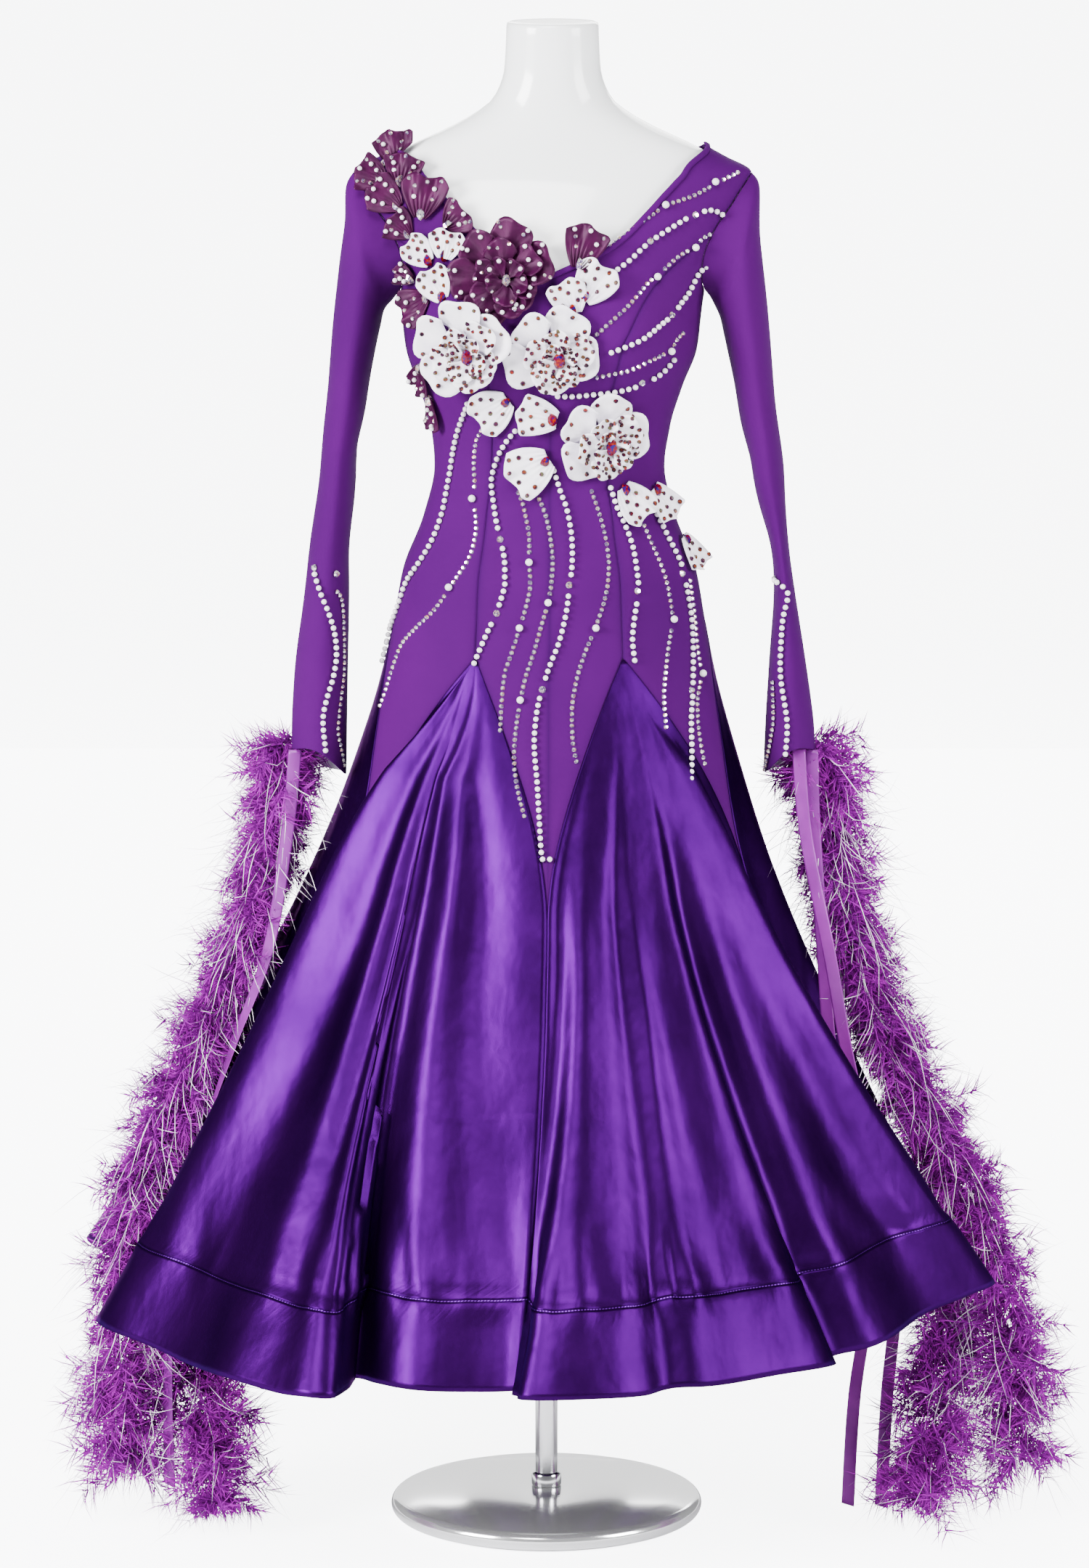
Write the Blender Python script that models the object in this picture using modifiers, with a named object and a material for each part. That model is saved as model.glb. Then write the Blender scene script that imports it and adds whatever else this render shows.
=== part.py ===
"""Ballroom gown with godet skirt, long sleeves and feather boas, on a limbless dress form.

Metres, +Z up. The origin is on the floor under the stand's pole, and the gown faces -Y.
A place on the body is given by an angle and a height: angle 0 is the front centre,
+90 the +X side, 180 the back centre. The skirt adds a reach, a share of the body's radius.
"""

from collections import namedtuple
from math import cos, pi, radians, sin

import bmesh
import bpy
import numpy as np

# Driving dimensions
WALL = 0.0015
SEAM = 0.0003
HEM_TURN_UP = 0.0008
HEM_BAND = 0.090
HEM_LEVEL = 0.229
FORM_CLEARANCE = 0.0019
FORM_SHOULDER_SINK = 0.0040
FORM_CUP_SINK = 0.0030
STRAP_MIDDLE = 1.372
STRAP_HALF_HEIGHT = 0.048
NECK_CAP_LEVEL = 1.536
FORM_BOTTOM = 0.820
POLE_RADIUS = 0.0115
BASE_RADIUS = 0.160
BASE_TOP = 0.026
SHOULDER_LEVEL = 1.386
UNDERARM_LEVEL = 1.267
V_NECK_LEVEL = 1.295
BACK_NECK_LEVEL = 1.268
ARMHOLE_HALF_ANGLE = 27.4
NECK_END = 0.985
TIP_SHARE = 0.2
BINDING_WIDTH = 0.0055
BINDING_WALL = 0.0012
PETAL_WALL = 0.0014
BINDING_LIFT = 0.0013
PETAL_CUP = 0.0040
BOA_CORE = 0.0085
BOA_LOCK = 0.042
LOCK_FLOOR = 0.004
RIBBON_WIDTH = 0.013
RIBBON_WALL = 0.0012

# Body sections: height, half width, depth to the front, depth to the back, sideways lean
Section = namedtuple("Section", "height half_width front back lean")
BODY = (
    Section(0.200, 0.3550, 0.368, 0.400, 0.000),
    Section(0.229, 0.3470, 0.360, 0.390, 0.000),
    Section(0.400, 0.3000, 0.300, 0.325, 0.000),
    Section(0.680, 0.2220, 0.196, 0.215, 0.001),
    Section(0.800, 0.1900, 0.150, 0.165, 0.002),
    Section(0.870, 0.1710, 0.123, 0.138, 0.002),
    Section(0.930, 0.1580, 0.108, 0.122, 0.003),
    Section(0.985, 0.1480, 0.102, 0.111, 0.003),
    Section(1.040, 0.1270, 0.090, 0.097, 0.003),
    Section(1.091, 0.1160, 0.083, 0.087, 0.003),
    Section(1.130, 0.1205, 0.086, 0.086, 0.004),
    Section(1.170, 0.1325, 0.094, 0.089, 0.004),
    Section(1.210, 0.1465, 0.102, 0.094, 0.005),
    Section(1.240, 0.1500, 0.104, 0.097, 0.005),
    Section(1.267, 0.1525, 0.102, 0.099, 0.006),
    Section(1.300, 0.1640, 0.097, 0.099, 0.006),
    Section(1.333, 0.1820, 0.088, 0.095, 0.006),
    Section(1.360, 0.1960, 0.076, 0.086, 0.006),
    Section(1.386, 0.1995, 0.062, 0.073, 0.006),
    Section(1.4005, 0.1760, 0.058, 0.066, 0.006),
    Section(1.4153, 0.1490, 0.055, 0.061, 0.006),
    Section(1.4285, 0.1170, 0.053, 0.057, 0.006),
    Section(1.443, 0.0870, 0.051, 0.053, 0.006),
    Section(1.463, 0.0610, 0.049, 0.050, 0.006),
    Section(1.490, 0.0515, 0.048, 0.048, 0.006),
    Section(1.540, 0.0490, 0.048, 0.048, 0.006),
)
# The bust cups: angle from the front, height, spread in angle and in height, and how far out
Cup = namedtuple("Cup", "angle height spread_angle spread_height out")
CUP = Cup(36.0, 1.222, 22.0, 0.042, 0.018)

# Seams from the armhole to the godets: height, angle of the front seam, angle of the back seam
SeamPlace = namedtuple("SeamPlace", "height front back")
PRINCESS = (
    SeamPlace(0.900, 27.0, 150.0),
    SeamPlace(1.000, 29.0, 150.0),
    SeamPlace(1.061, 30.5, 150.0),
    SeamPlace(1.188, 27.0, 149.5),
    SeamPlace(1.217, 28.0, 148.0),
    SeamPlace(1.240, 32.0, 145.0),
    SeamPlace(1.267, 37.5, 139.0),
    SeamPlace(1.295, 46.0, 130.0),
    SeamPlace(1.3265, 62.6, 117.4),
)
# The neck edge from the shoulder seam to the centre, front and back
EdgePlace = namedtuple("EdgePlace", "angle height")
FRONT_NECK = (
    EdgePlace(90.0, 1.4153), EdgePlace(55.0, 1.407), EdgePlace(41.0, 1.3925),
    EdgePlace(32.0, 1.3675), EdgePlace(25.0, 1.3457), EdgePlace(17.5, 1.3300),
    EdgePlace(9.0, 1.3110), EdgePlace(0.0, V_NECK_LEVEL),
)
BACK_NECK = (
    EdgePlace(90.0, 1.4153), EdgePlace(122.0, 1.405), EdgePlace(136.0, 1.387),
    EdgePlace(145.0, 1.360), EdgePlace(152.0, 1.335), EdgePlace(160.0, 1.308),
    EdgePlace(170.0, 1.284), EdgePlace(180.0, BACK_NECK_LEVEL),
)

# Jersey panels: centre angle at the hip, at the tip and at the hem, and the height of the tip
PanelCut = namedtuple("PanelCut", "hip tip hem tip_height")
PANELS = {
    "front": PanelCut(0.0, 0.0, -4.0, 0.660),
    "side_front_r": PanelCut(58.5, 65.0, 96.0, 0.690),
    "side_back_r": PanelCut(120.0, 123.0, 138.0, 0.690),
    "back": PanelCut(180.0, 180.0, 180.0, 0.660),
    "side_back_l": PanelCut(-120.0, -123.0, -138.0, 0.690),
    "side_front_l": PanelCut(-58.5, -65.0, -88.0, 0.690),
}
GODET_APEX = {"front": 0.909, "side": 0.932, "back": 0.932}
# Godets in order round the skirt: the panel on the left of each, the panel on its right,
# the kind of its apex and the angle of its apex
GodetCut = namedtuple("GodetCut", "left right apex angle")
GODETS = {
    "front_l": GodetCut("side_front_l", "front", "front", -27.0),
    "front_r": GodetCut("front", "side_front_r", "front", 27.0),
    "side_r": GodetCut("side_front_r", "side_back_r", "side", 90.0),
    "back_r": GodetCut("side_back_r", "back", "back", 150.0),
    "back_l": GodetCut("back", "side_back_l", "back", -150.0),
    "side_l": GodetCut("side_back_l", "side_front_l", "side", -90.0),
}
# Folds at the hem, one row for each crest, flank or valley from left to right:
# angle at the hem, reach, share of the godet's length where the fold begins, lift in mm,
# how late it swells (0 is a straight cone) and the degrees that it bows to the side above
Fold = namedtuple("Fold", "angle reach begins lift late bow", defaults=(1.0, 0.0))
# Width in degrees from which a godet's folds bow in full
FULL_WIDTH = 46.0
FOLDS = {
    "front_l": (
        Fold(-88.0, 1.00, 0.05, 0, 0.0, 0), Fold(-83.0, 1.22, 0.05, 6, 0.0, -4),
        Fold(-73.4, 1.36, 0.02, 8, 0.0, -9), Fold(-63.0, 1.30, 0.03, 4, 0.1, -7),
        Fold(-54.0, 1.285, 0.05, 1, 0.4, -5), Fold(-43.0, 1.29, 0.05, 0, 0.6, -4),
        Fold(-33.0, 1.315, 0.10, 0, 0.8, -4), Fold(-28.2, 1.285, 0.16, 0, 1.0, -8),
        Fold(-28.6, 1.18, 0.12, 0, 1.0, -11), Fold(-31.0, 1.065, 0.03, 0, 1.0, -12.5),
        Fold(-26.0, 1.085, 0.05, 0, 1.0, -11), Fold(-19.0, 1.11, 0.15, 0, 1.0, -10.5),
        Fold(-11.0, 1.075, 0.20, 0, 1.0, -7), Fold(-4.0, 1.05, 0.25, 0, 1.0, 0),
    ),
    "front_r": (
        Fold(-4.0, 1.05, 0.25, 0), Fold(-4.6, 1.11, 0.25, 0), Fold(-2.4, 1.158, 0.22, 0),
        Fold(6.0, 1.150, 0.20, 0), Fold(14.5, 1.132, 0.20, 0), Fold(19.0, 1.085, 0.25, 0),
        Fold(25.0, 1.105, 0.16, 0), Fold(36.0, 1.100, 0.08, 0), Fold(46.5, 1.128, 0.06, 0),
        Fold(51.0, 1.070, 0.30, 0), Fold(57.0, 1.130, 0.14, 5),
        Fold(69.0, 1.180, 0.08, 17, 0.4, 1), Fold(77.0, 1.285, 0.10, 26, 0.1, 2),
        Fold(82.5, 1.350, 0.12, 30, 0.0, 3), Fold(88.0, 1.220, 0.12, 24, 0.4, 1),
        Fold(93.5, 1.000, 0.15, 10), Fold(96.0, 0.870, 0.34, 0),
    ),
    "side_r": (
        Fold(96.0, 0.870, 0.34, 0), Fold(99.5, 1.02, 0.06, 0), Fold(106.0, 1.28, 0.02, 0),
        Fold(113.0, 1.16, 0.10, 0), Fold(119.0, 1.08, 0.15, 0), Fold(126.5, 1.27, 0.08, 0),
        Fold(133.0, 1.12, 0.20, 0), Fold(138.0, 0.98, 0.25, 0),
    ),
    "back_r": (
        Fold(138.0, 0.98, 0.25, 0), Fold(143.0, 1.14, 0.20, 0), Fold(149.0, 1.27, 0.08, 0),
        Fold(155.0, 1.12, 0.15, 0), Fold(161.0, 1.10, 0.20, 0), Fold(168.5, 1.30, 0.05, 0),
        Fold(175.0, 1.12, 0.15, 0), Fold(180.0, 1.00, 0.25, 0),
    ),
    "back_l": (
        Fold(-180.0, 1.00, 0.25, 0), Fold(-174.0, 1.17, 0.12, 0), Fold(-167.0, 1.26, 0.06, 0),
        Fold(-161.0, 1.10, 0.18, 0), Fold(-155.0, 1.08, 0.25, 0), Fold(-148.0, 1.28, 0.08, 0),
        Fold(-142.0, 1.12, 0.20, 0), Fold(-138.0, 1.00, 0.25, 0),
    ),
    "side_l": (
        Fold(-138.0, 1.00, 0.25, 0), Fold(-132.0, 1.18, 0.15, 0), Fold(-125.0, 1.36, 0.06, 0),
        Fold(-116.5, 1.56, 0.04, 0), Fold(-109.0, 1.40, 0.06, 0), Fold(-102.0, 1.22, 0.10, 0),
        Fold(-95.0, 1.04, 0.20, 0), Fold(-88.0, 1.00, 0.10, 0),
    ),
}
# Heights of the rows that pieces share, so that their edges match along each seam
SKIRT_LEVELS = (0.319, 0.400, 0.490, 0.580, 0.660, 0.690, 0.735, 0.785, 0.830, 0.870)
HIP_LEVELS = (0.905, 0.928)
TRUNK_LEVELS = (0.958, 0.985, 1.013, 1.040, 1.065, 1.091, 1.130, 1.170, 1.193, 1.215)
CHEST_LEVELS = (1.240, BACK_NECK_LEVEL, V_NECK_LEVEL, 1.311)

# Sleeves: the outer line and the inner line seen from the front, and the half depth
Station = namedtuple("Station", "outer_x outer_z inner_x inner_z half_depth back")
SLEEVE_R = (
    Station(0.2130, 1.3720, 0.1655, 1.2580, 0.050, 0.006),
    Station(0.2145, 1.3350, 0.1705, 1.2460, 0.055, 0.008),
    Station(0.2185, 1.2850, 0.1765, 1.2280, 0.058, 0.009),
    Station(0.2235, 1.2350, 0.1830, 1.2000, 0.058, 0.009),
    Station(0.2300, 1.1600, 0.1940, 1.1450, 0.056, 0.008),
    Station(0.2390, 1.0850, 0.2060, 1.0850, 0.054, 0.004),
    Station(0.2440, 1.0150, 0.2240, 1.0150, 0.050, -0.002),
    Station(0.2510, 0.9650, 0.2290, 0.9650, 0.048, -0.004),
    Station(0.2620, 0.8950, 0.2250, 0.8950, 0.046, -0.004),
    Station(0.2700, 0.8350, 0.2215, 0.8250, 0.045, -0.004),
    Station(0.2716, 0.8020, 0.2205, 0.7780, 0.044, -0.004),
)
SLEEVE_L = (
    Station(-0.2010, 1.3700, -0.1535, 1.2580, 0.050, 0.006),
    Station(-0.2030, 1.3350, -0.1620, 1.2460, 0.055, 0.008),
    Station(-0.2085, 1.2850, -0.1675, 1.2280, 0.058, 0.009),
    Station(-0.2145, 1.2350, -0.1730, 1.2000, 0.058, 0.009),
    Station(-0.2210, 1.1600, -0.1830, 1.1450, 0.056, 0.008),
    Station(-0.2286, 1.0850, -0.1920, 1.0850, 0.054, 0.004),
    Station(-0.2390, 1.0050, -0.1985, 1.0050, 0.050, -0.002),
    Station(-0.2450, 0.9500, -0.2000, 0.9500, 0.048, -0.004),
    Station(-0.2530, 0.8900, -0.2015, 0.8900, 0.046, -0.004),
    Station(-0.2570, 0.8350, -0.2025, 0.8250, 0.045, -0.004),
    Station(-0.2578, 0.8020, -0.2030, 0.7760, 0.044, -0.004),
)
CUFF_FRONT_RISE = 0.016
CUFF_BACK_DROP = 0.012
SLEEVE_SIDES = 16
SLEEVE_HEAD_REACH = 0.0006

# Fan petals: middle to the side and height in mm, length, width, lean, how far they lie out
Petal = namedtuple("Petal", "name x height length width lean out back", defaults=(False,))
PLUM_PETALS = (
    Petal("petal_plum_1", -146, 1405, 26, 30, -36, 0.15),
    Petal("petal_plum_2", -142, 1390, 24, 30, 10, 0.5),
    Petal("petal_plum_3", -172, 1385, 26, 28, -67, 0.0),
    Petal("petal_plum_4", -157, 1364, 30, 30, -58, 0.0),
    Petal("petal_plum_5", -121, 1364, 34, 36, 8, 1.5),
    Petal("petal_plum_6", -143, 1336, 22, 28, -50, 0.25),
    Petal("petal_plum_7", -90, 1345, 20, 30, 50, 0.5),
    Petal("petal_plum_8", -137, 1288, 18, 18, -70, 0.5),
    Petal("petal_plum_9", -127, 1258, 30, 30, -120, 1.2),
    Petal("petal_plum_10", 36, 1318, 34, 32, 20, 2.65),
    Petal("petal_plum_11", -122, 1186, 28, 24, -140, 0.05),
    Petal("petal_plum_12", -112, 1150, 28, 24, -165, 0.7),
)
WHITE_PETALS = (
    Petal("petal_white_1", -124, 1312, 30, 28, -50, 0.15),
    Petal("petal_white_2", -98, 1320, 27, 30, 10, -0.15),
    Petal("petal_white_3", -108, 1280, 32, 32, -30, 0.5),
    Petal("petal_white_4", 46, 1284, 38, 36, 35, 0.15),
    Petal("petal_white_5", 22, 1270, 32, 32, -20, 0.1),
    Petal("petal_white_6", -52, 1158, 38, 38, -123, 0.8),
    Petal("petal_white_7", -8, 1152, 38, 34, -78, 1.0),
    Petal("petal_white_8", -15, 1098, 42, 42, -121, 0.75),
    Petal("petal_white_9", 86, 1062, 38, 34, 145, 0.8),
    Petal("petal_white_10", 114, 1058, 36, 30, 150, 0.5),
    Petal("petal_white_11", 142, 1004, 36, 30, 160, 0.4),
)
# Flowers: middle and radius in mm, number of lobes, how far they lie out
Flower = namedtuple("Flower", "name x height radius lobes out")
FLOWERS = (
    Flower("flower_plum", -42, 1291, 42, 6, 2.9),
    Flower("flower_white_1", -79, 1218, 43, 6, 1.0),
    Flower("flower_white_2", 9, 1214, 40, 5, 0.5),
    Flower("flower_white_3", 58, 1124, 42, 6, 1.6),
)
# Boas: the route of each strand's core, from the cuff to its end near the floor
BOAS = {
    "l1": (
        (-0.2647, 0.010, 0.8070), (-0.270, 0.010, 0.780), (-0.277, 0.011, 0.720),
        (-0.306, 0.014, 0.610), (-0.350, 0.020, 0.500), (-0.392, 0.024, 0.410),
        (-0.425, 0.018, 0.310), (-0.432, 0.008, 0.220), (-0.434, -0.012, 0.130),
        (-0.430, -0.030, 0.062),
    ),
    "l2": (
        (-0.2557, 0.0321, 0.8070), (-0.262, 0.038, 0.780), (-0.269, 0.044, 0.720),
        (-0.296, 0.050, 0.610), (-0.338, 0.056, 0.500), (-0.375, 0.060, 0.410),
        (-0.398, 0.050, 0.310), (-0.390, 0.022, 0.220), (-0.356, -0.008, 0.130),
        (-0.340, -0.062, 0.060), (-0.335, -0.086, 0.034),
    ),
    "r1": (
        (0.2784, 0.010, 0.8070), (0.284, 0.010, 0.780), (0.290, 0.012, 0.720),
        (0.312, 0.018, 0.610), (0.348, 0.024, 0.500), (0.396, 0.030, 0.410),
        (0.444, 0.026, 0.310), (0.472, 0.012, 0.220), (0.482, -0.010, 0.130),
        (0.482, -0.030, 0.066),
    ),
    "r2": (
        (0.2690, 0.0330, 0.8070), (0.276, 0.041, 0.780), (0.282, 0.046, 0.720),
        (0.303, 0.053, 0.610), (0.336, 0.060, 0.500), (0.378, 0.066, 0.410),
        (0.412, 0.064, 0.310), (0.414, 0.044, 0.220), (0.404, -0.006, 0.130),
        (0.390, -0.060, 0.060), (0.385, -0.086, 0.034),
    ),
}
# Ribbons: the route of each one's middle and the turn of its width, in metres and degrees
RIBBONS = {
    "r1": (
        (0.2680, -0.0250, 0.8037, 0), (0.271, -0.028, 0.720, 0), (0.280, -0.040, 0.600, 0),
        (0.288, -0.052, 0.500, -10), (0.306, -0.034, 0.400, -18), (0.322, 0.006, 0.319, -5),
        (0.335, 0.046, 0.235, 10), (0.318, 0.018, 0.120, 0), (0.311, 0.000, 0.008, 0),
    ),
    "r2": (
        (0.2545, -0.0375, 0.8066, 0), (0.262, -0.046, 0.720, 0), (0.286, -0.066, 0.600, 0),
        (0.304, -0.064, 0.500, -10), (0.327, -0.042, 0.400, -18), (0.347, 0.002, 0.319, -5),
        (0.362, 0.042, 0.235, 10), (0.351, 0.010, 0.120, 0), (0.345, -0.006, 0.008, 0),
    ),
    "l1": (
        (-0.2540, -0.0250, 0.8036, 0), (-0.262, -0.028, 0.720, -10),
        (-0.282, -0.026, 0.600, -30), (-0.318, -0.014, 0.500, -60),
        (-0.352, -0.010, 0.400, -80), (-0.378, -0.012, 0.300, -80),
        (-0.386, -0.024, 0.220, -60), (-0.388, -0.040, 0.130, -40), (-0.386, -0.048, 0.042, -30),
    ),
}

# Materials: colour as linear red, green and blue, metallic, roughness
Finish = namedtuple("Finish", "colour metallic roughness")
JERSEY = Finish((0.17, 0.014, 0.33), 0.0, 0.60)
SATIN = Finish((0.07, 0.005, 0.24), 0.0, 0.22)
PLUM_SATIN = Finish((0.13, 0.010, 0.12), 0.0, 0.35)
WHITE_SATIN = Finish((0.86, 0.83, 0.90), 0.0, 0.35)
ORCHID_RIBBON = Finish((0.42, 0.06, 0.52), 0.0, 0.28)
FEATHER = Finish((0.36, 0.015, 0.52), 0.0, 0.85)
GLOSS_WHITE = Finish((0.86, 0.86, 0.87), 0.0, 0.18)
CHROME = Finish((0.80, 0.80, 0.82), 1.0, 0.10)


def start_empty_scene():
    """Remove what the scene holds and return the gown's own collection."""
    for old in list(bpy.data.objects):
        bpy.data.objects.remove(old, do_unlink=True)
    gown = bpy.data.collections.new("ballroom_gown")
    bpy.context.scene.collection.children.link(gown)
    return gown


def material_of(name, finish):
    """Make a Principled material with a piece's colour, metallic value and roughness."""
    material = bpy.data.materials.new(name)
    material.use_nodes = True
    shader = material.node_tree.nodes["Principled BSDF"]
    shader.inputs["Base Color"].default_value = (*finish.colour, 1.0)
    shader.inputs["Metallic"].default_value = finish.metallic
    shader.inputs["Roughness"].default_value = finish.roughness
    return material


def smooth_column(places, values, at):
    """Read a table's column at a place, smoothly and with no overshoot (monotone cubic)."""
    places = np.asarray(places, float)
    values = np.asarray(values, float)
    at = min(max(at, places[0]), places[-1])
    steps = np.diff(places)
    slopes = np.diff(values) / steps
    tangents = np.zeros(len(places))
    tangents[0] = slopes[0]
    tangents[-1] = slopes[-1]
    for i in range(1, len(places) - 1):
        if slopes[i - 1] * slopes[i] > 0.0:
            tangents[i] = 2.0 * slopes[i - 1] * slopes[i] / (slopes[i - 1] + slopes[i])
    i = min(int(np.searchsorted(places, at, side="right")) - 1, len(places) - 2)
    step = steps[i]
    t = (at - places[i]) / step
    return float(
        values[i] * (1.0 + 2.0 * t) * (1.0 - t) ** 2
        + values[i + 1] * t * t * (3.0 - 2.0 * t)
        + step * tangents[i] * t * (1.0 - t) ** 2
        + step * tangents[i + 1] * t * t * (t - 1.0)
    )


def body_section(height):
    """Half width, front depth, back depth and lean of the gown's body at a height."""
    heights = [row.height for row in BODY]
    return [
        smooth_column(heights, [getattr(row, field) for row in BODY], height)
        for field in ("half_width", "front", "back", "lean")
    ]


def cup_swell(angle, height):
    """How far the bust cups push the front out at a place."""
    swell = 0.0
    for side in (-1.0, 1.0):
        turn = (angle - side * CUP.angle) / CUP.spread_angle
        rise = (height - CUP.height) / CUP.spread_height
        swell += CUP.out * np.exp(-turn * turn - rise * rise)
    return swell


def body_point(angle, height, reach=1.0):
    """The gown's outer surface at an angle and a height, as a numpy point."""
    half_width, front, back, lean = body_section(height)
    turn = radians(angle)
    depth = front if cos(turn) > 0.0 else back
    x = lean + reach * half_width * sin(turn)
    y = -reach * depth * cos(turn) - cup_swell(angle, height)
    return np.array((x, y, height))


def surface_normal(point_at, u, v, du, dv):
    """Outward normal of a surface of two parameters, by small steps either way."""
    along_u = point_at(u + du, v) - point_at(u - du, v)
    along_v = point_at(u, v + dv) - point_at(u, v - dv)
    normal = np.cross(along_u, along_v)
    return normal / np.linalg.norm(normal)


def body_normal(angle, height):
    """Outward normal of the body at a place."""
    return surface_normal(body_point, angle, height, 0.5, 0.001)


def on_body(angle, height, out=0.0):
    """A point at a distance out from the gown's outer surface."""
    return body_point(angle, height) + out * body_normal(angle, height)


def closed_wall(name, outer, inner, faces, finish, gown, smooth=True):
    """Make one closed wall from an outer skin, the same skin moved in, and its faces.

    The faces index both skins. The skins are joined by a rim along every open edge.
    """
    shift = len(outer)
    uses = {}
    for face in faces:
        for here, after in zip(face, face[1:] + face[:1]):
            uses[(here, after)] = face
    every_face = list(faces)
    every_face += [tuple(shift + i for i in reversed(face)) for face in faces]
    for here, after in uses:
        if (after, here) not in uses:
            every_face.append((after, here, shift + here, shift + after))
    return mesh_object(name, list(outer) + list(inner), every_face, finish, gown, smooth)


def mesh_object(name, points, faces, finish, gown, smooth=True):
    """Make a named mesh object from points and faces, with its own material."""
    mesh = bpy.data.meshes.new(name)
    mesh.from_pydata([tuple(map(float, point)) for point in points], [], faces)
    work = bmesh.new()
    work.from_mesh(mesh)
    bmesh.ops.recalc_face_normals(work, faces=work.faces)
    work.to_mesh(mesh)
    work.free()
    if smooth:
        mesh.shade_smooth()
        mesh.set_sharp_from_angle(angle=radians(50))
    mesh.materials.append(material_of(name, finish))
    piece = bpy.data.objects.new(name, mesh)
    gown.objects.link(piece)
    return piece


def grid_faces(rows, columns, ring=False):
    """Faces of a grid of points, counted row by row, closed round if it is a ring."""
    last = columns if ring else columns - 1
    faces = []
    for row in range(rows - 1):
        for column in range(last):
            after = (column + 1) % columns
            faces.append((
                row * columns + column,
                row * columns + after,
                (row + 1) * columns + after,
                (row + 1) * columns + column,
            ))
    return faces


def wall_from_places(name, rows, finish, gown, thickness=WALL, out=0.0):
    """A wall on the body from rows of (angle, height) places, all rows of one length."""
    outer = []
    inner = []
    for row in rows:
        for angle, height in row:
            normal = body_normal(angle, height)
            point = body_point(angle, height) + out * normal
            outer.append(point)
            inner.append(point - thickness * normal)
    faces = grid_faces(len(rows), len(rows[0]))
    return closed_wall(name, outer, inner, faces, finish, gown)


def princess_angle(height, back=False):
    """Angle of the seam between the centre panel and the side panel."""
    heights = [row.height for row in PRINCESS]
    angles = [row.back if back else row.front for row in PRINCESS]
    return smooth_column(heights, angles, height)


def armhole_place(turn, back=False):
    """A place on the armhole on the +X side: turn 0 at the shoulder, 180 at the underarm."""
    middle = 0.5 * (SHOULDER_LEVEL + UNDERARM_LEVEL)
    half_height = 0.5 * (SHOULDER_LEVEL - UNDERARM_LEVEL)
    side = 1.0 if back else -1.0
    angle = 90.0 + side * ARMHOLE_HALF_ANGLE * sin(radians(turn))
    return angle, middle + half_height * cos(radians(turn))


def neck_place(share, back=False):
    """A place on the neck edge on the +X side, from the centre (0) to the shoulder (1)."""
    edge = BACK_NECK if back else FRONT_NECK
    marks = np.linspace(1.0, 0.0, len(edge))[::-1]
    angle = smooth_column(marks, [place.angle for place in reversed(edge)], share)
    height = smooth_column(marks, [place.height for place in reversed(edge)], share)
    return angle, height


def centre_angle(panel, height):
    """Angle of a panel's centre line, and below its tip of the seam between two godets."""
    cut = PANELS[panel]
    return smooth_column(
        (HEM_LEVEL, cut.tip_height, 0.93), (cut.hem, cut.tip, cut.hip), height
    )


def apex_of(panel, side):
    """Height and angle of the godet on one side of a panel (-1 its left, +1 its right)."""
    for name, cut in GODETS.items():
        if side > 0 and cut.left == panel:
            angle = cut.angle
            break
        if side < 0 and cut.right == panel:
            angle = cut.angle
            break
    hip = PANELS[panel].hip
    if side > 0 and angle < hip - 180.0:
        angle += 360.0
    if side < 0 and angle > hip:
        angle -= 360.0
    return GODET_APEX[cut.apex], angle


def panel_edge(panel, side, height):
    """Angle of a panel's edge along a godet, from the godet's apex down to the hem."""
    apex_height, apex_angle = apex_of(panel, side)
    tip_height = PANELS[panel].tip_height
    middle = centre_angle(panel, height)
    share = (apex_height - height) / (apex_height - tip_height)
    if share >= 1.0:
        return middle
    half = apex_angle - centre_angle(panel, apex_height)
    return middle + half * (1.0 - max(share, 0.0)) ** 1.9


def inset(height, share=0.5):
    """Half of the seam gap as an angle at a height, in degrees."""
    return share * SEAM / body_section(height)[0] * 180.0 / pi


def panel_levels(panel):
    """Heights of a panel's rows from its tip up to the bust."""
    below = [height for height in SKIRT_LEVELS if height >= PANELS[panel].tip_height]
    return below + list(HIP_LEVELS) + list(TRUNK_LEVELS)


def side_limits(panel, height):
    """Left and right edge angles of a panel at a height, short of the seams by half a gap."""
    limits = []
    for side in (-1, 1):
        if height <= PANELS[panel].tip_height:
            limits.append(centre_angle(panel, height) + side * inset(height, TIP_SHARE))
            continue
        apex_height, apex_angle = apex_of(panel, side)
        if height < apex_height:
            angle = panel_edge(panel, side, height)
        else:
            angle = seam_above(panel, side, height, apex_angle)
        limits.append(angle - side * inset(height))
    return limits


def seam_above(panel, side, height, apex_angle):
    """Angle of a panel's seam above the godets."""
    if abs(abs(apex_angle) - 90.0) < 1.0:
        return apex_angle
    back = abs(apex_angle) > 90.0
    angle = princess_angle(height, back)
    if apex_angle > 180.0:
        return 360.0 - angle
    return angle if apex_angle > 0.0 else -angle


def spread(first, last, count):
    """Places at even steps between two places."""
    first = np.asarray(first, float)
    last = np.asarray(last, float)
    return [tuple(first + (last - first) * i / count) for i in range(count + 1)]


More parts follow.
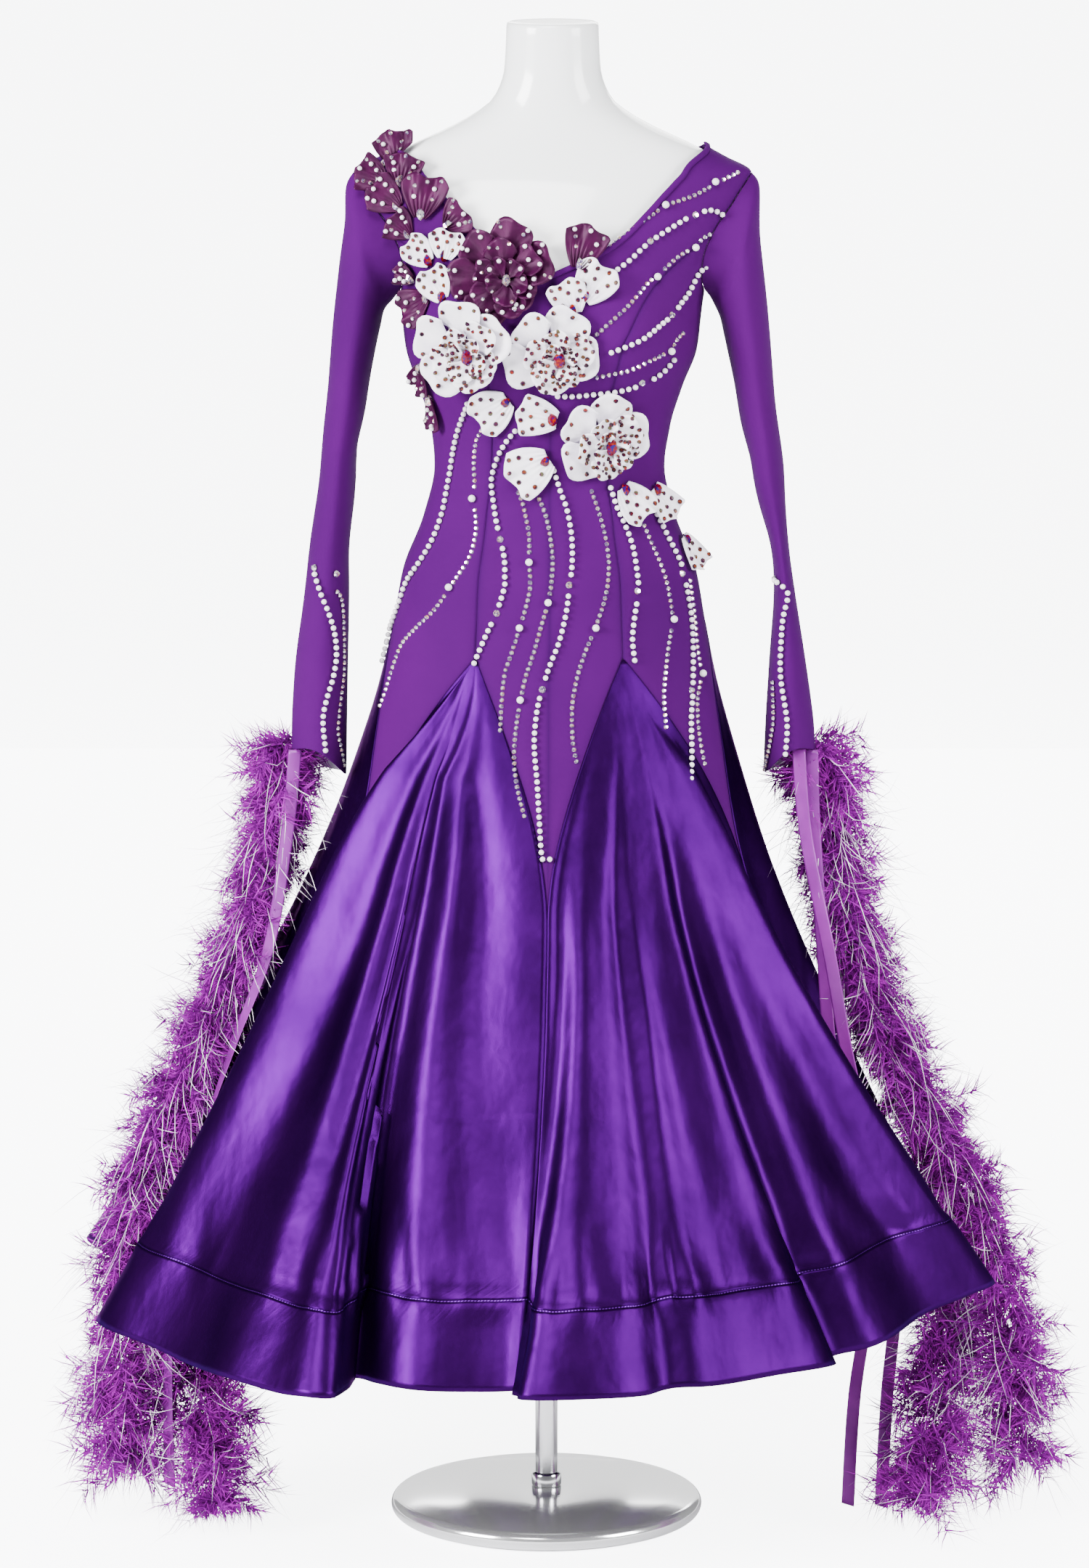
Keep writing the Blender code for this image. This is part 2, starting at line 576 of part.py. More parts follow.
def centre_panel(name, panel, back, finish, gown):
    """The front or back panel: one piece below the neck point, two straps above it."""
    half_columns = 4
    neck_level = BACK_NECK_LEVEL if back else V_NECK_LEVEL
    centre = 180.0 if back else 0.0
    levels = panel_levels(panel)
    levels += [height for height in CHEST_LEVELS if height <= neck_level]
    straps = strap_rows(back, neck_level, half_columns)
    outer = []
    inner = []
    index = {}

    def add(key, angle, height):
        normal = body_normal(angle, height)
        point = body_point(angle, height)
        index[key] = len(outer)
        outer.append(point)
        inner.append(point - WALL * normal)

    for row, height in enumerate(levels):
        left, right = side_limits(panel, height)
        middle = centre_angle(panel, height)
        for column in range(-half_columns, half_columns + 1):
            limit = right if column > 0 else left
            angle = middle + (limit - middle) * abs(column) / half_columns
            add((row, column, 0), angle, height)
    for step, places in enumerate(straps):
        row = len(levels) + step
        for side in (-1, 1):
            for column, (angle, height) in enumerate(places):
                turned = centre + side * abs(angle - centre)
                add((row, side * column, side if column == 0 else 0), turned, height)
    faces = []
    total = len(levels) + len(straps)
    for row in range(total - 1):
        for side in (-1, 1):
            for column in range(half_columns):
                def corner(r, c):
                    split = side if c == 0 and r >= len(levels) else 0
                    return index[(r, side * c, split)]
                face = (
                    corner(row, column), corner(row, column + 1),
                    corner(row + 1, column + 1), corner(row + 1, column),
                )
                faces.append(face if side > 0 else face[::-1])
    return closed_wall(name, outer, inner, faces, finish, gown)


def strap_edges(back, neck_level):
    """Places up the outer edge of a strap, and the marks that face them on the neck edge."""
    outer = [
        (princess_angle(height, back), height) for height in CHEST_LEVELS if height > neck_level
    ]
    outer += [armhole_place(turn, back) for turn in (90.0, 73.0, 56.0, 38.0, 20.0, 0.0)]
    marks = [NECK_END * (i + 1) / len(outer) for i in range(len(outer))]
    return outer, marks


def strap_rows(back, neck_level, half_columns):
    """Rows of places across one strap, from the neck edge to the outer edge, going up."""
    side = -1.0 if back else 1.0
    rows = []
    for (outer_angle, outer_height), mark in zip(*strap_edges(back, neck_level)):
        neck_angle, neck_height = neck_place(mark, back)
        outer_angle -= side * inset(outer_height)
        if mark == NECK_END:
            neck_angle = outer_angle
        rows.append(spread((neck_angle, neck_height), (outer_angle, outer_height), half_columns))
    return rows


def side_panel(name, panel, finish, gown):
    """A side panel, from its tip up to the armhole."""
    columns = 5
    levels = panel_levels(panel)
    back = abs(PANELS[panel].hip) > 90.0
    left_side = PANELS[panel].hip < 0.0
    rows = []
    for height in levels:
        left, right = side_limits(panel, height)
        rows.append(spread((left, height), (right, height), columns))
    shift = inset(UNDERARM_LEVEL)
    top = []
    for i in range(columns + 1):
        angle, height = armhole_place(180.0 - 90.0 * i / columns, back)
        height -= 0.5 * SEAM * (1.0 - i / columns)
        limit = (90.0 + shift) if back else (90.0 - shift)
        angle = max(angle, limit) if back else min(angle, limit)
        top.append((angle, height))
    seam_top = princess_angle(armhole_place(90.0)[1], back) + (-shift if back else shift)
    top[-1] = (seam_top, top[-1][1])
    if left_side:
        top = [(-angle, height) for angle, height in top]
    if (not back and not left_side) or (back and left_side):
        top.reverse()
    lower = rows[-1]
    seam_rise = armhole_place(90.0)[1] - TRUNK_LEVELS[-1]
    shares = [(height - TRUNK_LEVELS[-1]) / seam_rise for height in CHEST_LEVELS] + [1.0]
    for share in shares:
        between = []
        for (low_angle, low_height), (top_angle, top_height) in zip(lower, top):
            height = low_height + (top_height - low_height) * share
            angle = low_angle + (top_angle - low_angle) * share
            between.append((angle, height))
        for end, side in ((0, -1), (-1, 1)):
            height = between[end][1]
            apex_angle = apex_of(panel, side)[1]
            if share < 1.0:
                angle = seam_above(panel, side, height, apex_angle) - side * inset(height)
                between[end] = (angle, height)
        rows.append(between)
    return wall_from_places(name, rows, finish, gown)


def catmull(values, position):
    """A smooth curve through evenly spaced rows of numbers."""
    rows = np.asarray(values, float)
    i = min(int(position), len(rows) - 2)
    t = position - i
    before = rows[max(i - 1, 0)]
    here = rows[i]
    after = rows[i + 1]
    later = rows[min(i + 2, len(rows) - 1)]
    return 0.5 * (
        2.0 * here + (after - before) * t
        + (2.0 * before - 5.0 * here + 4.0 * after - later) * t * t
        + (3.0 * here - before - 3.0 * after + later) * t ** 3
    )


def godet_levels(name):
    """Heights of a godet's rows, from just under its apex down to the hem."""
    apex = GODET_APEX[GODETS[name].apex]
    levels = [height for height in HIP_LEVELS if height < apex]
    return sorted(levels, reverse=True) + sorted(SKIRT_LEVELS, reverse=True) + [HEM_LEVEL]


def godet_point(name, position, height):
    """A point of a godet: position counts its folds from the left."""
    cut = GODETS[name]
    folds = FOLDS[name]
    apex = GODET_APEX[cut.apex]
    share = (apex - height) / (apex - HEM_LEVEL)
    across = position / (len(folds) - 1)
    left = panel_edge(cut.left, 1, height)
    right = panel_edge(cut.right, -1, height)
    if right < left - 180.0:
        right += 360.0
    if left > right + 180.0:
        left -= 360.0
    gap = inset(height)
    left += gap
    right -= gap
    angle, reach, begins, lift, late, bow = catmull(folds, position)
    begins = min(max(begins, 0.0), 0.6)
    growth = max(share - begins, 0.0) / (1.0 - begins)
    late = min(max(late, 0.0), 1.0)
    slow = growth * (1.6 - 0.6 * growth)
    growth = growth * (1.0 - late + late * slow) if growth < 1.0 else 1.0
    swing = angle - (folds[0].angle + (folds[-1].angle - folds[0].angle) * across)
    turned = left + (right - left) * across + growth * swing
    room = min((right - left) / FULL_WIDTH, 1.0) ** 2
    turned += bow * room * sin(pi * min(max(share, 0.0), 1.0) ** 0.7)
    return body_point(turned, height + 0.001 * lift * growth, 1.0 + growth * (reach - 1.0))


def godet(name, finish, gown):
    """One satin godet: a wall over its folds, thicker inside the hem where it turns up."""
    folds = FOLDS[name]
    per_fold = 2
    columns = (len(folds) - 1) * per_fold + 1
    levels = godet_levels(name)
    outer = []
    inner = []
    for row, height in enumerate(levels):
        high = min(height + 0.004, levels[0])
        low = max(height - 0.004, HEM_LEVEL)
        for column in range(columns):
            position = column / per_fold
            left = max(position - 0.1, 0.0)
            right = min(position + 0.1, len(folds) - 1.0)
            across = godet_point(name, right, height) - godet_point(name, left, height)
            down = godet_point(name, position, low) - godet_point(name, position, high)
            normal = np.cross(down, across)
            normal = normal / np.linalg.norm(normal)
            point = godet_point(name, position, height)
            wall = WALL + (HEM_TURN_UP if height <= HEM_LEVEL + HEM_BAND else 0.0)
            outer.append(point)
            inner.append(point - wall * normal)
    faces = [face[::-1] for face in grid_faces(len(levels), columns)]
    return closed_wall("godet_" + name, outer, inner, faces, finish, gown)


def sleeve_point(stations, turn, row):
    """A point on a sleeve: turn 0 on the outer line, 90 at the front, 180 on the inner line."""
    right = stations[0].outer_x > 0.0
    if row == 0:
        folded = turn if turn <= 180.0 else 360.0 - turn
        angle, height = armhole_place(folded, back=turn > 180.0)
        middle = 0.5 * (SHOULDER_LEVEL + UNDERARM_LEVEL)
        shrink = 1.0 - SLEEVE_HEAD_REACH / 0.045
        angle = 90.0 + (angle - 90.0) * shrink
        height = middle + (height - middle) * shrink
        return body_point(angle if right else -angle, height)
    station = stations[row - 1]
    c = cos(radians(turn))
    s = sin(radians(turn))
    x = 0.5 * (station.outer_x + station.inner_x) + 0.5 * c * (station.outer_x - station.inner_x)
    z = 0.5 * (station.outer_z + station.inner_z) + 0.5 * c * (station.outer_z - station.inner_z)
    if row == len(stations):
        z += CUFF_FRONT_RISE * max(s, 0.0) ** 2 - CUFF_BACK_DROP * max(-s, 0.0) ** 2
    y = station.back - station.half_depth * s
    return np.array((x, y, z))


def sleeve(name, stations, finish, gown):
    """A long sleeve: a tube wall from the armhole down to its pointed cuff."""
    rows = len(stations) + 1
    step = 360.0 / SLEEVE_SIDES
    right = stations[0].outer_x > 0.0
    outer = []
    inner = []
    for row in range(rows):
        above = max(row - 1, 0)
        below = min(row + 1, rows - 1)
        for side in range(SLEEVE_SIDES):
            turn = side * step
            around = sleeve_point(stations, turn + step * 0.5, row)
            around = around - sleeve_point(stations, turn - step * 0.5, row)
            down = sleeve_point(stations, turn, below) - sleeve_point(stations, turn, above)
            normal = np.cross(around, down) * (1.0 if right else -1.0)
            normal = normal / np.linalg.norm(normal)
            point = sleeve_point(stations, turn, row)
            outer.append(point)
            inner.append(point - WALL * normal)
    faces = grid_faces(rows, SLEEVE_SIDES, ring=True)
    return closed_wall(name, outer, inner, faces, finish, gown)


def neck_binding(gown):
    """The narrow self binding that lies on the neck edge all round."""
    places = []
    for back, level in ((False, V_NECK_LEVEL), (True, BACK_NECK_LEVEL)):
        marks = [0.0] + strap_edges(back, level)[1]
        run = [neck_place(mark, back) for mark in marks]
        run[-1] = (90.0 + (inset(1.4) if back else -inset(1.4)), run[-1][1])
        places += run[::-1] if back else run
    loop = list(places)
    loop += [(-angle, height) for angle, height in reversed(places[1:-1])]
    count = len(loop)
    outer = []
    inner = []
    for i, (angle, height) in enumerate(loop):
        here = body_point(angle, height)
        ahead = body_point(*loop[(i + 1) % count])
        behind = body_point(*loop[(i - 1) % count])
        normal = body_normal(angle, height)
        along = (ahead - behind) / np.linalg.norm(ahead - behind)
        outward = np.cross(normal, along)
        if outward[2] > 0.0:
            outward = -outward
        base = here + BINDING_LIFT * normal
        outer.append(base + BINDING_WALL * normal)
        outer.append(base + BINDING_WALL * normal + BINDING_WIDTH * outward)
        inner.append(base)
        inner.append(base + BINDING_WIDTH * outward)
    faces = [
        (2 * i, 2 * ((i + 1) % count), 2 * ((i + 1) % count) + 1, 2 * i + 1) for i in range(count)
    ]
    return closed_wall("neck_binding", outer, inner, faces, JERSEY, gown)


def dress_form(gown):
    """The smooth limbless torso under the gown, with its flat neck cap and closed bottom."""
    sides = 24
    levels = [FORM_BOTTOM, 0.870, *HIP_LEVELS, *TRUNK_LEVELS, *CHEST_LEVELS]
    levels += [1.335, 1.360, 1.378, 1.392, 1.4005, 1.4153, 1.4285, 1.443, 1.463, 1.490]
    levels.append(NECK_CAP_LEVEL - 0.003)
    points = []
    for height in levels:
        under_strap = np.exp(-(((height - STRAP_MIDDLE) / STRAP_HALF_HEIGHT) ** 4))
        depth = WALL + FORM_CLEARANCE + FORM_SHOULDER_SINK * under_strap
        for side in range(sides):
            angle = 360.0 * side / sides
            if angle > 180.0:
                angle -= 360.0
            under_cup = FORM_CUP_SINK * cup_swell(angle, height) / CUP.out
            point = body_point(angle, height) - (depth + under_cup) * body_normal(angle, height)
            if height == FORM_BOTTOM:
                point[2] = FORM_BOTTOM
            points.append(point)
    cap = body_section(NECK_CAP_LEVEL)
    for side in range(sides):
        angle = 360.0 * side / sides
        point = body_point(angle, NECK_CAP_LEVEL)
        lean = np.array((cap[3], 0.0, NECK_CAP_LEVEL))
        points.append(lean + 0.90 * (point - lean))
    rows = len(levels) + 1
    faces = grid_faces(rows, sides, ring=True)
    faces.append(tuple(range(sides))[::-1])
    faces.append(tuple((rows - 1) * sides + side for side in range(sides)))
    return mesh_object("form_torso", points, faces, GLOSS_WHITE, gown)


def turned(name, profile, finish, gown, steps=40):
    """A turned piece from a profile of (radius, height) points, read down its outer side."""
    mesh = bpy.data.meshes.new(name)
    points = [(radius, 0.0, height) for radius, height in profile]
    edges = [(i, i + 1) for i in range(len(points) - 1)]
    mesh.from_pydata(points, edges, [])
    mesh.materials.append(material_of(name, finish))
    piece = bpy.data.objects.new(name, mesh)
    gown.objects.link(piece)
    screw = piece.modifiers.new("turn", "SCREW")
    screw.steps = steps
    screw.render_steps = steps
    screw.use_merge_vertices = True
    screw.merge_threshold = 0.0001
    return piece


def stand(gown):
    """The chrome pole, its collar and the round base with a rolled edge."""
    edge = 0.010
    base = [(0.0, BASE_TOP + 0.004), (0.040, BASE_TOP + 0.003), (BASE_RADIUS - 0.022, BASE_TOP)]
    for i in range(5):
        turn = radians(90.0 - 45.0 * i)
        base.append((BASE_RADIUS - edge + edge * cos(turn), 0.012 + edge * sin(turn)))
    base += [(BASE_RADIUS - 0.014, 0.0), (0.0, 0.0)]
    turned("stand_base", base, CHROME, gown, steps=30)
    foot = BASE_TOP + 0.004 + SEAM
    top = FORM_BOTTOM - SEAM
    turned("stand_pole", [(0.0, top), (POLE_RADIUS, top), (POLE_RADIUS, foot), (0.0, foot)],
           CHROME, gown, steps=16)


def place_angle(x, height, back=False):
    """The angle on the body of a place given by its distance to the side and its height."""
    half_width, _front, _back, lean = body_section(height)
    angle = float(np.degrees(np.arcsin((x - lean) / half_width)))
    return 180.0 - angle if back else angle


def local_steps(angle, height):
    """Metres of surface for a degree round the body, and for a metre of height."""
    across = np.linalg.norm(body_point(angle + 0.5, height) - body_point(angle - 0.5, height))
    rise = body_point(angle, height + 0.001) - body_point(angle, height - 0.001)
    return across, np.linalg.norm(rise) / 0.002


def petal(spot, finish, gown):
    """A fan petal that lies on the gown, its middle at a place, turned by lean degrees.

    lean 0 points up and 90 to +X. The far edge is scalloped and the fan cups a little.
    """
    angle = place_angle(0.001 * spot.x, 0.001 * spot.height, spot.back)
    height = 0.001 * spot.height
    length = 0.001 * spot.length
    width = 0.001 * spot.width
    across, rise = local_steps(angle, height)
    rows = 2
    columns = 5
    turn = radians(spot.lean)
    outer = []
    inner = []
    for row in range(rows + 1):
        share = 0.14 + 0.86 * row / rows
        for column in range(columns):
            fan = 2.0 * column / (columns - 1) - 1.0
            edge = 1.0 - 0.16 * fan * fan - 0.05 * (column % 2)
            along = length * (share * edge - 0.5)
            side = 0.5 * width * fan * share ** 0.7
            u = side * cos(turn) + along * sin(turn)
            v = along * cos(turn) - side * sin(turn)
            here = (angle + u / across, height + v / rise)
            cup = PETAL_CUP * share * share * (1.0 - 0.4 * fan * fan)
            base = on_body(*here, spot.out * 0.001 + cup)
            outer.append(base + PETAL_WALL * body_normal(*here))
            inner.append(base)
    faces = grid_faces(rows + 1, columns)
    return closed_wall(spot.name, outer, inner, faces, finish, gown)


def rosette(spot, finish, gown):
    """A ruffled flower that lies on the gown: a domed middle and a waved, lobed rim."""
    angle = place_angle(0.001 * spot.x, 0.001 * spot.height)
    height = 0.001 * spot.height
    across, rise = local_steps(angle, height)
    sectors = 16
    shares = (0.30, 0.66, 1.0)
    heights = (0.0090, 0.0060, 0.0032)
    outer = [on_body(angle, height, 0.0075 + 0.001 * spot.out)]
    inner = [on_body(angle, height, 0.001 * spot.out)]
    for share, lift in zip(shares, heights):
        for sector in range(sectors):
            turn = 2.0 * pi * sector / sectors
            lobe = 1.0 - 0.12 * share * (0.5 - 0.5 * cos(spot.lobes * turn))
            reach = 0.001 * spot.radius * share * lobe
            here = (angle + reach * sin(turn) / across, height + reach * cos(turn) / rise)
            wave = 0.0020 * share * sin(spot.lobes * turn + 3.0 * share)
            outer.append(on_body(*here, 0.001 * spot.out + lift + wave))
            inner.append(on_body(*here, 0.001 * spot.out))
    faces = []
    for sector in range(sectors):
        after = (sector + 1) % sectors
        faces.append((0, 1 + after, 1 + sector))
        for ring in range(len(shares) - 1):
            near = 1 + ring * sectors
            far = near + sectors
            faces.append((near + sector, near + after, far + after, far + sector))
    return closed_wall(spot.name, outer, inner, faces, finish, gown)


def smooth_route(route, count):
    """Points at even steps of a smooth curve through a route's own points."""
    fine = [catmull(route, (len(route) - 1) * i / 200.0) for i in range(201)]
    lengths = np.concatenate([[0.0], np.cumsum(np.linalg.norm(np.diff(fine, axis=0), axis=1))])
    marks = np.linspace(0.0, lengths[-1], count)
    return np.stack([np.interp(marks, lengths, np.array(fine)[:, axis]) for axis in range(3)], 1)


def route_frames(points):
    """The direction along a route and two directions across it, at each point."""
    frames = []
    for i in range(len(points)):
        along = points[min(i + 1, len(points) - 1)] - points[max(i - 1, 0)]
        along = along / np.linalg.norm(along)
        side = np.cross(along, (0.0, 1.0, 0.0))
        side = side / np.linalg.norm(side)
        frames.append((along, side, np.cross(side, along)))
    return frames


def skirt_outline(height):
    """The skirt's outline at a height: angles round the axis and the radius at each."""
    outline = []
    for name in GODETS:
        for step in range(4 * (len(FOLDS[name]) - 1) + 1):
            x, y, _z = godet_point(name, step / 4.0, height)
            outline.append((np.arctan2(x, -y), np.hypot(x, y)))
    return np.array(outline)


def room_outside_skirt(point, outlines):
    """How far a point lies outside the skirt, measured from the axis."""
    if point[2] < HEM_LEVEL - 0.01 or point[2] > GODET_APEX["front"]:
        return 1.0
    near = min(outlines, key=lambda height: abs(height - point[2]))
    outline = outlines[near]
    turn = np.arctan2(point[0], -point[1])
    close = np.abs((outline[:, 0] - turn + pi) % (2.0 * pi) - pi) < 0.06
    return np.hypot(point[0], point[1]) - outline[close, 1].max()


def boa(name, route, other, obstacles, outlines, gown):
    """A feather boa: a core tube with four-sided locks drawn out of its faces.

    The locks point away from the other strand and stay clear of the skirt and ribbons.
    """
    rings = 24
    sides = 6
    points = smooth_route(route, rings)
    frames = route_frames(points)
    beside = smooth_route(other, rings)
    body = []
    for i in range(rings):
        _along, side, cross = frames[i]
        for k in range(sides):
            turn = 2.0 * pi * k / sides
            body.append(points[i] + BOA_CORE * (side * cos(turn) + cross * sin(turn)))
    faces = []
    locks = 0
    for i in range(rings - 1):
        middle = 0.5 * (points[i] + points[i + 1])
        away = middle - beside[np.argmin(np.abs(beside[:, 2] - middle[2]))]
        away = away / np.linalg.norm(away)
        for k in range(sides):
            after = (k + 1) % sides
            ring = (i * sides + k, i * sides + after, (i + 1) * sides + after, (i + 1) * sides + k)
            root = sum(body[j] for j in ring) / 4.0
            out = (root - middle) / np.linalg.norm(root - middle)
            tip = None
            if out.dot(away) > 0.12 and (i + k) % 4 != 3 and i > 0:
                tip = lock_tip(root, out, i, k, obstacles, outlines)
            if tip is None:
                faces.append(ring)
                continue
            locks += 1
            body.append(tip)
            tip_index = len(body) - 1
            for j in range(4):
                faces.append((ring[j], ring[(j + 1) % 4], tip_index))
    faces.append(tuple(range(sides))[::-1])
    faces.append(tuple((rings - 1) * sides + k for k in range(sides)))
    assert locks <= 62, "too many locks on " + name
    return mesh_object(name, body, faces, FEATHER, gown, smooth=False)


def lock_tip(root, out, i, k, obstacles, outlines):
    """The tip of a lock of feather, or None where there is no room for one."""
    length = BOA_LOCK * (0.80 + 0.28 * sin(2.3 * i + 1.7 * k))
    for _attempt in range(6):
        tip = root + length * (out * 0.93 + np.array((0.0, 0.0, -0.36)))
        tip[2] = max(tip[2], LOCK_FLOOR)
        samples = [root + (tip - root) * share for share in (0.4, 0.7, 1.0)]
        free = all(room_outside_skirt(sample, outlines) > 0.009 for sample in samples)
        if free and len(obstacles):
            gaps = [np.linalg.norm(obstacles - sample, axis=1).min() for sample in samples]
            free = min(gaps) > 0.012
        if free:
            return tip
        length *= 0.72
    return None


def ribbon(name, route, gown):
    """A flat satin ribbon along a route of (x, y, z, turn of its width in degrees)."""
    rows = np.array(route, float)
    count = 9
    centres = smooth_route(rows[:, :3], count)
    turns = np.interp(np.linspace(0.0, 1.0, count), np.linspace(0.0, 1.0, len(rows)), rows[:, 3])
    outer = []
    inner = []
    for i in range(count):
        along = centres[min(i + 1, count - 1)] - centres[max(i - 1, 0)]
        across = np.array((cos(radians(turns[i])), sin(radians(turns[i])), 0.0))
        normal = np.cross(along, across)
        normal = normal / np.linalg.norm(normal)
        for side in (-0.5, 0.5):
            outer.append(centres[i] + side * RIBBON_WIDTH * across)
            inner.append(centres[i] + side * RIBBON_WIDTH * across - RIBBON_WALL * normal)
    faces = []
    for a, b, c, d in grid_faces(count, 2):
        faces.append((a, b, c))
        faces.append((a, c, d))
    return closed_wall(name, outer, inner, faces, ORCHID_RIBBON, gown)


def trims(gown):
    """Petals, flowers, ribbons and boas."""
    for spot in PLUM_PETALS:
        petal(spot, PLUM_SATIN, gown)
    for spot in WHITE_PETALS:
        petal(spot, WHITE_SATIN, gown)
    for spot in FLOWERS:
        rosette(spot, PLUM_SATIN if spot.name == "flower_plum" else WHITE_SATIN, gown)
    for name, route in RIBBONS.items():
        ribbon("ribbon_" + name, route, gown)
    outlines = {height: skirt_outline(height) for height in np.arange(0.229, 0.91, 0.03)}
    obstacles = np.concatenate([
        smooth_route(np.array(route, float)[:, :3], 40) for route in RIBBONS.values()
    ])
    for name, other in (("l1", "l2"), ("l2", "l1"), ("r1", "r2"), ("r2", "r1")):
        boa("boa_" + name, BOAS[name], BOAS[other], obstacles, outlines, gown)


def build_gown():
    """Build every piece."""
    gown = start_empty_scene()
    dress_form(gown)
    stand(gown)
    centre_panel("panel_front", "front", False, JERSEY, gown)
    centre_panel("panel_back", "back", True, JERSEY, gown)
    for panel in ("side_front_r", "side_front_l", "side_back_r", "side_back_l"):
        side_panel("panel_" + panel, panel, JERSEY, gown)
    for name in GODETS:
        godet(name, SATIN, gown)
    sleeve("sleeve_r", SLEEVE_R, JERSEY, gown)
    sleeve("sleeve_l", SLEEVE_L, JERSEY, gown)
    neck_binding(gown)
    trims(gown)


build_gown()
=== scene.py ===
"""Looks of a ballroom gown with godet skirt, flowers, feather boas and ribbons on a form.

Metres, +Z up, the gown faces -Y. A place on the body is an angle (0 front centre, +90 the
+X side, 180 back) and a height. The cloth here is thin shells on the forms of the solids.
"""

import logging
from dataclasses import dataclass, field
from enum import Enum
from math import cos, pi, radians, sin
from typing import Callable, NamedTuple

import bmesh
import bpy
import numpy as np
from mathutils import Euler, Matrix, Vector


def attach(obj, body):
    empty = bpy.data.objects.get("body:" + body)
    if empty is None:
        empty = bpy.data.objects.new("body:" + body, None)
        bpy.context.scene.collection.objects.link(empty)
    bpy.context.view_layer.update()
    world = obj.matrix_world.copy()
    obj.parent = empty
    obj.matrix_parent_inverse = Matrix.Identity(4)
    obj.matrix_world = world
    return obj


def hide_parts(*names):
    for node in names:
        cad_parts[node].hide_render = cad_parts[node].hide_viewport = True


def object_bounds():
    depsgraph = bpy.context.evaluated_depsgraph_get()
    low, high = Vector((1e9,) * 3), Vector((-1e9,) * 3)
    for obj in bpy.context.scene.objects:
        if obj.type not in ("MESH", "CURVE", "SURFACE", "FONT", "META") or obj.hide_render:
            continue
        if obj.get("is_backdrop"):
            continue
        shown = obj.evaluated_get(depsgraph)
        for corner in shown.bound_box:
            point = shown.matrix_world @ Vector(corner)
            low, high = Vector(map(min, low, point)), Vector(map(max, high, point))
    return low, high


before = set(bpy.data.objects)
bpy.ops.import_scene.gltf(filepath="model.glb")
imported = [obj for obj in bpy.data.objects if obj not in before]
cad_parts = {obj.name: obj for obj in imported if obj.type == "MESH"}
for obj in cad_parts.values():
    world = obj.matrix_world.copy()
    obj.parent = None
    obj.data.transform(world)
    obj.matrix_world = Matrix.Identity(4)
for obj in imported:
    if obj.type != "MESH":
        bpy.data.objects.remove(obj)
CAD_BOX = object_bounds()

LOG = logging.getLogger("gown")
Array = np.ndarray
SurfaceFunction = Callable[[Array, Array], Array]
Pixel = tuple[float, float]
Colour = tuple[float, float, float, float]
Piece = bpy.types.Object
Node = bpy.types.Node
Socket = bpy.types.NodeSocket
SIDEWAYS = np.array((1.0, 0.0, 0.0))
UP = np.array((0.0, 0.0, 1.0))
HEM_DEPTH = 0.090


class StoneKind(Enum):
    """The kinds of stone, each with a finish of its own."""

    PEARL = "pearl"
    CLEAR = "clear"
    RED = "red"
    AMBER = "amber"
    RAINBOW = "rainbow"


class Section(NamedTuple):
    """A section of the body: half width, front and back depths and sideways lean."""

    height: float
    half_width: float
    front: float
    back: float
    lean: float


class SeamPlace(NamedTuple):
    """Angles of the front and back seams at a height."""

    height: float
    front: float
    back: float


class EdgePlace(NamedTuple):
    """A place on the neck edge."""

    angle: float
    height: float


class PanelCut(NamedTuple):
    """A jersey panel: centre angle at hip, tip and hem, and the height of its tip."""

    hip: float
    tip: float
    hem: float
    tip_height: float


class GodetCut(NamedTuple):
    """A godet: the panels beside it, its apex height and apex angle."""

    left: str
    right: str
    apex: float
    angle: float


class Fold(NamedTuple):
    """A fold at the hem: angle, reach, where it begins down the godet, lift in mm.

    Then how late it swells (0 is a straight cone) and the degrees that it bows above.
    """

    angle: float
    reach: float
    begins: float
    lift: float
    late: float = 1.0
    bow: float = 0.0


class Crease(NamedTuple):
    """A soft ridge or trough on a godet: position at the top and hem, begin, width, mm."""

    top: float
    hem: float
    begins: float
    width: float
    depth: float


class Wrinkle(NamedTuple):
    """A drag line in the jersey: middle, lean in degrees, length, width and depth in mm."""

    angle: float
    height: float
    lean: float
    length: float
    width: float
    depth: float


class Station(NamedTuple):
    """A ring of a sleeve: outer and inner lines from the front, half depth, back shift."""

    outer_x: float
    outer_z: float
    inner_x: float
    inner_z: float
    half_depth: float
    back: float


class PetalSpot(NamedTuple):
    """A fan petal: middle, length, width, lean, how far it lies out in mm, front turn."""

    number: int
    x: float
    height: float
    length: float
    width: float
    lean: float
    out: float
    white: bool
    toward: float = 0.5

    @property
    def name(self) -> str:
        """The petal's name in the part."""
        return f"petal_{'white' if self.white else 'plum'}_{self.number}"


class FlowerSpot(NamedTuple):
    """A flower: middle and radius in mm, lobes, how far it lies out, first turn."""

    name: str
    x: float
    height: float
    radius: float
    lobes: int
    out: float
    turn: float
    white: bool


class Gem(NamedTuple):
    """A stone: diameter and height in metres, sides, kind, length as a share of width."""

    diameter: float
    rise: float
    sides: int
    kind: StoneKind
    tall: float = 1.0


def table_of(kind: type, rows: tuple[tuple, ...]) -> tuple:
    """A table of named rows from rows of plain numbers."""
    return tuple(kind(*row) for row in rows)


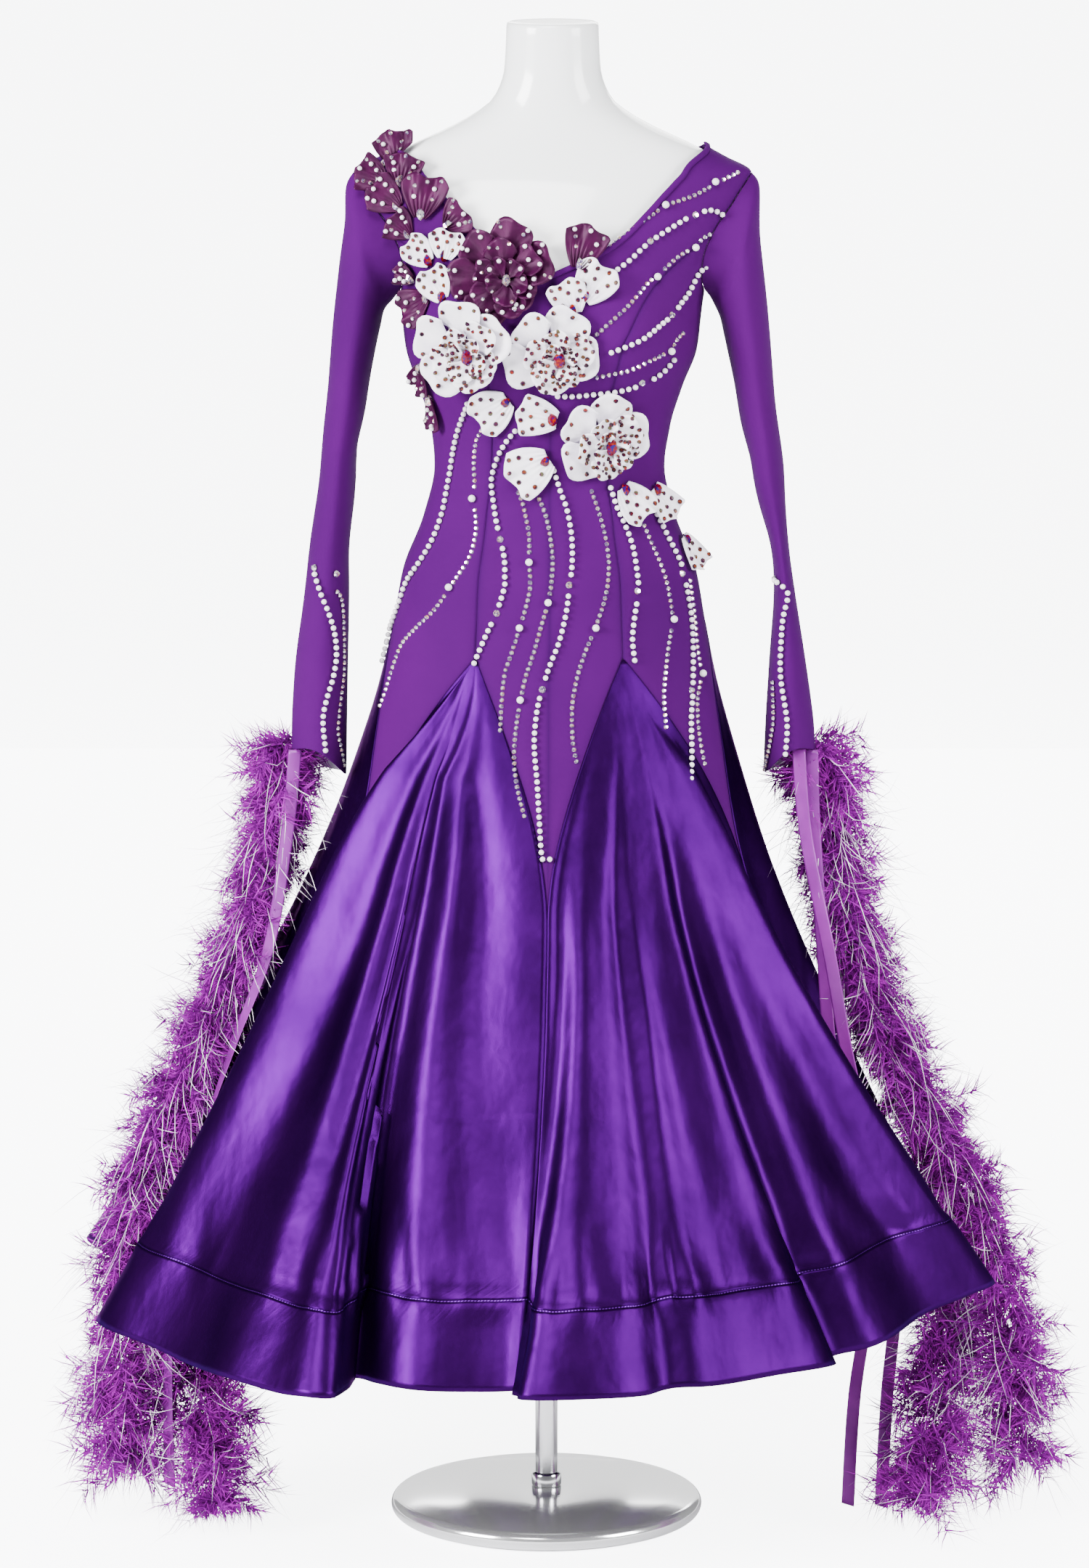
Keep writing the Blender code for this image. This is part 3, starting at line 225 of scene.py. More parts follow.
BODY = table_of(Section, (
    (0.2, 0.355, 0.368, 0.4, 0.0), (0.229, 0.347, 0.36, 0.39, 0.0), (0.4, 0.3, 0.3, 0.325, 0.0),
    (0.68, 0.222, 0.196, 0.215, 0.001), (0.8, 0.19, 0.15, 0.165, 0.002),
    (0.87, 0.171, 0.123, 0.138, 0.002), (0.93, 0.158, 0.108, 0.122, 0.003),
    (0.985, 0.148, 0.102, 0.111, 0.003), (1.04, 0.127, 0.09, 0.097, 0.003),
    (1.091, 0.116, 0.083, 0.087, 0.003), (1.13, 0.1205, 0.086, 0.086, 0.004),
    (1.17, 0.1325, 0.094, 0.089, 0.004), (1.21, 0.1465, 0.102, 0.094, 0.005),
    (1.24, 0.15, 0.104, 0.097, 0.005), (1.267, 0.1525, 0.102, 0.099, 0.006),
    (1.3, 0.164, 0.097, 0.099, 0.006), (1.333, 0.182, 0.088, 0.095, 0.006),
    (1.36, 0.196, 0.076, 0.086, 0.006), (1.386, 0.1995, 0.062, 0.073, 0.006),
    (1.4005, 0.176, 0.058, 0.066, 0.006), (1.4153, 0.149, 0.055, 0.061, 0.006),
    (1.4285, 0.117, 0.053, 0.057, 0.006), (1.443, 0.087, 0.051, 0.053, 0.006),
    (1.463, 0.061, 0.049, 0.05, 0.006), (1.49, 0.0515, 0.048, 0.048, 0.006),
    (1.54, 0.049, 0.048, 0.048, 0.006),
))
PRINCESS = table_of(SeamPlace, (
    (0.9, 27.0, 150.0), (1.0, 29.0, 150.0), (1.061, 30.5, 150.0), (1.188, 27.0, 149.5),
    (1.217, 28.0, 148.0), (1.24, 32.0, 145.0), (1.267, 37.5, 139.0), (1.295, 46.0, 130.0),
    (1.3265, 62.6, 117.4),
))
FRONT_NECK = table_of(EdgePlace, (
    (90.0, 1.4153), (71.0, 1.4098), (56.7, 1.4038), (41.4, 1.3908), (34.5, 1.3729),
    (29.2, 1.3549), (23.8, 1.3344), (18.9, 1.3214), (10.8, 1.309), (0.0, 1.295),
))
BACK_NECK = table_of(EdgePlace, (
    (90.0, 1.4153), (122.0, 1.405), (136.0, 1.387), (145.0, 1.36), (152.0, 1.335), (160.0, 1.308),
    (170.0, 1.284), (180.0, 1.268),
))
PANELS = {
    "front": PanelCut(0.0, 0.0, -4.0, 0.660),
    "side_front_r": PanelCut(58.5, 65.0, 96.0, 0.690),
    "side_back_r": PanelCut(120.0, 123.0, 138.0, 0.690),
    "back": PanelCut(180.0, 180.0, 180.0, 0.660),
    "side_back_l": PanelCut(-120.0, -123.0, -138.0, 0.690),
    "side_front_l": PanelCut(-58.5, -65.0, -88.0, 0.690),
}
GODETS = {
    "front_l": GodetCut("side_front_l", "front", 0.909, -27.0),
    "front_r": GodetCut("front", "side_front_r", 0.909, 27.0),
    "side_r": GodetCut("side_front_r", "side_back_r", 0.932, 90.0),
    "back_r": GodetCut("side_back_r", "back", 0.932, 150.0),
    "back_l": GodetCut("back", "side_back_l", 0.932, -150.0),
    "side_l": GodetCut("side_back_l", "side_front_l", 0.932, -90.0),
}
FOLDS = {
    "front_l": table_of(Fold, (
        (-88.0, 1.0, 0.05, 0, 0.0, 0), (-83.0, 1.22, 0.05, 6, 0.0, -4),
        (-73.4, 1.36, 0.02, 8, 0.0, -9), (-63.0, 1.3, 0.03, 4, 0.1, -7),
        (-54.0, 1.285, 0.05, 1, 0.4, -5), (-43.0, 1.29, 0.05, 0, 0.6, -4),
        (-33.0, 1.315, 0.1, 0, 0.8, -4), (-28.2, 1.285, 0.16, 0, 1.0, -8),
        (-28.6, 1.18, 0.12, 0, 1.0, -11), (-31.0, 1.065, 0.03, 0, 1.0, -12.5),
        (-26.0, 1.085, 0.05, 0, 1.0, -11), (-19.0, 1.11, 0.15, 0, 1.0, -10.5),
        (-11.0, 1.075, 0.2, 0, 1.0, -7), (-4.0, 1.05, 0.25, 0, 1.0, 0),
    )),
    "front_r": table_of(Fold, (
        (-4.0, 1.05, 0.25, 0), (-4.6, 1.11, 0.25, 0), (-2.4, 1.158, 0.22, 0), (6.0, 1.15, 0.2, 0),
        (14.5, 1.132, 0.2, 0), (19.0, 1.085, 0.25, 0), (25.0, 1.105, 0.16, 0),
        (36.0, 1.1, 0.08, 0), (46.5, 1.128, 0.06, 0), (51.0, 1.07, 0.3, 0), (57.0, 1.13, 0.14, 5),
        (69.0, 1.18, 0.08, 17, 0.4, 1), (77.0, 1.285, 0.1, 26, 0.1, 2),
        (82.5, 1.35, 0.12, 30, 0.0, 3), (88.0, 1.22, 0.12, 24, 0.4, 1), (93.5, 1.0, 0.15, 10),
        (96.0, 0.87, 0.34, 0),
    )),
    "side_r": table_of(Fold, (
        (96.0, 0.87, 0.34, 0), (99.5, 1.02, 0.06, 0), (106.0, 1.28, 0.02, 0),
        (113.0, 1.16, 0.1, 0), (119.0, 1.08, 0.15, 0), (126.5, 1.27, 0.08, 0),
        (133.0, 1.12, 0.2, 0), (138.0, 0.98, 0.25, 0),
    )),
    "back_r": table_of(Fold, (
        (138.0, 0.98, 0.25, 0), (143.0, 1.14, 0.2, 0), (149.0, 1.27, 0.08, 0),
        (155.0, 1.12, 0.15, 0), (161.0, 1.1, 0.2, 0), (168.5, 1.3, 0.05, 0),
        (175.0, 1.12, 0.15, 0), (180.0, 1.0, 0.25, 0),
    )),
    "back_l": table_of(Fold, (
        (-180.0, 1.0, 0.25, 0), (-174.0, 1.17, 0.12, 0), (-167.0, 1.26, 0.06, 0),
        (-161.0, 1.1, 0.18, 0), (-155.0, 1.08, 0.25, 0), (-148.0, 1.28, 0.08, 0),
        (-142.0, 1.12, 0.2, 0), (-138.0, 1.0, 0.25, 0),
    )),
    "side_l": table_of(Fold, (
        (-138.0, 1.0, 0.25, 0), (-132.0, 1.18, 0.15, 0), (-125.0, 1.36, 0.06, 0),
        (-116.5, 1.56, 0.04, 0), (-109.0, 1.4, 0.06, 0), (-102.0, 1.22, 0.1, 0),
        (-95.0, 1.04, 0.2, 0), (-88.0, 1.0, 0.1, 0),
    )),
}
CREASES = {
    "front_l": table_of(Crease, (
        (2.1, 2.5, 0.05, 0.34, 4.5), (4.2, 3.5, 0.05, 0.4, -6.0), (4.95, 4.95, 0.1, 0.24, 4.5),
        (5.7, 5.6, 0.15, 0.18, -3.2), (6.7, 6.2, 0.2, 0.2, 3.0), (8.8, 9.0, 0.0, 0.42, -4.0),
        (10.2, 10.6, 0.1, 0.34, 2.6), (11.0, 12.4, 0.05, 0.38, -6.0),
    )),
    "front_r": table_of(Crease, (
        (0.8, 0.9, 0.1, 0.3, -3.0), (2.2, 2.3, 0.2, 0.34, 2.4), (4.4, 4.2, 0.1, 0.28, -3.4),
        (5.3, 5.4, 0.25, 0.22, 2.0), (6.2, 6.5, 0.35, 0.18, -2.0), (7.6, 7.6, 0.2, 0.3, 3.2),
        (9.0, 9.0, 0.15, 0.34, -6.0), (10.4, 10.2, 0.2, 0.26, 2.4), (11.6, 11.2, 0.35, 0.2, -2.4),
        (12.8, 12.6, 0.25, 0.24, 2.2), (14.0, 14.2, 0.3, 0.2, -2.0),
    )),
    "side_r": table_of(Crease, (
        (1.6, 1.4, 0.25, 0.16, -1.8), (2.6, 2.7, 0.35, 0.18, 1.8), (4.4, 4.5, 0.3, 0.16, -1.6),
        (5.5, 5.4, 0.4, 0.18, 2.0),
    )),
    "back_r": table_of(Crease, (
        (1.5, 1.5, 0.3, 0.18, 1.8), (2.6, 2.5, 0.4, 0.16, -1.8), (4.4, 4.5, 0.25, 0.18, 1.8),
        (5.6, 5.6, 0.35, 0.16, -1.6),
    )),
    "back_l": table_of(Crease, (
        (1.4, 1.5, 0.35, 0.16, -1.8), (2.5, 2.4, 0.25, 0.2, 1.8), (3.6, 3.5, 0.45, 0.16, -1.4),
        (5.4, 5.5, 0.3, 0.18, 2.0),
    )),
    "side_l": table_of(Crease, (
        (1.4, 1.4, 0.3, 0.18, -1.8), (2.5, 2.6, 0.25, 0.16, 2.0), (3.4, 3.5, 0.35, 0.18, -1.8),
        (4.6, 4.4, 0.2, 0.16, 1.8),
    )),
}
WRINKLES = table_of(Wrinkle, (
    (-40.0, 1.15, 62.0, 52, 7, -0.9), (-30.0, 1.118, 74.0, 44, 6, 0.7),
    (-62.0, 1.106, 80.0, 50, 7, -1.0), (-52.0, 1.078, 96.0, 46, 6, 0.8),
    (46.0, 1.136, -70.0, 54, 7, -0.9), (58.0, 1.11, -82.0, 46, 6, 0.8),
    (66.0, 1.082, -98.0, 48, 7, -0.9), (20.0, 1.076, 88.0, 60, 8, -0.6),
    (-8.0, 1.1, 92.0, 56, 8, 0.5), (38.0, 1.036, -58.0, 60, 8, 0.6),
    (-44.0, 1.03, 60.0, 58, 8, -0.6), (120.0, 1.15, 70.0, 52, 7, -0.9),
    (132.0, 1.112, 84.0, 56, 7, 0.8), (148.0, 1.088, 92.0, 60, 8, -0.9),
    (-118.0, 1.14, -72.0, 54, 7, 0.9), (-134.0, 1.104, -86.0, 54, 7, -0.9),
    (-160.0, 1.08, -92.0, 62, 8, 0.7), (172.0, 1.124, 90.0, 58, 8, -0.6),
    (-66.0, 1.252, 38.0, 34, 6, -0.9), (70.0, 1.25, -36.0, 36, 6, -0.9),
    (112.0, 1.256, 40.0, 38, 6, -0.9), (-110.0, 1.262, -42.0, 38, 6, -0.9),
))
SLEEVE_R = table_of(Station, (
    (0.213, 1.372, 0.1655, 1.258, 0.05, 0.006), (0.2145, 1.335, 0.1705, 1.246, 0.055, 0.008),
    (0.2185, 1.285, 0.1765, 1.228, 0.058, 0.009), (0.2235, 1.235, 0.183, 1.2, 0.058, 0.009),
    (0.23, 1.16, 0.194, 1.145, 0.056, 0.008), (0.239, 1.085, 0.206, 1.085, 0.054, 0.004),
    (0.244, 1.015, 0.224, 1.015, 0.05, -0.002), (0.251, 0.965, 0.229, 0.965, 0.048, -0.004),
    (0.262, 0.895, 0.225, 0.895, 0.046, -0.004), (0.27, 0.835, 0.2215, 0.825, 0.045, -0.004),
    (0.2716, 0.802, 0.2205, 0.778, 0.044, -0.004),
))
SLEEVE_L = table_of(Station, (
    (-0.201, 1.37, -0.1535, 1.258, 0.05, 0.006), (-0.203, 1.335, -0.162, 1.246, 0.055, 0.008),
    (-0.2085, 1.285, -0.1675, 1.228, 0.058, 0.009), (-0.2145, 1.235, -0.173, 1.2, 0.058, 0.009),
    (-0.221, 1.16, -0.183, 1.145, 0.056, 0.008), (-0.2286, 1.085, -0.192, 1.085, 0.054, 0.004),
    (-0.239, 1.005, -0.1985, 1.005, 0.05, -0.002), (-0.245, 0.95, -0.2, 0.95, 0.048, -0.004),
    (-0.253, 0.89, -0.2015, 0.89, 0.046, -0.004), (-0.257, 0.835, -0.2025, 0.825, 0.045, -0.004),
    (-0.2578, 0.802, -0.203, 0.776, 0.044, -0.004),
))
PETALS = table_of(PetalSpot, (
    (1, -150, 1408, 29, 30, -14, 0.15, False, 1.8), (2, -142, 1390, 24, 30, 10, 0.5, False, 1.0),
    (3, -172, 1385, 26, 28, -67, 0.0, False, 0.9), (4, -157, 1364, 30, 30, -58, 0.0, False),
    (5, -121, 1364, 34, 36, 8, 1.5, False), (6, -143, 1336, 22, 28, -50, 0.25, False),
    (7, -90, 1345, 20, 30, 50, 0.5, False), (8, -137, 1288, 18, 18, -70, 0.5, False),
    (9, -127, 1258, 30, 30, -120, 1.2, False), (10, 36, 1318, 34, 32, 20, 2.65, False),
    (11, -122, 1186, 28, 24, -140, 0.05, False, -0.2),
    (12, -112, 1150, 28, 24, -165, 0.7, False, -0.2), (1, -124, 1312, 30, 28, -50, 0.15, True),
    (2, -98, 1320, 27, 30, 10, 0.0, True), (3, -108, 1280, 32, 32, -30, 0.5, True),
    (4, 46, 1284, 38, 36, 35, 0.15, True), (5, 22, 1270, 32, 32, -20, 0.1, True),
    (6, -52, 1158, 38, 38, -123, 0.8, True), (7, -8, 1152, 38, 34, -78, 1.0, True),
    (8, -15, 1098, 42, 42, -121, 0.75, True), (9, 86, 1062, 38, 34, 145, 0.8, True),
    (10, 114, 1058, 36, 30, 150, 0.5, True), (11, 142, 1004, 36, 30, 160, 0.4, True),
))
FLOWERS = (
    FlowerSpot("flower_plum", -42, 1291, 54, 6, 2.9, 0.3, False),
    FlowerSpot("flower_white_1", -79, 1218, 51, 5, 1.0, 0.0, True),
    FlowerSpot("flower_white_2", 9, 1214, 48, 5, 0.5, 0.5, True),
    FlowerSpot("flower_white_3", 58, 1124, 47, 5, 1.6, 0.2, True),
)
BOAS = {
    "l1": (
        (-0.2647, 0.01, 0.807), (-0.27, 0.01, 0.78), (-0.277, 0.011, 0.72), (-0.306, 0.014, 0.61),
        (-0.35, 0.02, 0.5), (-0.392, 0.024, 0.41), (-0.425, 0.018, 0.31), (-0.432, 0.008, 0.22),
        (-0.434, -0.012, 0.13), (-0.43, -0.03, 0.062),
    ),
    "l2": (
        (-0.2557, 0.0321, 0.807), (-0.262, 0.038, 0.78), (-0.269, 0.044, 0.72),
        (-0.296, 0.05, 0.61), (-0.338, 0.056, 0.5), (-0.375, 0.06, 0.41), (-0.398, 0.05, 0.31),
        (-0.39, 0.022, 0.22), (-0.356, -0.008, 0.13), (-0.34, -0.062, 0.06),
        (-0.335, -0.086, 0.034),
    ),
    "r1": (
        (0.2784, 0.01, 0.807), (0.284, 0.01, 0.78), (0.29, 0.012, 0.72), (0.312, 0.018, 0.61),
        (0.348, 0.024, 0.5), (0.396, 0.03, 0.41), (0.444, 0.026, 0.31), (0.472, 0.012, 0.22),
        (0.482, -0.01, 0.13), (0.482, -0.03, 0.066),
    ),
    "r2": (
        (0.269, 0.033, 0.807), (0.276, 0.041, 0.78), (0.282, 0.046, 0.72), (0.303, 0.053, 0.61),
        (0.336, 0.06, 0.5), (0.378, 0.066, 0.41), (0.412, 0.064, 0.31), (0.414, 0.044, 0.22),
        (0.404, -0.006, 0.13), (0.39, -0.06, 0.06), (0.385, -0.086, 0.034),
    ),
}
RIBBONS = {
    "r1": (
        (0.268, -0.025, 0.8037, 0), (0.271, -0.028, 0.72, 0), (0.28, -0.04, 0.6, 0),
        (0.288, -0.052, 0.5, -10), (0.306, -0.034, 0.4, -18), (0.322, 0.006, 0.319, -5),
        (0.335, 0.046, 0.235, 10), (0.318, 0.018, 0.12, 0), (0.311, 0.0, 0.008, 0),
    ),
    "r2": (
        (0.2545, -0.0375, 0.8066, 0), (0.262, -0.046, 0.72, 0), (0.286, -0.066, 0.6, 0),
        (0.304, -0.064, 0.5, -10), (0.327, -0.042, 0.4, -18), (0.347, 0.002, 0.319, -5),
        (0.362, 0.042, 0.235, 10), (0.351, 0.01, 0.12, 0), (0.345, -0.006, 0.008, 0),
    ),
    "l1": (
        (-0.254, -0.025, 0.8036, 0), (-0.262, -0.028, 0.72, -10), (-0.282, -0.026, 0.6, -30),
        (-0.318, -0.014, 0.5, -60), (-0.352, -0.01, 0.4, -80), (-0.378, -0.012, 0.3, -80),
        (-0.386, -0.024, 0.22, -60), (-0.388, -0.04, 0.13, -40), (-0.386, -0.048, 0.042, -30),
    ),
}


def monotone(places: Array, values: Array, at: Array) -> Array:
    """Read a table's column smoothly and with no overshoot.

    Args:
        places: Rising places of the rows.
        values: The column's values.
        at: Places to read.

    Returns:
        The value at each place.
    """
    places = np.asarray(places, float)
    values = np.asarray(values, float)
    at = np.clip(np.asarray(at, float), places[0], places[-1])
    steps = np.diff(places)
    slopes = np.diff(values) / steps
    tangents = np.zeros(len(places))
    tangents[0] = slopes[0]
    tangents[-1] = slopes[-1]
    before = slopes[:-1]
    after = slopes[1:]
    same = before * after > 0.0
    safe = np.where(same, before + after, 1.0)
    tangents[1:-1] = np.where(same, 2.0 * before * after / safe, 0.0)
    i = np.clip(np.searchsorted(places, at, side="right") - 1, 0, len(places) - 2)
    step = steps[i]
    t = (at - places[i]) / step
    return (
        values[i] * (1.0 + 2.0 * t) * (1.0 - t) ** 2
        + values[i + 1] * t * t * (3.0 - 2.0 * t)
        + step * tangents[i] * t * (1.0 - t) ** 2
        + step * tangents[i + 1] * t * t * (t - 1.0)
    )


def catmull(rows: Array, position: Array) -> Array:
    """Points of a smooth curve through evenly spaced rows of numbers.

    Args:
        rows: The rows, as an array of (rows, columns).
        position: Places counted in rows.

    Returns:
        An array of (places, columns).
    """
    rows = np.asarray(rows, float)
    position = np.asarray(position, float)
    last = len(rows) - 1
    i = np.clip(position.astype(int), 0, last - 1)
    t = (position - i)[:, None]
    before = rows[np.maximum(i - 1, 0)]
    here = rows[i]
    after = rows[i + 1]
    later = rows[np.minimum(i + 2, last)]
    return 0.5 * (
        2.0 * here + (after - before) * t
        + (2.0 * before - 5.0 * here + 4.0 * after - later) * t * t
        + (3.0 * here - before - 3.0 * after + later) * t ** 3
    )


def smooth_route(route: Array, count: int) -> Array:
    """Points at even steps of a smooth curve through a route's points.

    Args:
        route: The route's points.
        count: Number of points.

    Returns:
        The points.
    """
    fine = catmull(route, np.linspace(0.0, len(route) - 1.0, 401))
    gaps = np.linalg.norm(np.diff(fine[:, :3], axis=0), axis=1)
    lengths = np.concatenate([[0.0], np.cumsum(gaps)])
    marks = np.linspace(0.0, lengths[-1], count)
    return np.stack([np.interp(marks, lengths, column) for column in fine.T], axis=1)


def unit(vectors: Array) -> Array:
    """The same directions with length one."""
    return vectors / np.maximum(np.linalg.norm(vectors, axis=-1, keepdims=True), 1e-12)


def clamped(values: Array) -> Array:
    """Values held between 0 and 1."""
    return np.clip(values, 0.0, 1.0)


def smoothstep(values: Array) -> Array:
    """An eased step from 0 to 1."""
    t = clamped(values)
    return t * t * (3.0 - 2.0 * t)


def normals_of(surface: SurfaceFunction, u: Array, v: Array, du: float, dv: float) -> Array:
    """Unit normals of a surface of two parameters, by small steps either way.

    Args:
        surface: The surface's function.
        u: First parameter.
        v: Second parameter.
        du: Step in u.
        dv: Step in v.

    Returns:
        The normals.
    """
    along_u = surface(u + du, v) - surface(u - du, v)
    along_v = surface(u, v + dv) - surface(u, v - dv)
    return unit(np.cross(along_u, along_v))


@dataclass
class GownSurface:
    """The gown's outer surface, from the same tables as the solids.

    Attributes:
        hem: Height of the hem.
        seam: Gap at the seams.
        cup: Angle, height, spread in angle and height, and swell of each bust cup.
        armhole: Shoulder height, underarm height and half angle of the armhole.
        degree: Metres of cloth in a degree round the waist.
        levels: Heights at which the table is read.
        columns: What the table's columns give at these heights.
    """

    hem: float = 0.229
    seam: float = 0.0003
    cup: tuple[float, float, float, float, float] = (36.0, 1.222, 22.0, 0.042, 0.018)
    armhole: tuple[float, float, float] = (1.386, 1.267, 27.4)
    degree: float = 0.0022
    levels: Array = field(default_factory=lambda: np.linspace(0.20, 1.54, 2681))
    columns: dict[str, Array] = field(default_factory=dict)

    def __post_init__(self) -> None:
        """Read the body's table once at close levels."""
        heights = [row.height for row in BODY]
        for name in ("half_width", "front", "back", "lean"):
            values = [getattr(row, name) for row in BODY]
            self.columns[name] = monotone(heights, values, self.levels)

    def column(self, name: str, height: Array) -> Array:
        """One of the body's sizes at some heights."""
        return np.interp(height, self.levels, self.columns[name])

    def relief(self, angle: Array, height: Array) -> Array:
        """How far the drag lines lift or sink the jersey.

        Args:
            angle: Angles round the body in degrees.
            height: Heights.

        Returns:
            Distances out.
        """
        rise = np.zeros(np.broadcast(angle, height).shape)
        for line in WRINKLES:
            turn = (angle - line.angle + 180.0) % 360.0 - 180.0
            across = self.degree * turn
            up = height - line.height
            lean = radians(line.lean)
            along = across * sin(lean) + up * cos(lean)
            beside = across * cos(lean) - up * sin(lean) + 2.0 * along * along
            shape = np.exp(-(along / (0.0005 * line.length)) ** 2)
            rise = rise + 0.001 * line.depth * shape * np.exp(-(beside / (0.001 * line.width)) ** 2)
        return rise

    def point(self, angle: Array, height: Array, reach: Array | float = 1.0) -> Array:
        """Points of the surface.

        Args:
            angle: Angles round the body in degrees.
            height: Heights.
            reach: Shares of the body's radius.

        Returns:
            An array of (places, 3).
        """
        angle, height, reach = np.broadcast_arrays(
            np.asarray(angle, float), np.asarray(height, float), np.asarray(reach, float)
        )
        turn = np.radians(angle)
        depth = np.where(
            np.cos(turn) > 0.0, self.column("front", height), self.column("back", height))
        swell = np.zeros(angle.shape)
        cup_angle, cup_height, spread, tall, out = self.cup
        for side in (-1.0, 1.0):
            swell = swell + out * np.exp(
                -(((angle - side * cup_angle) / spread) ** 2)
                - ((height - cup_height) / tall) ** 2
            )
        lift = self.relief(angle, height)
        half = reach * self.column("half_width", height) + lift
        x = self.column("lean", height) + half * np.sin(turn)
        y = -(reach * depth + lift) * np.cos(turn) - swell
        return np.stack([x, y, height], axis=-1)

    def normal(self, angle: Array, height: Array) -> Array:
        """Outward unit normals of the surface."""
        angle = np.asarray(angle, float)
        return normals_of(self.point, angle, np.asarray(height, float), 0.4, 0.0008)

    def outside(self, angle: Array, height: Array, out: Array | float) -> Array:
        """Points at a distance out from the surface."""
        out = np.asarray(out, float)[..., None] if np.ndim(out) else out
        return self.point(angle, height) + out * self.normal(angle, height)

    def inset(self, height: Array, share: float = 0.1) -> Array:
        """Half of the seam gap as an angle."""
        return share * self.seam / self.column("half_width", height) * 180.0 / pi

    def princess(self, height: Array, back: bool) -> Array:
        """Angle of the seam between the centre panel and the side panel.

        Args:
            height: Heights.
            back: True for the back.

        Returns:
            Angles in degrees.
        """
        heights = [row.height for row in PRINCESS]
        angles = [row.back if back else row.front for row in PRINCESS]
        return monotone(heights, angles, height)

    def armhole_place(self, turn: Array, back: bool) -> tuple[Array, Array]:
        """A place on the +X armhole: turn 0 at the shoulder, 180 at the underarm.

        Args:
            turn: Turns in degrees.
            back: True for the back.

        Returns:
            Angles and heights.
        """
        top, bottom, half = self.armhole
        side = 1.0 if back else -1.0
        turn = np.radians(np.asarray(turn, float))
        return 90.0 + side * half * np.sin(turn), 0.5 * (top + bottom) + 0.5 * (
            top - bottom) * np.cos(turn)

    def neck_place(self, share: Array, back: bool) -> tuple[Array, Array]:
        """A place on the neck edge, from the centre (0) to the shoulder (1).

        Args:
            share: Shares of the way.
            back: True for the back.

        Returns:
            Angles and heights.
        """
        edge = (BACK_NECK if back else FRONT_NECK)[::-1]
        marks = np.linspace(0.0, 1.0, len(edge))
        angle = monotone(marks, [place.angle for place in edge], share)
        return angle, monotone(marks, [place.height for place in edge], share)

    def centre_angle(self, panel: str, height: Array) -> Array:
        """Angle of a panel's centre line, and below its tip of the seam there."""
        cut = PANELS[panel]
        return monotone((self.hem, cut.tip_height, 0.93), (cut.hem, cut.tip, cut.hip), height)

    def apex_of(self, panel: str, side: int) -> tuple[float, float]:
        """Height and angle of the godet on one side of a panel.

        Args:
            panel: Its name.
            side: Its side, -1 or 1.

        Returns:
            The height and the angle.
        """
        for cut in GODETS.values():
            if (side > 0 and cut.left == panel) or (side < 0 and cut.right == panel):
                break
        angle = cut.angle
        hip = PANELS[panel].hip
        if side > 0 and angle < hip - 180.0:
            angle += 360.0
        if side < 0 and angle > hip:
            angle -= 360.0
        return cut.apex, angle

    def panel_edge(self, panel: str, side: int, height: Array) -> Array:
        """Angle of a panel's edge along a godet.

        Args:
            panel: Its name.
            side: Its side, -1 or 1.
            height: Heights.

        Returns:
            Angles in degrees.
        """
        apex, apex_angle = self.apex_of(panel, side)
        share = (apex - height) / (apex - PANELS[panel].tip_height)
        middle = self.centre_angle(panel, height)
        half = apex_angle - self.centre_angle(panel, np.array([apex]))[0]
        return middle + half * (1.0 - clamped(share)) ** 1.9

    def seam_above(self, panel: str, side: int, height: Array) -> Array:
        """Angle of a panel's seam above the godets.

        Args:
            panel: Its name.
            side: Its side, -1 or 1.
            height: Heights.

        Returns:
            Angles in degrees.
        """
        _apex, angle = self.apex_of(panel, side)
        if abs(abs(angle) - 90.0) < 1.0:
            return np.full(np.shape(height), angle)
        seam = self.princess(height, abs(angle) > 90.0)
        if angle > 180.0:
            return 360.0 - seam
        return seam if angle > 0.0 else -seam

    def panel_limit(self, panel: str, side: int, height: Array) -> Array:
        """Angle of a panel's edge at any height, short of the seam by half a gap.

        Args:
            panel: Its name.
            side: Its side, -1 or 1.
            height: Heights.

        Returns:
            Angles in degrees.
        """
        apex, _angle = self.apex_of(panel, side)
        low = self.panel_edge(panel, side, height)
        high = self.seam_above(panel, side, np.maximum(height, 0.9))
        return np.where(height < apex, low, high) - side * self.inset(height)

    def place_angle(self, x: float, height: float) -> float:
        """The front angle of a place given by its distance to the side.

        Args:
            x: The distance.
            height: The height.

        Returns:
            The angle in degrees.
        """
        spot = np.array([height])
        share = (x - self.column("lean", spot)[0]) / self.column("half_width", spot)[0]
        return float(np.degrees(np.arcsin(np.clip(share, -1.0, 1.0))))

    def pushed_out(self, points: Array, clearance: Array) -> Array:
        """Points moved sideways out of the body where they lie too near it.

        Args:
            points: The points.
            clearance: Least distance of each from the surface.

        Returns:
            The points, each at its own height.
        """
        height = points[:, 2]
        lean = self.column("lean", height)
        half = self.column("half_width", height)
        x = points[:, 0] - lean
        y = points[:, 1]
        for _round in range(3):
            angle = np.degrees(np.arctan2(x / half, -y / self.column("front", height)))
            skin = self.point(angle, height)
            gap = np.hypot(x, y) - np.hypot(skin[:, 0] - lean, skin[:, 1])
            short = np.maximum(clearance - gap, 0.0)
            away = unit(np.stack([x, y], axis=1))
            x = x + short * away[:, 0]
            y = y + short * away[:, 1]
        return np.stack([x + lean, y, height], axis=1)


SURFACE = GownSurface()


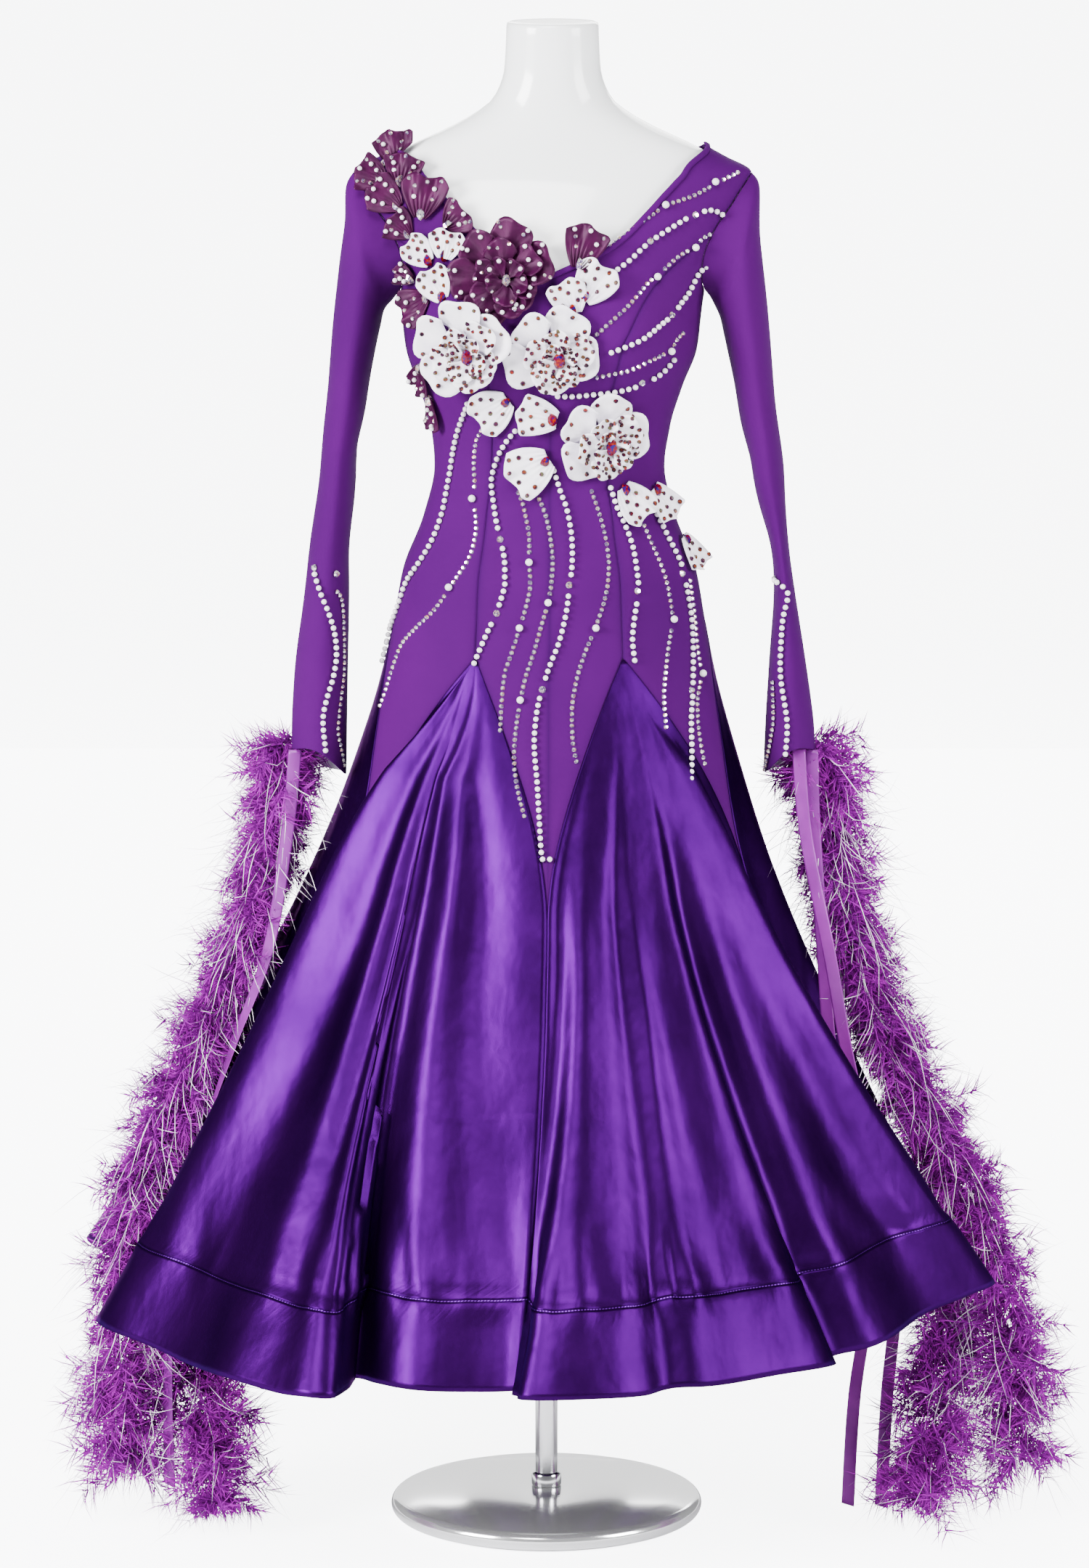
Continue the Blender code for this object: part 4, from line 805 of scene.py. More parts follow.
@dataclass(frozen=True)
class PhotoCamera:
    """The camera at the photograph's viewing angle.

    Attributes:
        place: Where it stands.
        pitch: Degrees below the horizon.
        focal: Focal length in pixels of the full picture.
        middle: The picture's centre in pixels.
        sensor: Height of the sensor in mm, which takes the picture's height.
    """

    place: tuple[float, float, float] = (-0.002, -7.5, 2.108)
    pitch: float = 10.16
    focal: float = 10345.0
    middle: Pixel = (750.0, 1080.0)
    sensor: float = 36.0

    def project(self, points: Array) -> Array:
        """Pixels of points.

        Args:
            points: The points.

        Returns:
            The pixels.
        """
        c = cos(radians(self.pitch))
        s = sin(radians(self.pitch))
        away = points - np.array(self.place)
        depth = away[..., 1] * c - away[..., 2] * s
        up = away[..., 2] * c + away[..., 1] * s
        return np.stack([
            self.middle[0] + self.focal * away[..., 0] / depth,
            self.middle[1] - self.focal * up / depth,
        ], axis=-1)

    def find(self, surface: SurfaceFunction, u: Array, v: Array, pixels: Array) -> Array:
        """The (u, v) places of a surface that lie behind some pixels.

        Args:
            surface: The surface's function.
            u: Values of the first parameter to search.
            v: Values of the second parameter to search.
            pixels: Pixels, as an array of (count, 2).

        Returns:
            An array of (count, 2) of u and v.
        """
        grid_u, grid_v = np.meshgrid(u, v)
        near = self.project(surface(grid_u.ravel(), grid_v.ravel()))
        found = []
        for pixel in pixels:
            i = int(np.argmin(((near - pixel) ** 2).sum(axis=1)))
            found.append((grid_u.ravel()[i], grid_v.ravel()[i]))
        places = np.array(found)
        du = 0.25 * (u[1] - u[0])
        dv = 0.25 * (v[1] - v[0])
        for _round in range(4):
            a, b = places.T
            here = self.project(surface(a, b))
            by_u = (self.project(surface(a + du, b)) - here) / du
            by_v = (self.project(surface(a, b + dv)) - here) / dv
            miss = pixels - here
            det = by_u[:, 0] * by_v[:, 1] - by_u[:, 1] * by_v[:, 0]
            det = np.where(np.abs(det) < 1e-3, np.inf, det)
            step_u = (miss[:, 0] * by_v[:, 1] - miss[:, 1] * by_v[:, 0]) / det
            step_v = (by_u[:, 0] * miss[:, 1] - by_u[:, 1] * miss[:, 0]) / det
            step_u = np.clip(step_u, -8.0 * du, 8.0 * du)
            step_v = np.clip(step_v, -8.0 * dv, 8.0 * dv)
            places = places + np.stack([step_u, step_v], axis=1)
        return places

    def make(self) -> None:
        """Create the camera."""
        data = bpy.data.cameras.new("camera")
        data.lens = self.focal * self.sensor / (2.0 * self.middle[1])
        data.sensor_width = self.sensor
        data.clip_end = 100.0
        camera = linked("camera", data)
        camera.location = self.place
        camera.rotation_euler = Euler((radians(90.0 - self.pitch), 0.0, 0.0))
        bpy.context.scene.camera = camera


CAMERA = PhotoCamera()


@dataclass
class NodeBench:
    """A material's or group's node tree with short calls to add and join nodes."""

    tree: bpy.types.NodeTree

    def add(self, kind: str, **values: object) -> Node:
        """Add a node and set its properties.

        Args:
            kind: The node's type.
            values: Its properties by name.

        Returns:
            The node.
        """
        node = self.tree.nodes.new(kind)
        for name, value in values.items():
            setattr(node, name, value)
        return node

    def join(self, source: object, target: Socket) -> None:
        """Give an input another node's output or a plain value.

        Args:
            source: The output or the value.
            target: The input.
        """
        if isinstance(source, Socket):
            self.tree.links.new(source, target)
        else:
            target.default_value = source

    def made(self, kind: str, sources: dict[int | str, object], output: int | str = 0,
             **values: object) -> Socket:
        """Add a node and fill its inputs.

        Args:
            kind: The node's type.
            sources: Outputs or values for its inputs, by name or number.
            output: The output that is wanted.
            values: Its properties by name.

        Returns:
            The output.
        """
        node = self.add(kind, **values)
        for key, source in sources.items():
            self.join(source, node.inputs[key])
        return node.outputs[output]

    def maths(self, operation: str, first: object, second: object = 0.0) -> Socket:
        """Work out a number from one or two others, each a socket or a value."""
        return self.made("ShaderNodeMath", {0: first, 1: second}, operation=operation)

    def blend(self, factor: object, first: object, second: object) -> Socket:
        """Mix two colours, each a socket or a value."""
        return self.made("ShaderNodeMix", {0: factor, 6: first, 7: second}, 2, data_type="RGBA")

    def ramp(self, value: Socket, low: float, high: float) -> Socket:
        """An eased step from 0 at one value to 1 at another."""
        limits = {"Value": value, "From Min": low, "From Max": high}
        return self.made("ShaderNodeMapRange", limits, interpolation_type="SMOOTHSTEP")

    def noise(self, where: Socket, scale: object, detail: float = 2.0,
              roughness: float = 0.5) -> Socket:
        """A noise texture's value at a place."""
        return self.made("ShaderNodeTexNoise", {
            "Vector": where, "Scale": scale, "Detail": detail, "Roughness": roughness})

    def parts(self, vector: Socket) -> list[Socket]:
        """The three numbers of a vector.

        Args:
            vector: The vector.

        Returns:
            The numbers.
        """
        node = self.add("ShaderNodeSeparateXYZ")
        self.join(vector, node.inputs[0])
        return list(node.outputs)

    def vector(self, x: object, y: object, z: object = 0.0) -> Socket:
        """A vector of three numbers."""
        return self.made("ShaderNodeCombineXYZ", {0: x, 1: y, 2: z})


def colour(red: float, green: float, blue: float) -> Colour:
    """A colour with full alpha."""
    return (red, green, blue, 1.0)


class NodeGroups:
    """Shader effects that several finishes share, each built once."""

    made: dict[str, bpy.types.NodeTree] = {}

    @classmethod
    def start(cls, name: str, output: str, **inputs: float) -> tuple[NodeBench, Node, Node]:
        """Make a group's tree with a vector input, number inputs and one output.

        Args:
            name: The group's name.
            output: Name of its output.
            inputs: Name and default of each number that it takes.

        Returns:
            The bench, the group's input node and its output node.
        """
        tree = bpy.data.node_groups.new(name, "ShaderNodeTree")
        tree.interface.new_socket("Vector", in_out="INPUT", socket_type="NodeSocketVector")
        for label, value in inputs.items():
            tree.interface.new_socket(
                label, in_out="INPUT", socket_type="NodeSocketFloat").default_value = value
        tree.interface.new_socket(output, in_out="OUTPUT", socket_type="NodeSocketFloat")
        bench = NodeBench(tree)
        cls.made[name] = tree
        return bench, bench.add("NodeGroupInput"), bench.add("NodeGroupOutput")

    @classmethod
    def grain(cls) -> bpy.types.NodeTree:
        """Fine ribs of a knit or the floats of a satin, with uneven thread heights.

        Returns:
            The group.
        """
        if "thread_grain" not in cls.made:
            bench, given, result = cls.start("thread_grain", "Height", Pitch=900.0, Stretch=1.0)
            across, along, out = bench.parts(given.outputs["Vector"])
            across = bench.maths("MULTIPLY", across, given.outputs["Stretch"])
            place = bench.vector(across, along, out)
            threads = bench.noise(place, given.outputs["Pitch"], roughness=0.6)
            bench.join(threads, result.inputs["Height"])
        return cls.made["thread_grain"]

    @classmethod
    def cloud(cls) -> bpy.types.NodeTree:
        """Broad soft patches of another tone: uneven colour, and on the satin painted mottling of
        its sheen.

        Returns:
            The group.
        """
        if "soft_patches" not in cls.made:
            bench, given, result = cls.start("soft_patches", "Mask", Scale=9.0)
            patches = bench.noise(given.outputs["Vector"], given.outputs["Scale"], 4.0)
            bench.join(bench.ramp(patches, 0.35, 0.68), result.inputs["Mask"])
        return cls.made["soft_patches"]


MADE_FINISHES: dict[str, bpy.types.Material] = {}


@dataclass(frozen=True)
class Finish:
    """A material made from one Principled shader and what varies over it.

    Attributes:
        name: The material's name.
        base: Base colour.
        shade: Colour of the patches and of the painted shade along seams, edges, the hem's stitched
            line and the feathers' roots.
        roughness: Roughness of the surface.
        metallic: Metallic value.
        coat: Coat weight.
        coat_roughness: Roughness of the coat.
        specular: Specular level.
        anisotropic: Stretch of the highlight.
        edge: Tint of the reflection where the surface turns away.
        bump: Strength of the grain's bump.
        grain: Depth of the thread grain in metres.
        pitch: Scale of the grain.
        stretch: Stretch of the grain across.
        patch: How much the patches show.
        patch_scale: Scale of the patches.
        seam: How much painted shade darkens the cloth along its seams and side edges, read from the
            piece's seam attribute.
    """

    name: str
    base: Colour
    shade: Colour
    roughness: float = 0.5
    metallic: float = 0.0
    coat: float = 0.0
    coat_roughness: float = 0.06
    specular: float = 0.5
    anisotropic: float = 0.0
    edge: Colour = (1.0, 1.0, 1.0, 1.0)
    bump: float = 0.6
    grain: float = 0.0
    pitch: float = 900.0
    stretch: float = 1.0
    patch: float = 0.4
    patch_scale: float = 9.0
    seam: float = 0.0

    def make(self) -> bpy.types.Material:
        """Build the material, unless it is built.

        Returns:
            The material.
        """
        if self.name not in MADE_FINISHES:
            material = bpy.data.materials.new(self.name)
            MADE_FINISHES[self.name] = material
            material.use_nodes = True
            tree = material.node_tree
            self.dress(NodeBench(tree), tree.nodes["Principled BSDF"])
        return MADE_FINISHES[self.name]

    def dress(self, bench: NodeBench, shader: Node) -> None:
        """Set the shader's sockets and join what varies.

        Args:
            bench: The material's bench.
            shader: Its Principled shader.
        """
        where = bench.add("ShaderNodeTexCoord")
        patches = {"Vector": where.outputs["Object"], "Scale": self.patch_scale}
        mask = bench.made("ShaderNodeGroup", patches, "Mask", node_tree=NodeGroups.cloud())
        tint = bench.blend(bench.maths("MULTIPLY", mask, self.patch), self.base, self.shade)
        # Painted shade along seams and side edges: darken towards the shade colour by the seam
        # attribute.
        if self.seam > 0.0:
            near = bench.add("ShaderNodeAttribute", attribute_name="seam")
            painted_shade = bench.maths("MULTIPLY", near.outputs["Fac"], self.seam)
            tint = bench.blend(painted_shade, tint, self.shade)
        sources = {
            "Base Color": self.pattern(bench, where, tint), "Roughness": self.roughness,
            "Metallic": self.metallic, "Coat Weight": self.coat,
            "Coat Roughness": self.coat_roughness, "Specular IOR Level": self.specular,
            "Anisotropic": self.anisotropic, "Specular Tint": self.edge,
        }
        height = self.height(bench, where)
        if height is not None:
            sources["Normal"] = bench.made("ShaderNodeBump", {
                "Strength": self.bump, "Distance": self.grain, "Height": height})
        for name, source in sources.items():
            bench.join(source, shader.inputs[name])

    def pattern(self, bench: NodeBench, where: Node, tint: Socket) -> Socket:
        """Add what the finish draws over its colour; plain finishes add nothing."""
        return tint

    def height(self, bench: NodeBench, where: Node) -> Socket | None:
        """The height of the finish's grain.

        Args:
            bench: The material's bench.
            where: Its texture coordinates.

        Returns:
            The height, or None for a smooth finish.
        """
        if self.grain <= 0.0:
            return None
        threads = {"Vector": where.outputs["UV"], "Pitch": self.pitch, "Stretch": self.stretch}
        return bench.made("ShaderNodeGroup", threads, "Height", node_tree=NodeGroups.grain())


@dataclass(frozen=True)
class HemSatin(Finish):
    """Satin with a deep hem: its UV runs in metres, the second from the hem up.

    Attributes:
        hem_depth: Distance of the stitched line from the hem.
        stitch: Length of a stitch.
        stitch_colour: Colour of its thread.
        soft: Scales of the cloth's broad unevenness along each axis.
    """

    hem_depth: float = HEM_DEPTH
    stitch: float = 0.0032
    stitch_colour: Colour = (0.20, 0.03, 0.48, 1.0)
    soft: tuple[float, float, float] = (20.0, 20.0, 11.0)

    def line(self, bench: NodeBench, up: Socket, half: float) -> Socket:
        """A mask that is 1 on the stitched line and 0 from some half width away."""
        away = bench.maths("ABSOLUTE", bench.maths("SUBTRACT", up, self.hem_depth))
        return bench.ramp(away, half, 0.25 * half)

    def pattern(self, bench: NodeBench, where: Node, tint: Socket) -> Socket:
        """Paint shade in a band along the sunk stitched line and draw its stitches.

        Args:
            bench: The material's bench.
            where: Its texture coordinates.
            tint: The colour below.

        Returns:
            The colour with the line's painted shade and its stitches.
        """
        along, up, _out = bench.parts(where.outputs["UV"])
        beat = bench.maths("SINE", bench.maths("MULTIPLY", along, 2.0 * pi / self.stitch))
        gap = bench.maths("GREATER_THAN", beat, -0.3)
        thread = bench.maths("MULTIPLY", self.line(bench, up, 0.0007), gap)
        # Painted shade in the groove of the sunk stitched line.
        painted_shade = bench.maths("MULTIPLY", self.line(bench, up, 0.0042), 0.85)
        tint = bench.blend(painted_shade, tint, self.shade)
        return bench.blend(bench.maths("MULTIPLY", thread, 0.5), tint, self.stitch_colour)

    def height(self, bench: NodeBench, where: Node) -> Socket | None:
        """Thread grain with a sunk stitched line and small puckers beside it.

        Args:
            bench: The material's bench.
            where: Its texture coordinates.

        Returns:
            The height, in shares of the grain's depth.
        """
        along, up, _out = bench.parts(where.outputs["UV"])
        sunk = bench.maths("MULTIPLY", self.line(bench, up, 0.0030), -6.0)
        spread = bench.vector(bench.maths("MULTIPLY", along, 120.0),
                              bench.maths("MULTIPLY", up, 14.0))
        near = self.line(bench, up, 0.030)
        ripple = bench.maths("MULTIPLY", bench.noise(spread, 1.0), near)
        pucker = bench.maths("MULTIPLY", ripple, 5.0)
        wide = bench.made("ShaderNodeMapping", {
            "Vector": where.outputs["Object"], "Scale": self.soft})
        soft = bench.maths("MULTIPLY", bench.noise(wide, 1.0, 3.0, 0.45), 44.0)
        fine = bench.maths("ADD", bench.maths("ADD", super().height(bench, where), sunk), pucker)
        return bench.maths("ADD", fine, soft)


@dataclass(frozen=True)
class FeatherFinish(Finish):
    """Feather barbs: the UV's first number is the kind, the second runs from root to tip.

    Attributes:
        white: Colour of the long barbs' tips.
    """

    white: Colour = (0.92, 0.86, 0.94, 1.0)

    def pattern(self, bench: NodeBench, where: Node, tint: Socket) -> Socket:
        """Painted shade deep at the roots, fading towards the plain colour at the tips, and white
        tips on the long barbs.

        Args:
            bench: The material's bench.
            where: Its texture coordinates.
            tint: The colour below.

        Returns:
            The barbs' colour.
        """
        kind, along, _out = bench.parts(where.outputs["UV"])
        # Painted shade inside the boa: each barb darkens towards its root.
        root = bench.maths("MULTIPLY", bench.maths("SUBTRACT", 1.0, along), 0.8)
        tint = bench.blend(root, tint, self.shade)
        long = bench.maths("GREATER_THAN", kind, 0.5)
        tip = bench.maths("MULTIPLY", bench.ramp(along, 0.35, 0.80), long)
        return bench.blend(tip, tint, self.white)


@dataclass(frozen=True)
class StudioPaper(Finish):
    """White paper that the camera sees burnt out, as over a lit studio floor.

    Attributes:
        glow: Strength of the glow that only the camera sees.
        glow_colour: Colour of the glow.
    """

    glow: float = 7.0
    glow_colour: Colour = (0.97, 0.98, 1.0, 1.0)

    def dress(self, bench: NodeBench, shader: Node) -> None:
        """Add the glow to the plain paper.

        Args:
            bench: The material's bench.
            shader: Its Principled shader.
        """
        super().dress(bench, shader)
        path = bench.add("ShaderNodeLightPath")
        seen = bench.maths("MULTIPLY", path.outputs["Is Camera Ray"], self.glow)
        bench.join(self.glow_colour, shader.inputs["Emission Color"])
        bench.join(seen, shader.inputs["Emission Strength"])


@dataclass(frozen=True)
class GemFinish(Finish):
    """Foiled stones whose facets carry painted glints and reflections in a few colours.

    Attributes:
        glint_tints: Colours of the painted glints and reflections of the facets.
        cells: Scale of the cells that flash.
        rare: Share of the cells that keep the colour below a tint.
    """

    glint_tints: tuple[Colour, ...] = ()
    cells: float = 520.0
    rare: float = 0.58

    def pattern(self, bench: NodeBench, where: Node, tint: Socket) -> Socket:
        """Painted glints and reflections: give each small cell of space one of a few colours.

        Args:
            bench: The material's bench.
            where: Its texture coordinates.
            tint: The colour below.

        Returns:
            The stones' colour with its painted glints.
        """
        cell = bench.made("ShaderNodeTexVoronoi", {
            "Vector": where.outputs["Object"], "Scale": self.cells}, "Color", feature="F1")
        split = bench.add("ShaderNodeSeparateColor")
        bench.join(cell, split.inputs[0])
        # Painted glints and reflections of the facets, one colour for each cell.
        for i, other in enumerate(self.glint_tints):
            pick = bench.maths("GREATER_THAN", split.outputs[i % 3], self.rare)
            tint = bench.blend(pick, tint, other)
        return tint


# Each finish's seam sets how much painted shade darkens its pieces along seams and side edges.
JERSEY = Finish(
    "purple_jersey", colour(0.048, 0.0002, 0.078), colour(0.022, 0.0001, 0.044), 0.80,
    grain=0.00018, pitch=1400.0, stretch=1.8, patch=0.30, patch_scale=6.0, seam=0.75,
    specular=0.04,
)
LINING = Finish(
    "white_lining", colour(0.72, 0.66, 0.78), colour(0.60, 0.52, 0.68), 0.6,
    grain=0.0001, pitch=1200.0, patch=0.3, specular=0.3,
)
# Its darker patches are painted mottling of the satin's sheen.
SATIN = HemSatin(
    "violet_satin", colour(0.027, 0.0001, 0.062), colour(0.006, 0.0000, 0.017), 0.35,
    metallic=0.90, grain=0.00010, pitch=700.0, stretch=3.0, patch=0.55, patch_scale=7.0,
    seam=0.7, specular=0.05, edge=colour(0.42, 0.05, 0.50),
)
PLUM = Finish(
    "plum_petal_satin", colour(0.042, 0.0006, 0.030), colour(0.013, 0.0002, 0.011), 0.42,
    grain=0.00016, pitch=900.0, stretch=2.5, patch=0.55, patch_scale=70.0, seam=0.3,
    specular=0.15, metallic=0.25,
)
WHITE = Finish(
    "white_petal_satin", colour(0.84, 0.81, 0.87), colour(0.68, 0.62, 0.76), 0.45,
    grain=0.00014, pitch=900.0, stretch=2.0, patch=0.5, patch_scale=60.0, seam=0.15,
    specular=0.35,
)
RIBBON = Finish(
    "orchid_ribbon", colour(0.220, 0.014, 0.270), colour(0.110, 0.005, 0.150), 0.33,
    grain=0.00008, pitch=1500.0, stretch=4.0, patch=0.5, patch_scale=24.0, specular=0.35,
    metallic=0.2, anisotropic=0.4,
)
# Its shade colour is the painted shade at the barbs' roots as well as the colour of its patches.
FEATHER = FeatherFinish(
    "boa_feather", colour(0.430, 0.001, 0.480), colour(0.085, 0.0002, 0.120), 0.85,
    patch=0.35, patch_scale=30.0, specular=0.08,
)
FORM = Finish(
    "gloss_white_form", colour(0.93, 0.94, 0.95), colour(0.90, 0.91, 0.93), 0.18,
    coat=0.4, patch=0.3, patch_scale=3.0,
)
CHROME = Finish(
    "stand_chrome", colour(0.78, 0.78, 0.80), colour(0.70, 0.70, 0.73), 0.13,
    metallic=1.0, patch=0.5, patch_scale=12.0,
)
BASE_METAL = Finish(
    "base_metal", colour(0.97, 0.97, 0.98), colour(0.93, 0.93, 0.95), 0.15,
    metallic=0.85, coat=0.3, patch=0.4, patch_scale=6.0, specular=0.6,
)
PEARL = Finish(
    "pearl", colour(0.80, 0.76, 0.80), colour(0.66, 0.58, 0.68), 0.20,
    coat=0.6, patch=0.6, patch_scale=260.0,
)
CLEAR_GEM = GemFinish(
    "clear_stone", colour(0.80, 0.76, 0.82), colour(0.42, 0.32, 0.46), 0.07, metallic=0.75,
    patch=0.5, patch_scale=500.0,
    glint_tints=(colour(0.85, 0.45, 0.36), colour(0.25, 0.18, 0.36), colour(0.95, 0.92, 0.86)),
)
RED_GEM = GemFinish(
    "red_stone", colour(0.07, 0.001, 0.006), colour(0.02, 0.001, 0.008), 0.22, specular=0.2,
    patch=0.5, patch_scale=500.0,
    glint_tints=(colour(0.12, 0.022, 0.003), colour(0.03, 0.002, 0.022), colour(0.012, 0.002, 0.008)),
)
AMBER_GEM = GemFinish(
    "amber_stone", colour(0.10, 0.034, 0.007), colour(0.04, 0.012, 0.004), 0.22, specular=0.2,
    patch=0.5, patch_scale=500.0,
    glint_tints=(colour(0.19, 0.015, 0.010), colour(0.07, 0.06, 0.03), colour(0.04, 0.007, 0.025)),
)
RAINBOW_GEM = GemFinish(
    "rainbow_stone", colour(0.10, 0.0004, 0.004), colour(0.03, 0.0005, 0.04), 0.12,
    specular=0.2, patch=0.5, patch_scale=300.0,
    glint_tints=(colour(0.20, 0.014, 0.0005), colour(0.012, 0.001, 0.10), colour(0.11, 0.0005, 0.012)),
)
GEM_FINISHES = {
    StoneKind.PEARL: PEARL, StoneKind.CLEAR: CLEAR_GEM, StoneKind.RED: RED_GEM,
    StoneKind.AMBER: AMBER_GEM, StoneKind.RAINBOW: RAINBOW_GEM,
}
FLOOR_PAPER = StudioPaper(
    "floor_paper", colour(0.86, 0.86, 0.88), colour(0.84, 0.84, 0.86), 0.9,
    patch=0.3, patch_scale=0.5,
)


def linked(name: str, data: bpy.types.ID) -> Piece:
    """Make an object of a mesh, lamp or camera and link it to the scene.

    Args:
        name: Its name.
        data: The mesh, lamp or camera.

    Returns:
        The object.
    """
    made = bpy.data.objects.new(name, data)
    bpy.context.scene.collection.objects.link(made)
    return made


def mesh_of(work: bmesh.types.BMesh, name: str) -> bpy.types.Mesh:
    """Turn a bmesh into a mesh and free it.

    Args:
        work: The bmesh.
        name: The mesh's name.

    Returns:
        The mesh.
    """
    mesh = bpy.data.meshes.new(name)
    work.to_mesh(mesh)
    work.free()
    return mesh


@dataclass
class ClothMaker:
    """Makes smooth pieces from a bmesh grid whose vertices are moved onto a surface.

    Attributes:
        thickness: Wall of the cloth.
        seam_shade: Distance from a seam or side edge over which its painted shade fades.
    """

    thickness: float = 0.0011
    seam_shade: float = 0.0028

    def grid(self, name: str, columns: int, rows: int, place: SurfaceFunction,
             ring: bool = False, centre: Callable[[Array], Array] | None = None,
             ) -> Piece:
        """Make a grid on a surface, with UVs in metres and a seam attribute.

        Args:
            name: The object's name.
            columns: Steps across.
            rows: Steps along.
            place: Gives points from u (0 to 1 across) and v (0 to 1 along).
            ring: True if the last column meets the first.
            centre: Gives the inside places that the faces look away from.

        Returns:
            The new object.
        """
        work = bmesh.new()
        bmesh.ops.create_grid(work, x_segments=columns, y_segments=rows, size=0.5)
        mesh = mesh_of(work, name)
        flat = np.empty(3 * len(mesh.vertices))
        mesh.vertices.foreach_get("co", flat)
        flat = flat.reshape(-1, 3)
        column = np.rint((flat[:, 0] + 0.5) * columns).astype(int)
        row = np.rint((flat[:, 1] + 0.5) * rows).astype(int)
        points = place(column / columns, row / rows)
        mesh.vertices.foreach_set("co", np.asarray(points, float).ravel())
        self.measure(mesh, points, column, row, ring)
        self.face_out(mesh, points, centre, ring)
        mesh.shade_smooth()
        return linked(name, mesh)

    def measure(self, mesh: bpy.types.Mesh, points: Array, column: Array, row: Array,
                ring: bool) -> None:
        """Write the UVs in metres, from the last row up, and the seam attribute that sets the
        painted shade.

        Args:
            mesh: The grid's mesh.
            points: Places of its vertices.
            column: Column of each vertex.
            row: Row of each vertex.
            ring: True for a tube, which has no seam.
        """
        rows = int(row.max())
        columns = int(column.max())
        table = np.zeros((rows + 1, columns + 1, 3))
        table[row, column] = points
        across = np.linalg.norm(np.diff(table, axis=1), axis=2)
        along = np.linalg.norm(np.diff(table, axis=0), axis=2)
        u = np.concatenate([np.zeros((rows + 1, 1)), np.cumsum(across, axis=1)], axis=1)
        down = np.concatenate([np.zeros((1, columns + 1)), np.cumsum(along, axis=0)], axis=0)
        up = down[-1:] - down
        edge = np.ones(u.shape) if ring else np.minimum(u, u[:, -1:] - u)
        # Painted shade: 1 at the grid's side edges, fading inwards; the finishes darken by it.
        near = np.exp(-edge / self.seam_shade)
        corner = np.empty(len(mesh.loops), int)
        mesh.loops.foreach_get("vertex_index", corner)
        layer = mesh.uv_layers.new(name="UVMap")
        values = np.stack([u[row, column], up[row, column]], axis=1)[corner]
        layer.data.foreach_set("uv", values.ravel())
        seam = mesh.attributes.new("seam", "FLOAT", "POINT")
        seam.data.foreach_set("value", near[row, column])

    def face_out(self, mesh: bpy.types.Mesh, points: Array,
                 centre: Callable[[Array], Array] | None, ring: bool) -> None:
        """Turn the faces outwards and close a ring.

        Args:
            mesh: The piece's mesh.
            points: Places of its vertices.
            centre: Gives the inside places that the faces look away from.
            ring: True for a tube.
        """
        inside = points * UP if centre is None else centre(points)
        normals = np.empty(3 * len(mesh.vertices))
        mesh.vertices.foreach_get("normal", normals)
        away = (normals.reshape(-1, 3) * (points - inside)).sum()
        work = bmesh.new()
        work.from_mesh(mesh)
        if away < 0.0:
            bmesh.ops.reverse_faces(work, faces=work.faces)
        if ring:
            bmesh.ops.remove_doubles(work, verts=work.verts, dist=1e-6)
        work.to_mesh(mesh)
        work.free()

    def wall(self, piece: Piece, finish: Finish, lining: Finish | None = None,
             thickness: float | None = None) -> None:
        """Give a sheet its thickness on the inner side and its finishes.

        Args:
            piece: The sheet.
            finish: Finish of its outer side and rim.
            lining: Finish of its inner side, if it is another.
            thickness: Its wall, if it isn't the usual one.
        """
        solid = piece.modifiers.new("wall", "SOLIDIFY")
        solid.thickness = self.thickness if thickness is None else thickness
        solid.offset = -1.0
        piece.data.materials.append(finish.make())
        if lining is not None:
            piece.data.materials.append(lining.make())
            solid.material_offset = 1
            solid.material_offset_rim = 0

    def joined(self, name: str, parts: list[Piece]) -> Piece:
        """Join parts into one mesh, along the vertices that they share.

        Args:
            name: The piece's name.
            parts: The parts, which are removed.

        Returns:
            The piece.
        """
        work = bmesh.new()
        for part in parts:
            work.from_mesh(part.data)
            bpy.data.objects.remove(part)
        bmesh.ops.remove_doubles(work, verts=work.verts, dist=2e-6)
        mesh = mesh_of(work, name)
        mesh.shade_smooth()
        return linked(name, mesh)


CLOTH = ClothMaker()


def stand_for(piece: Piece, slot: str, *nodes: str) -> None:
    """Let a piece ride on the gown's body and stand for its CAD nodes.

    Args:
        piece: The piece.
        slot: Name of its colour slot; not used.
        nodes: The CAD nodes that it stands for.
    """
    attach(piece, "root")
    if nodes:
        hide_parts(*nodes)


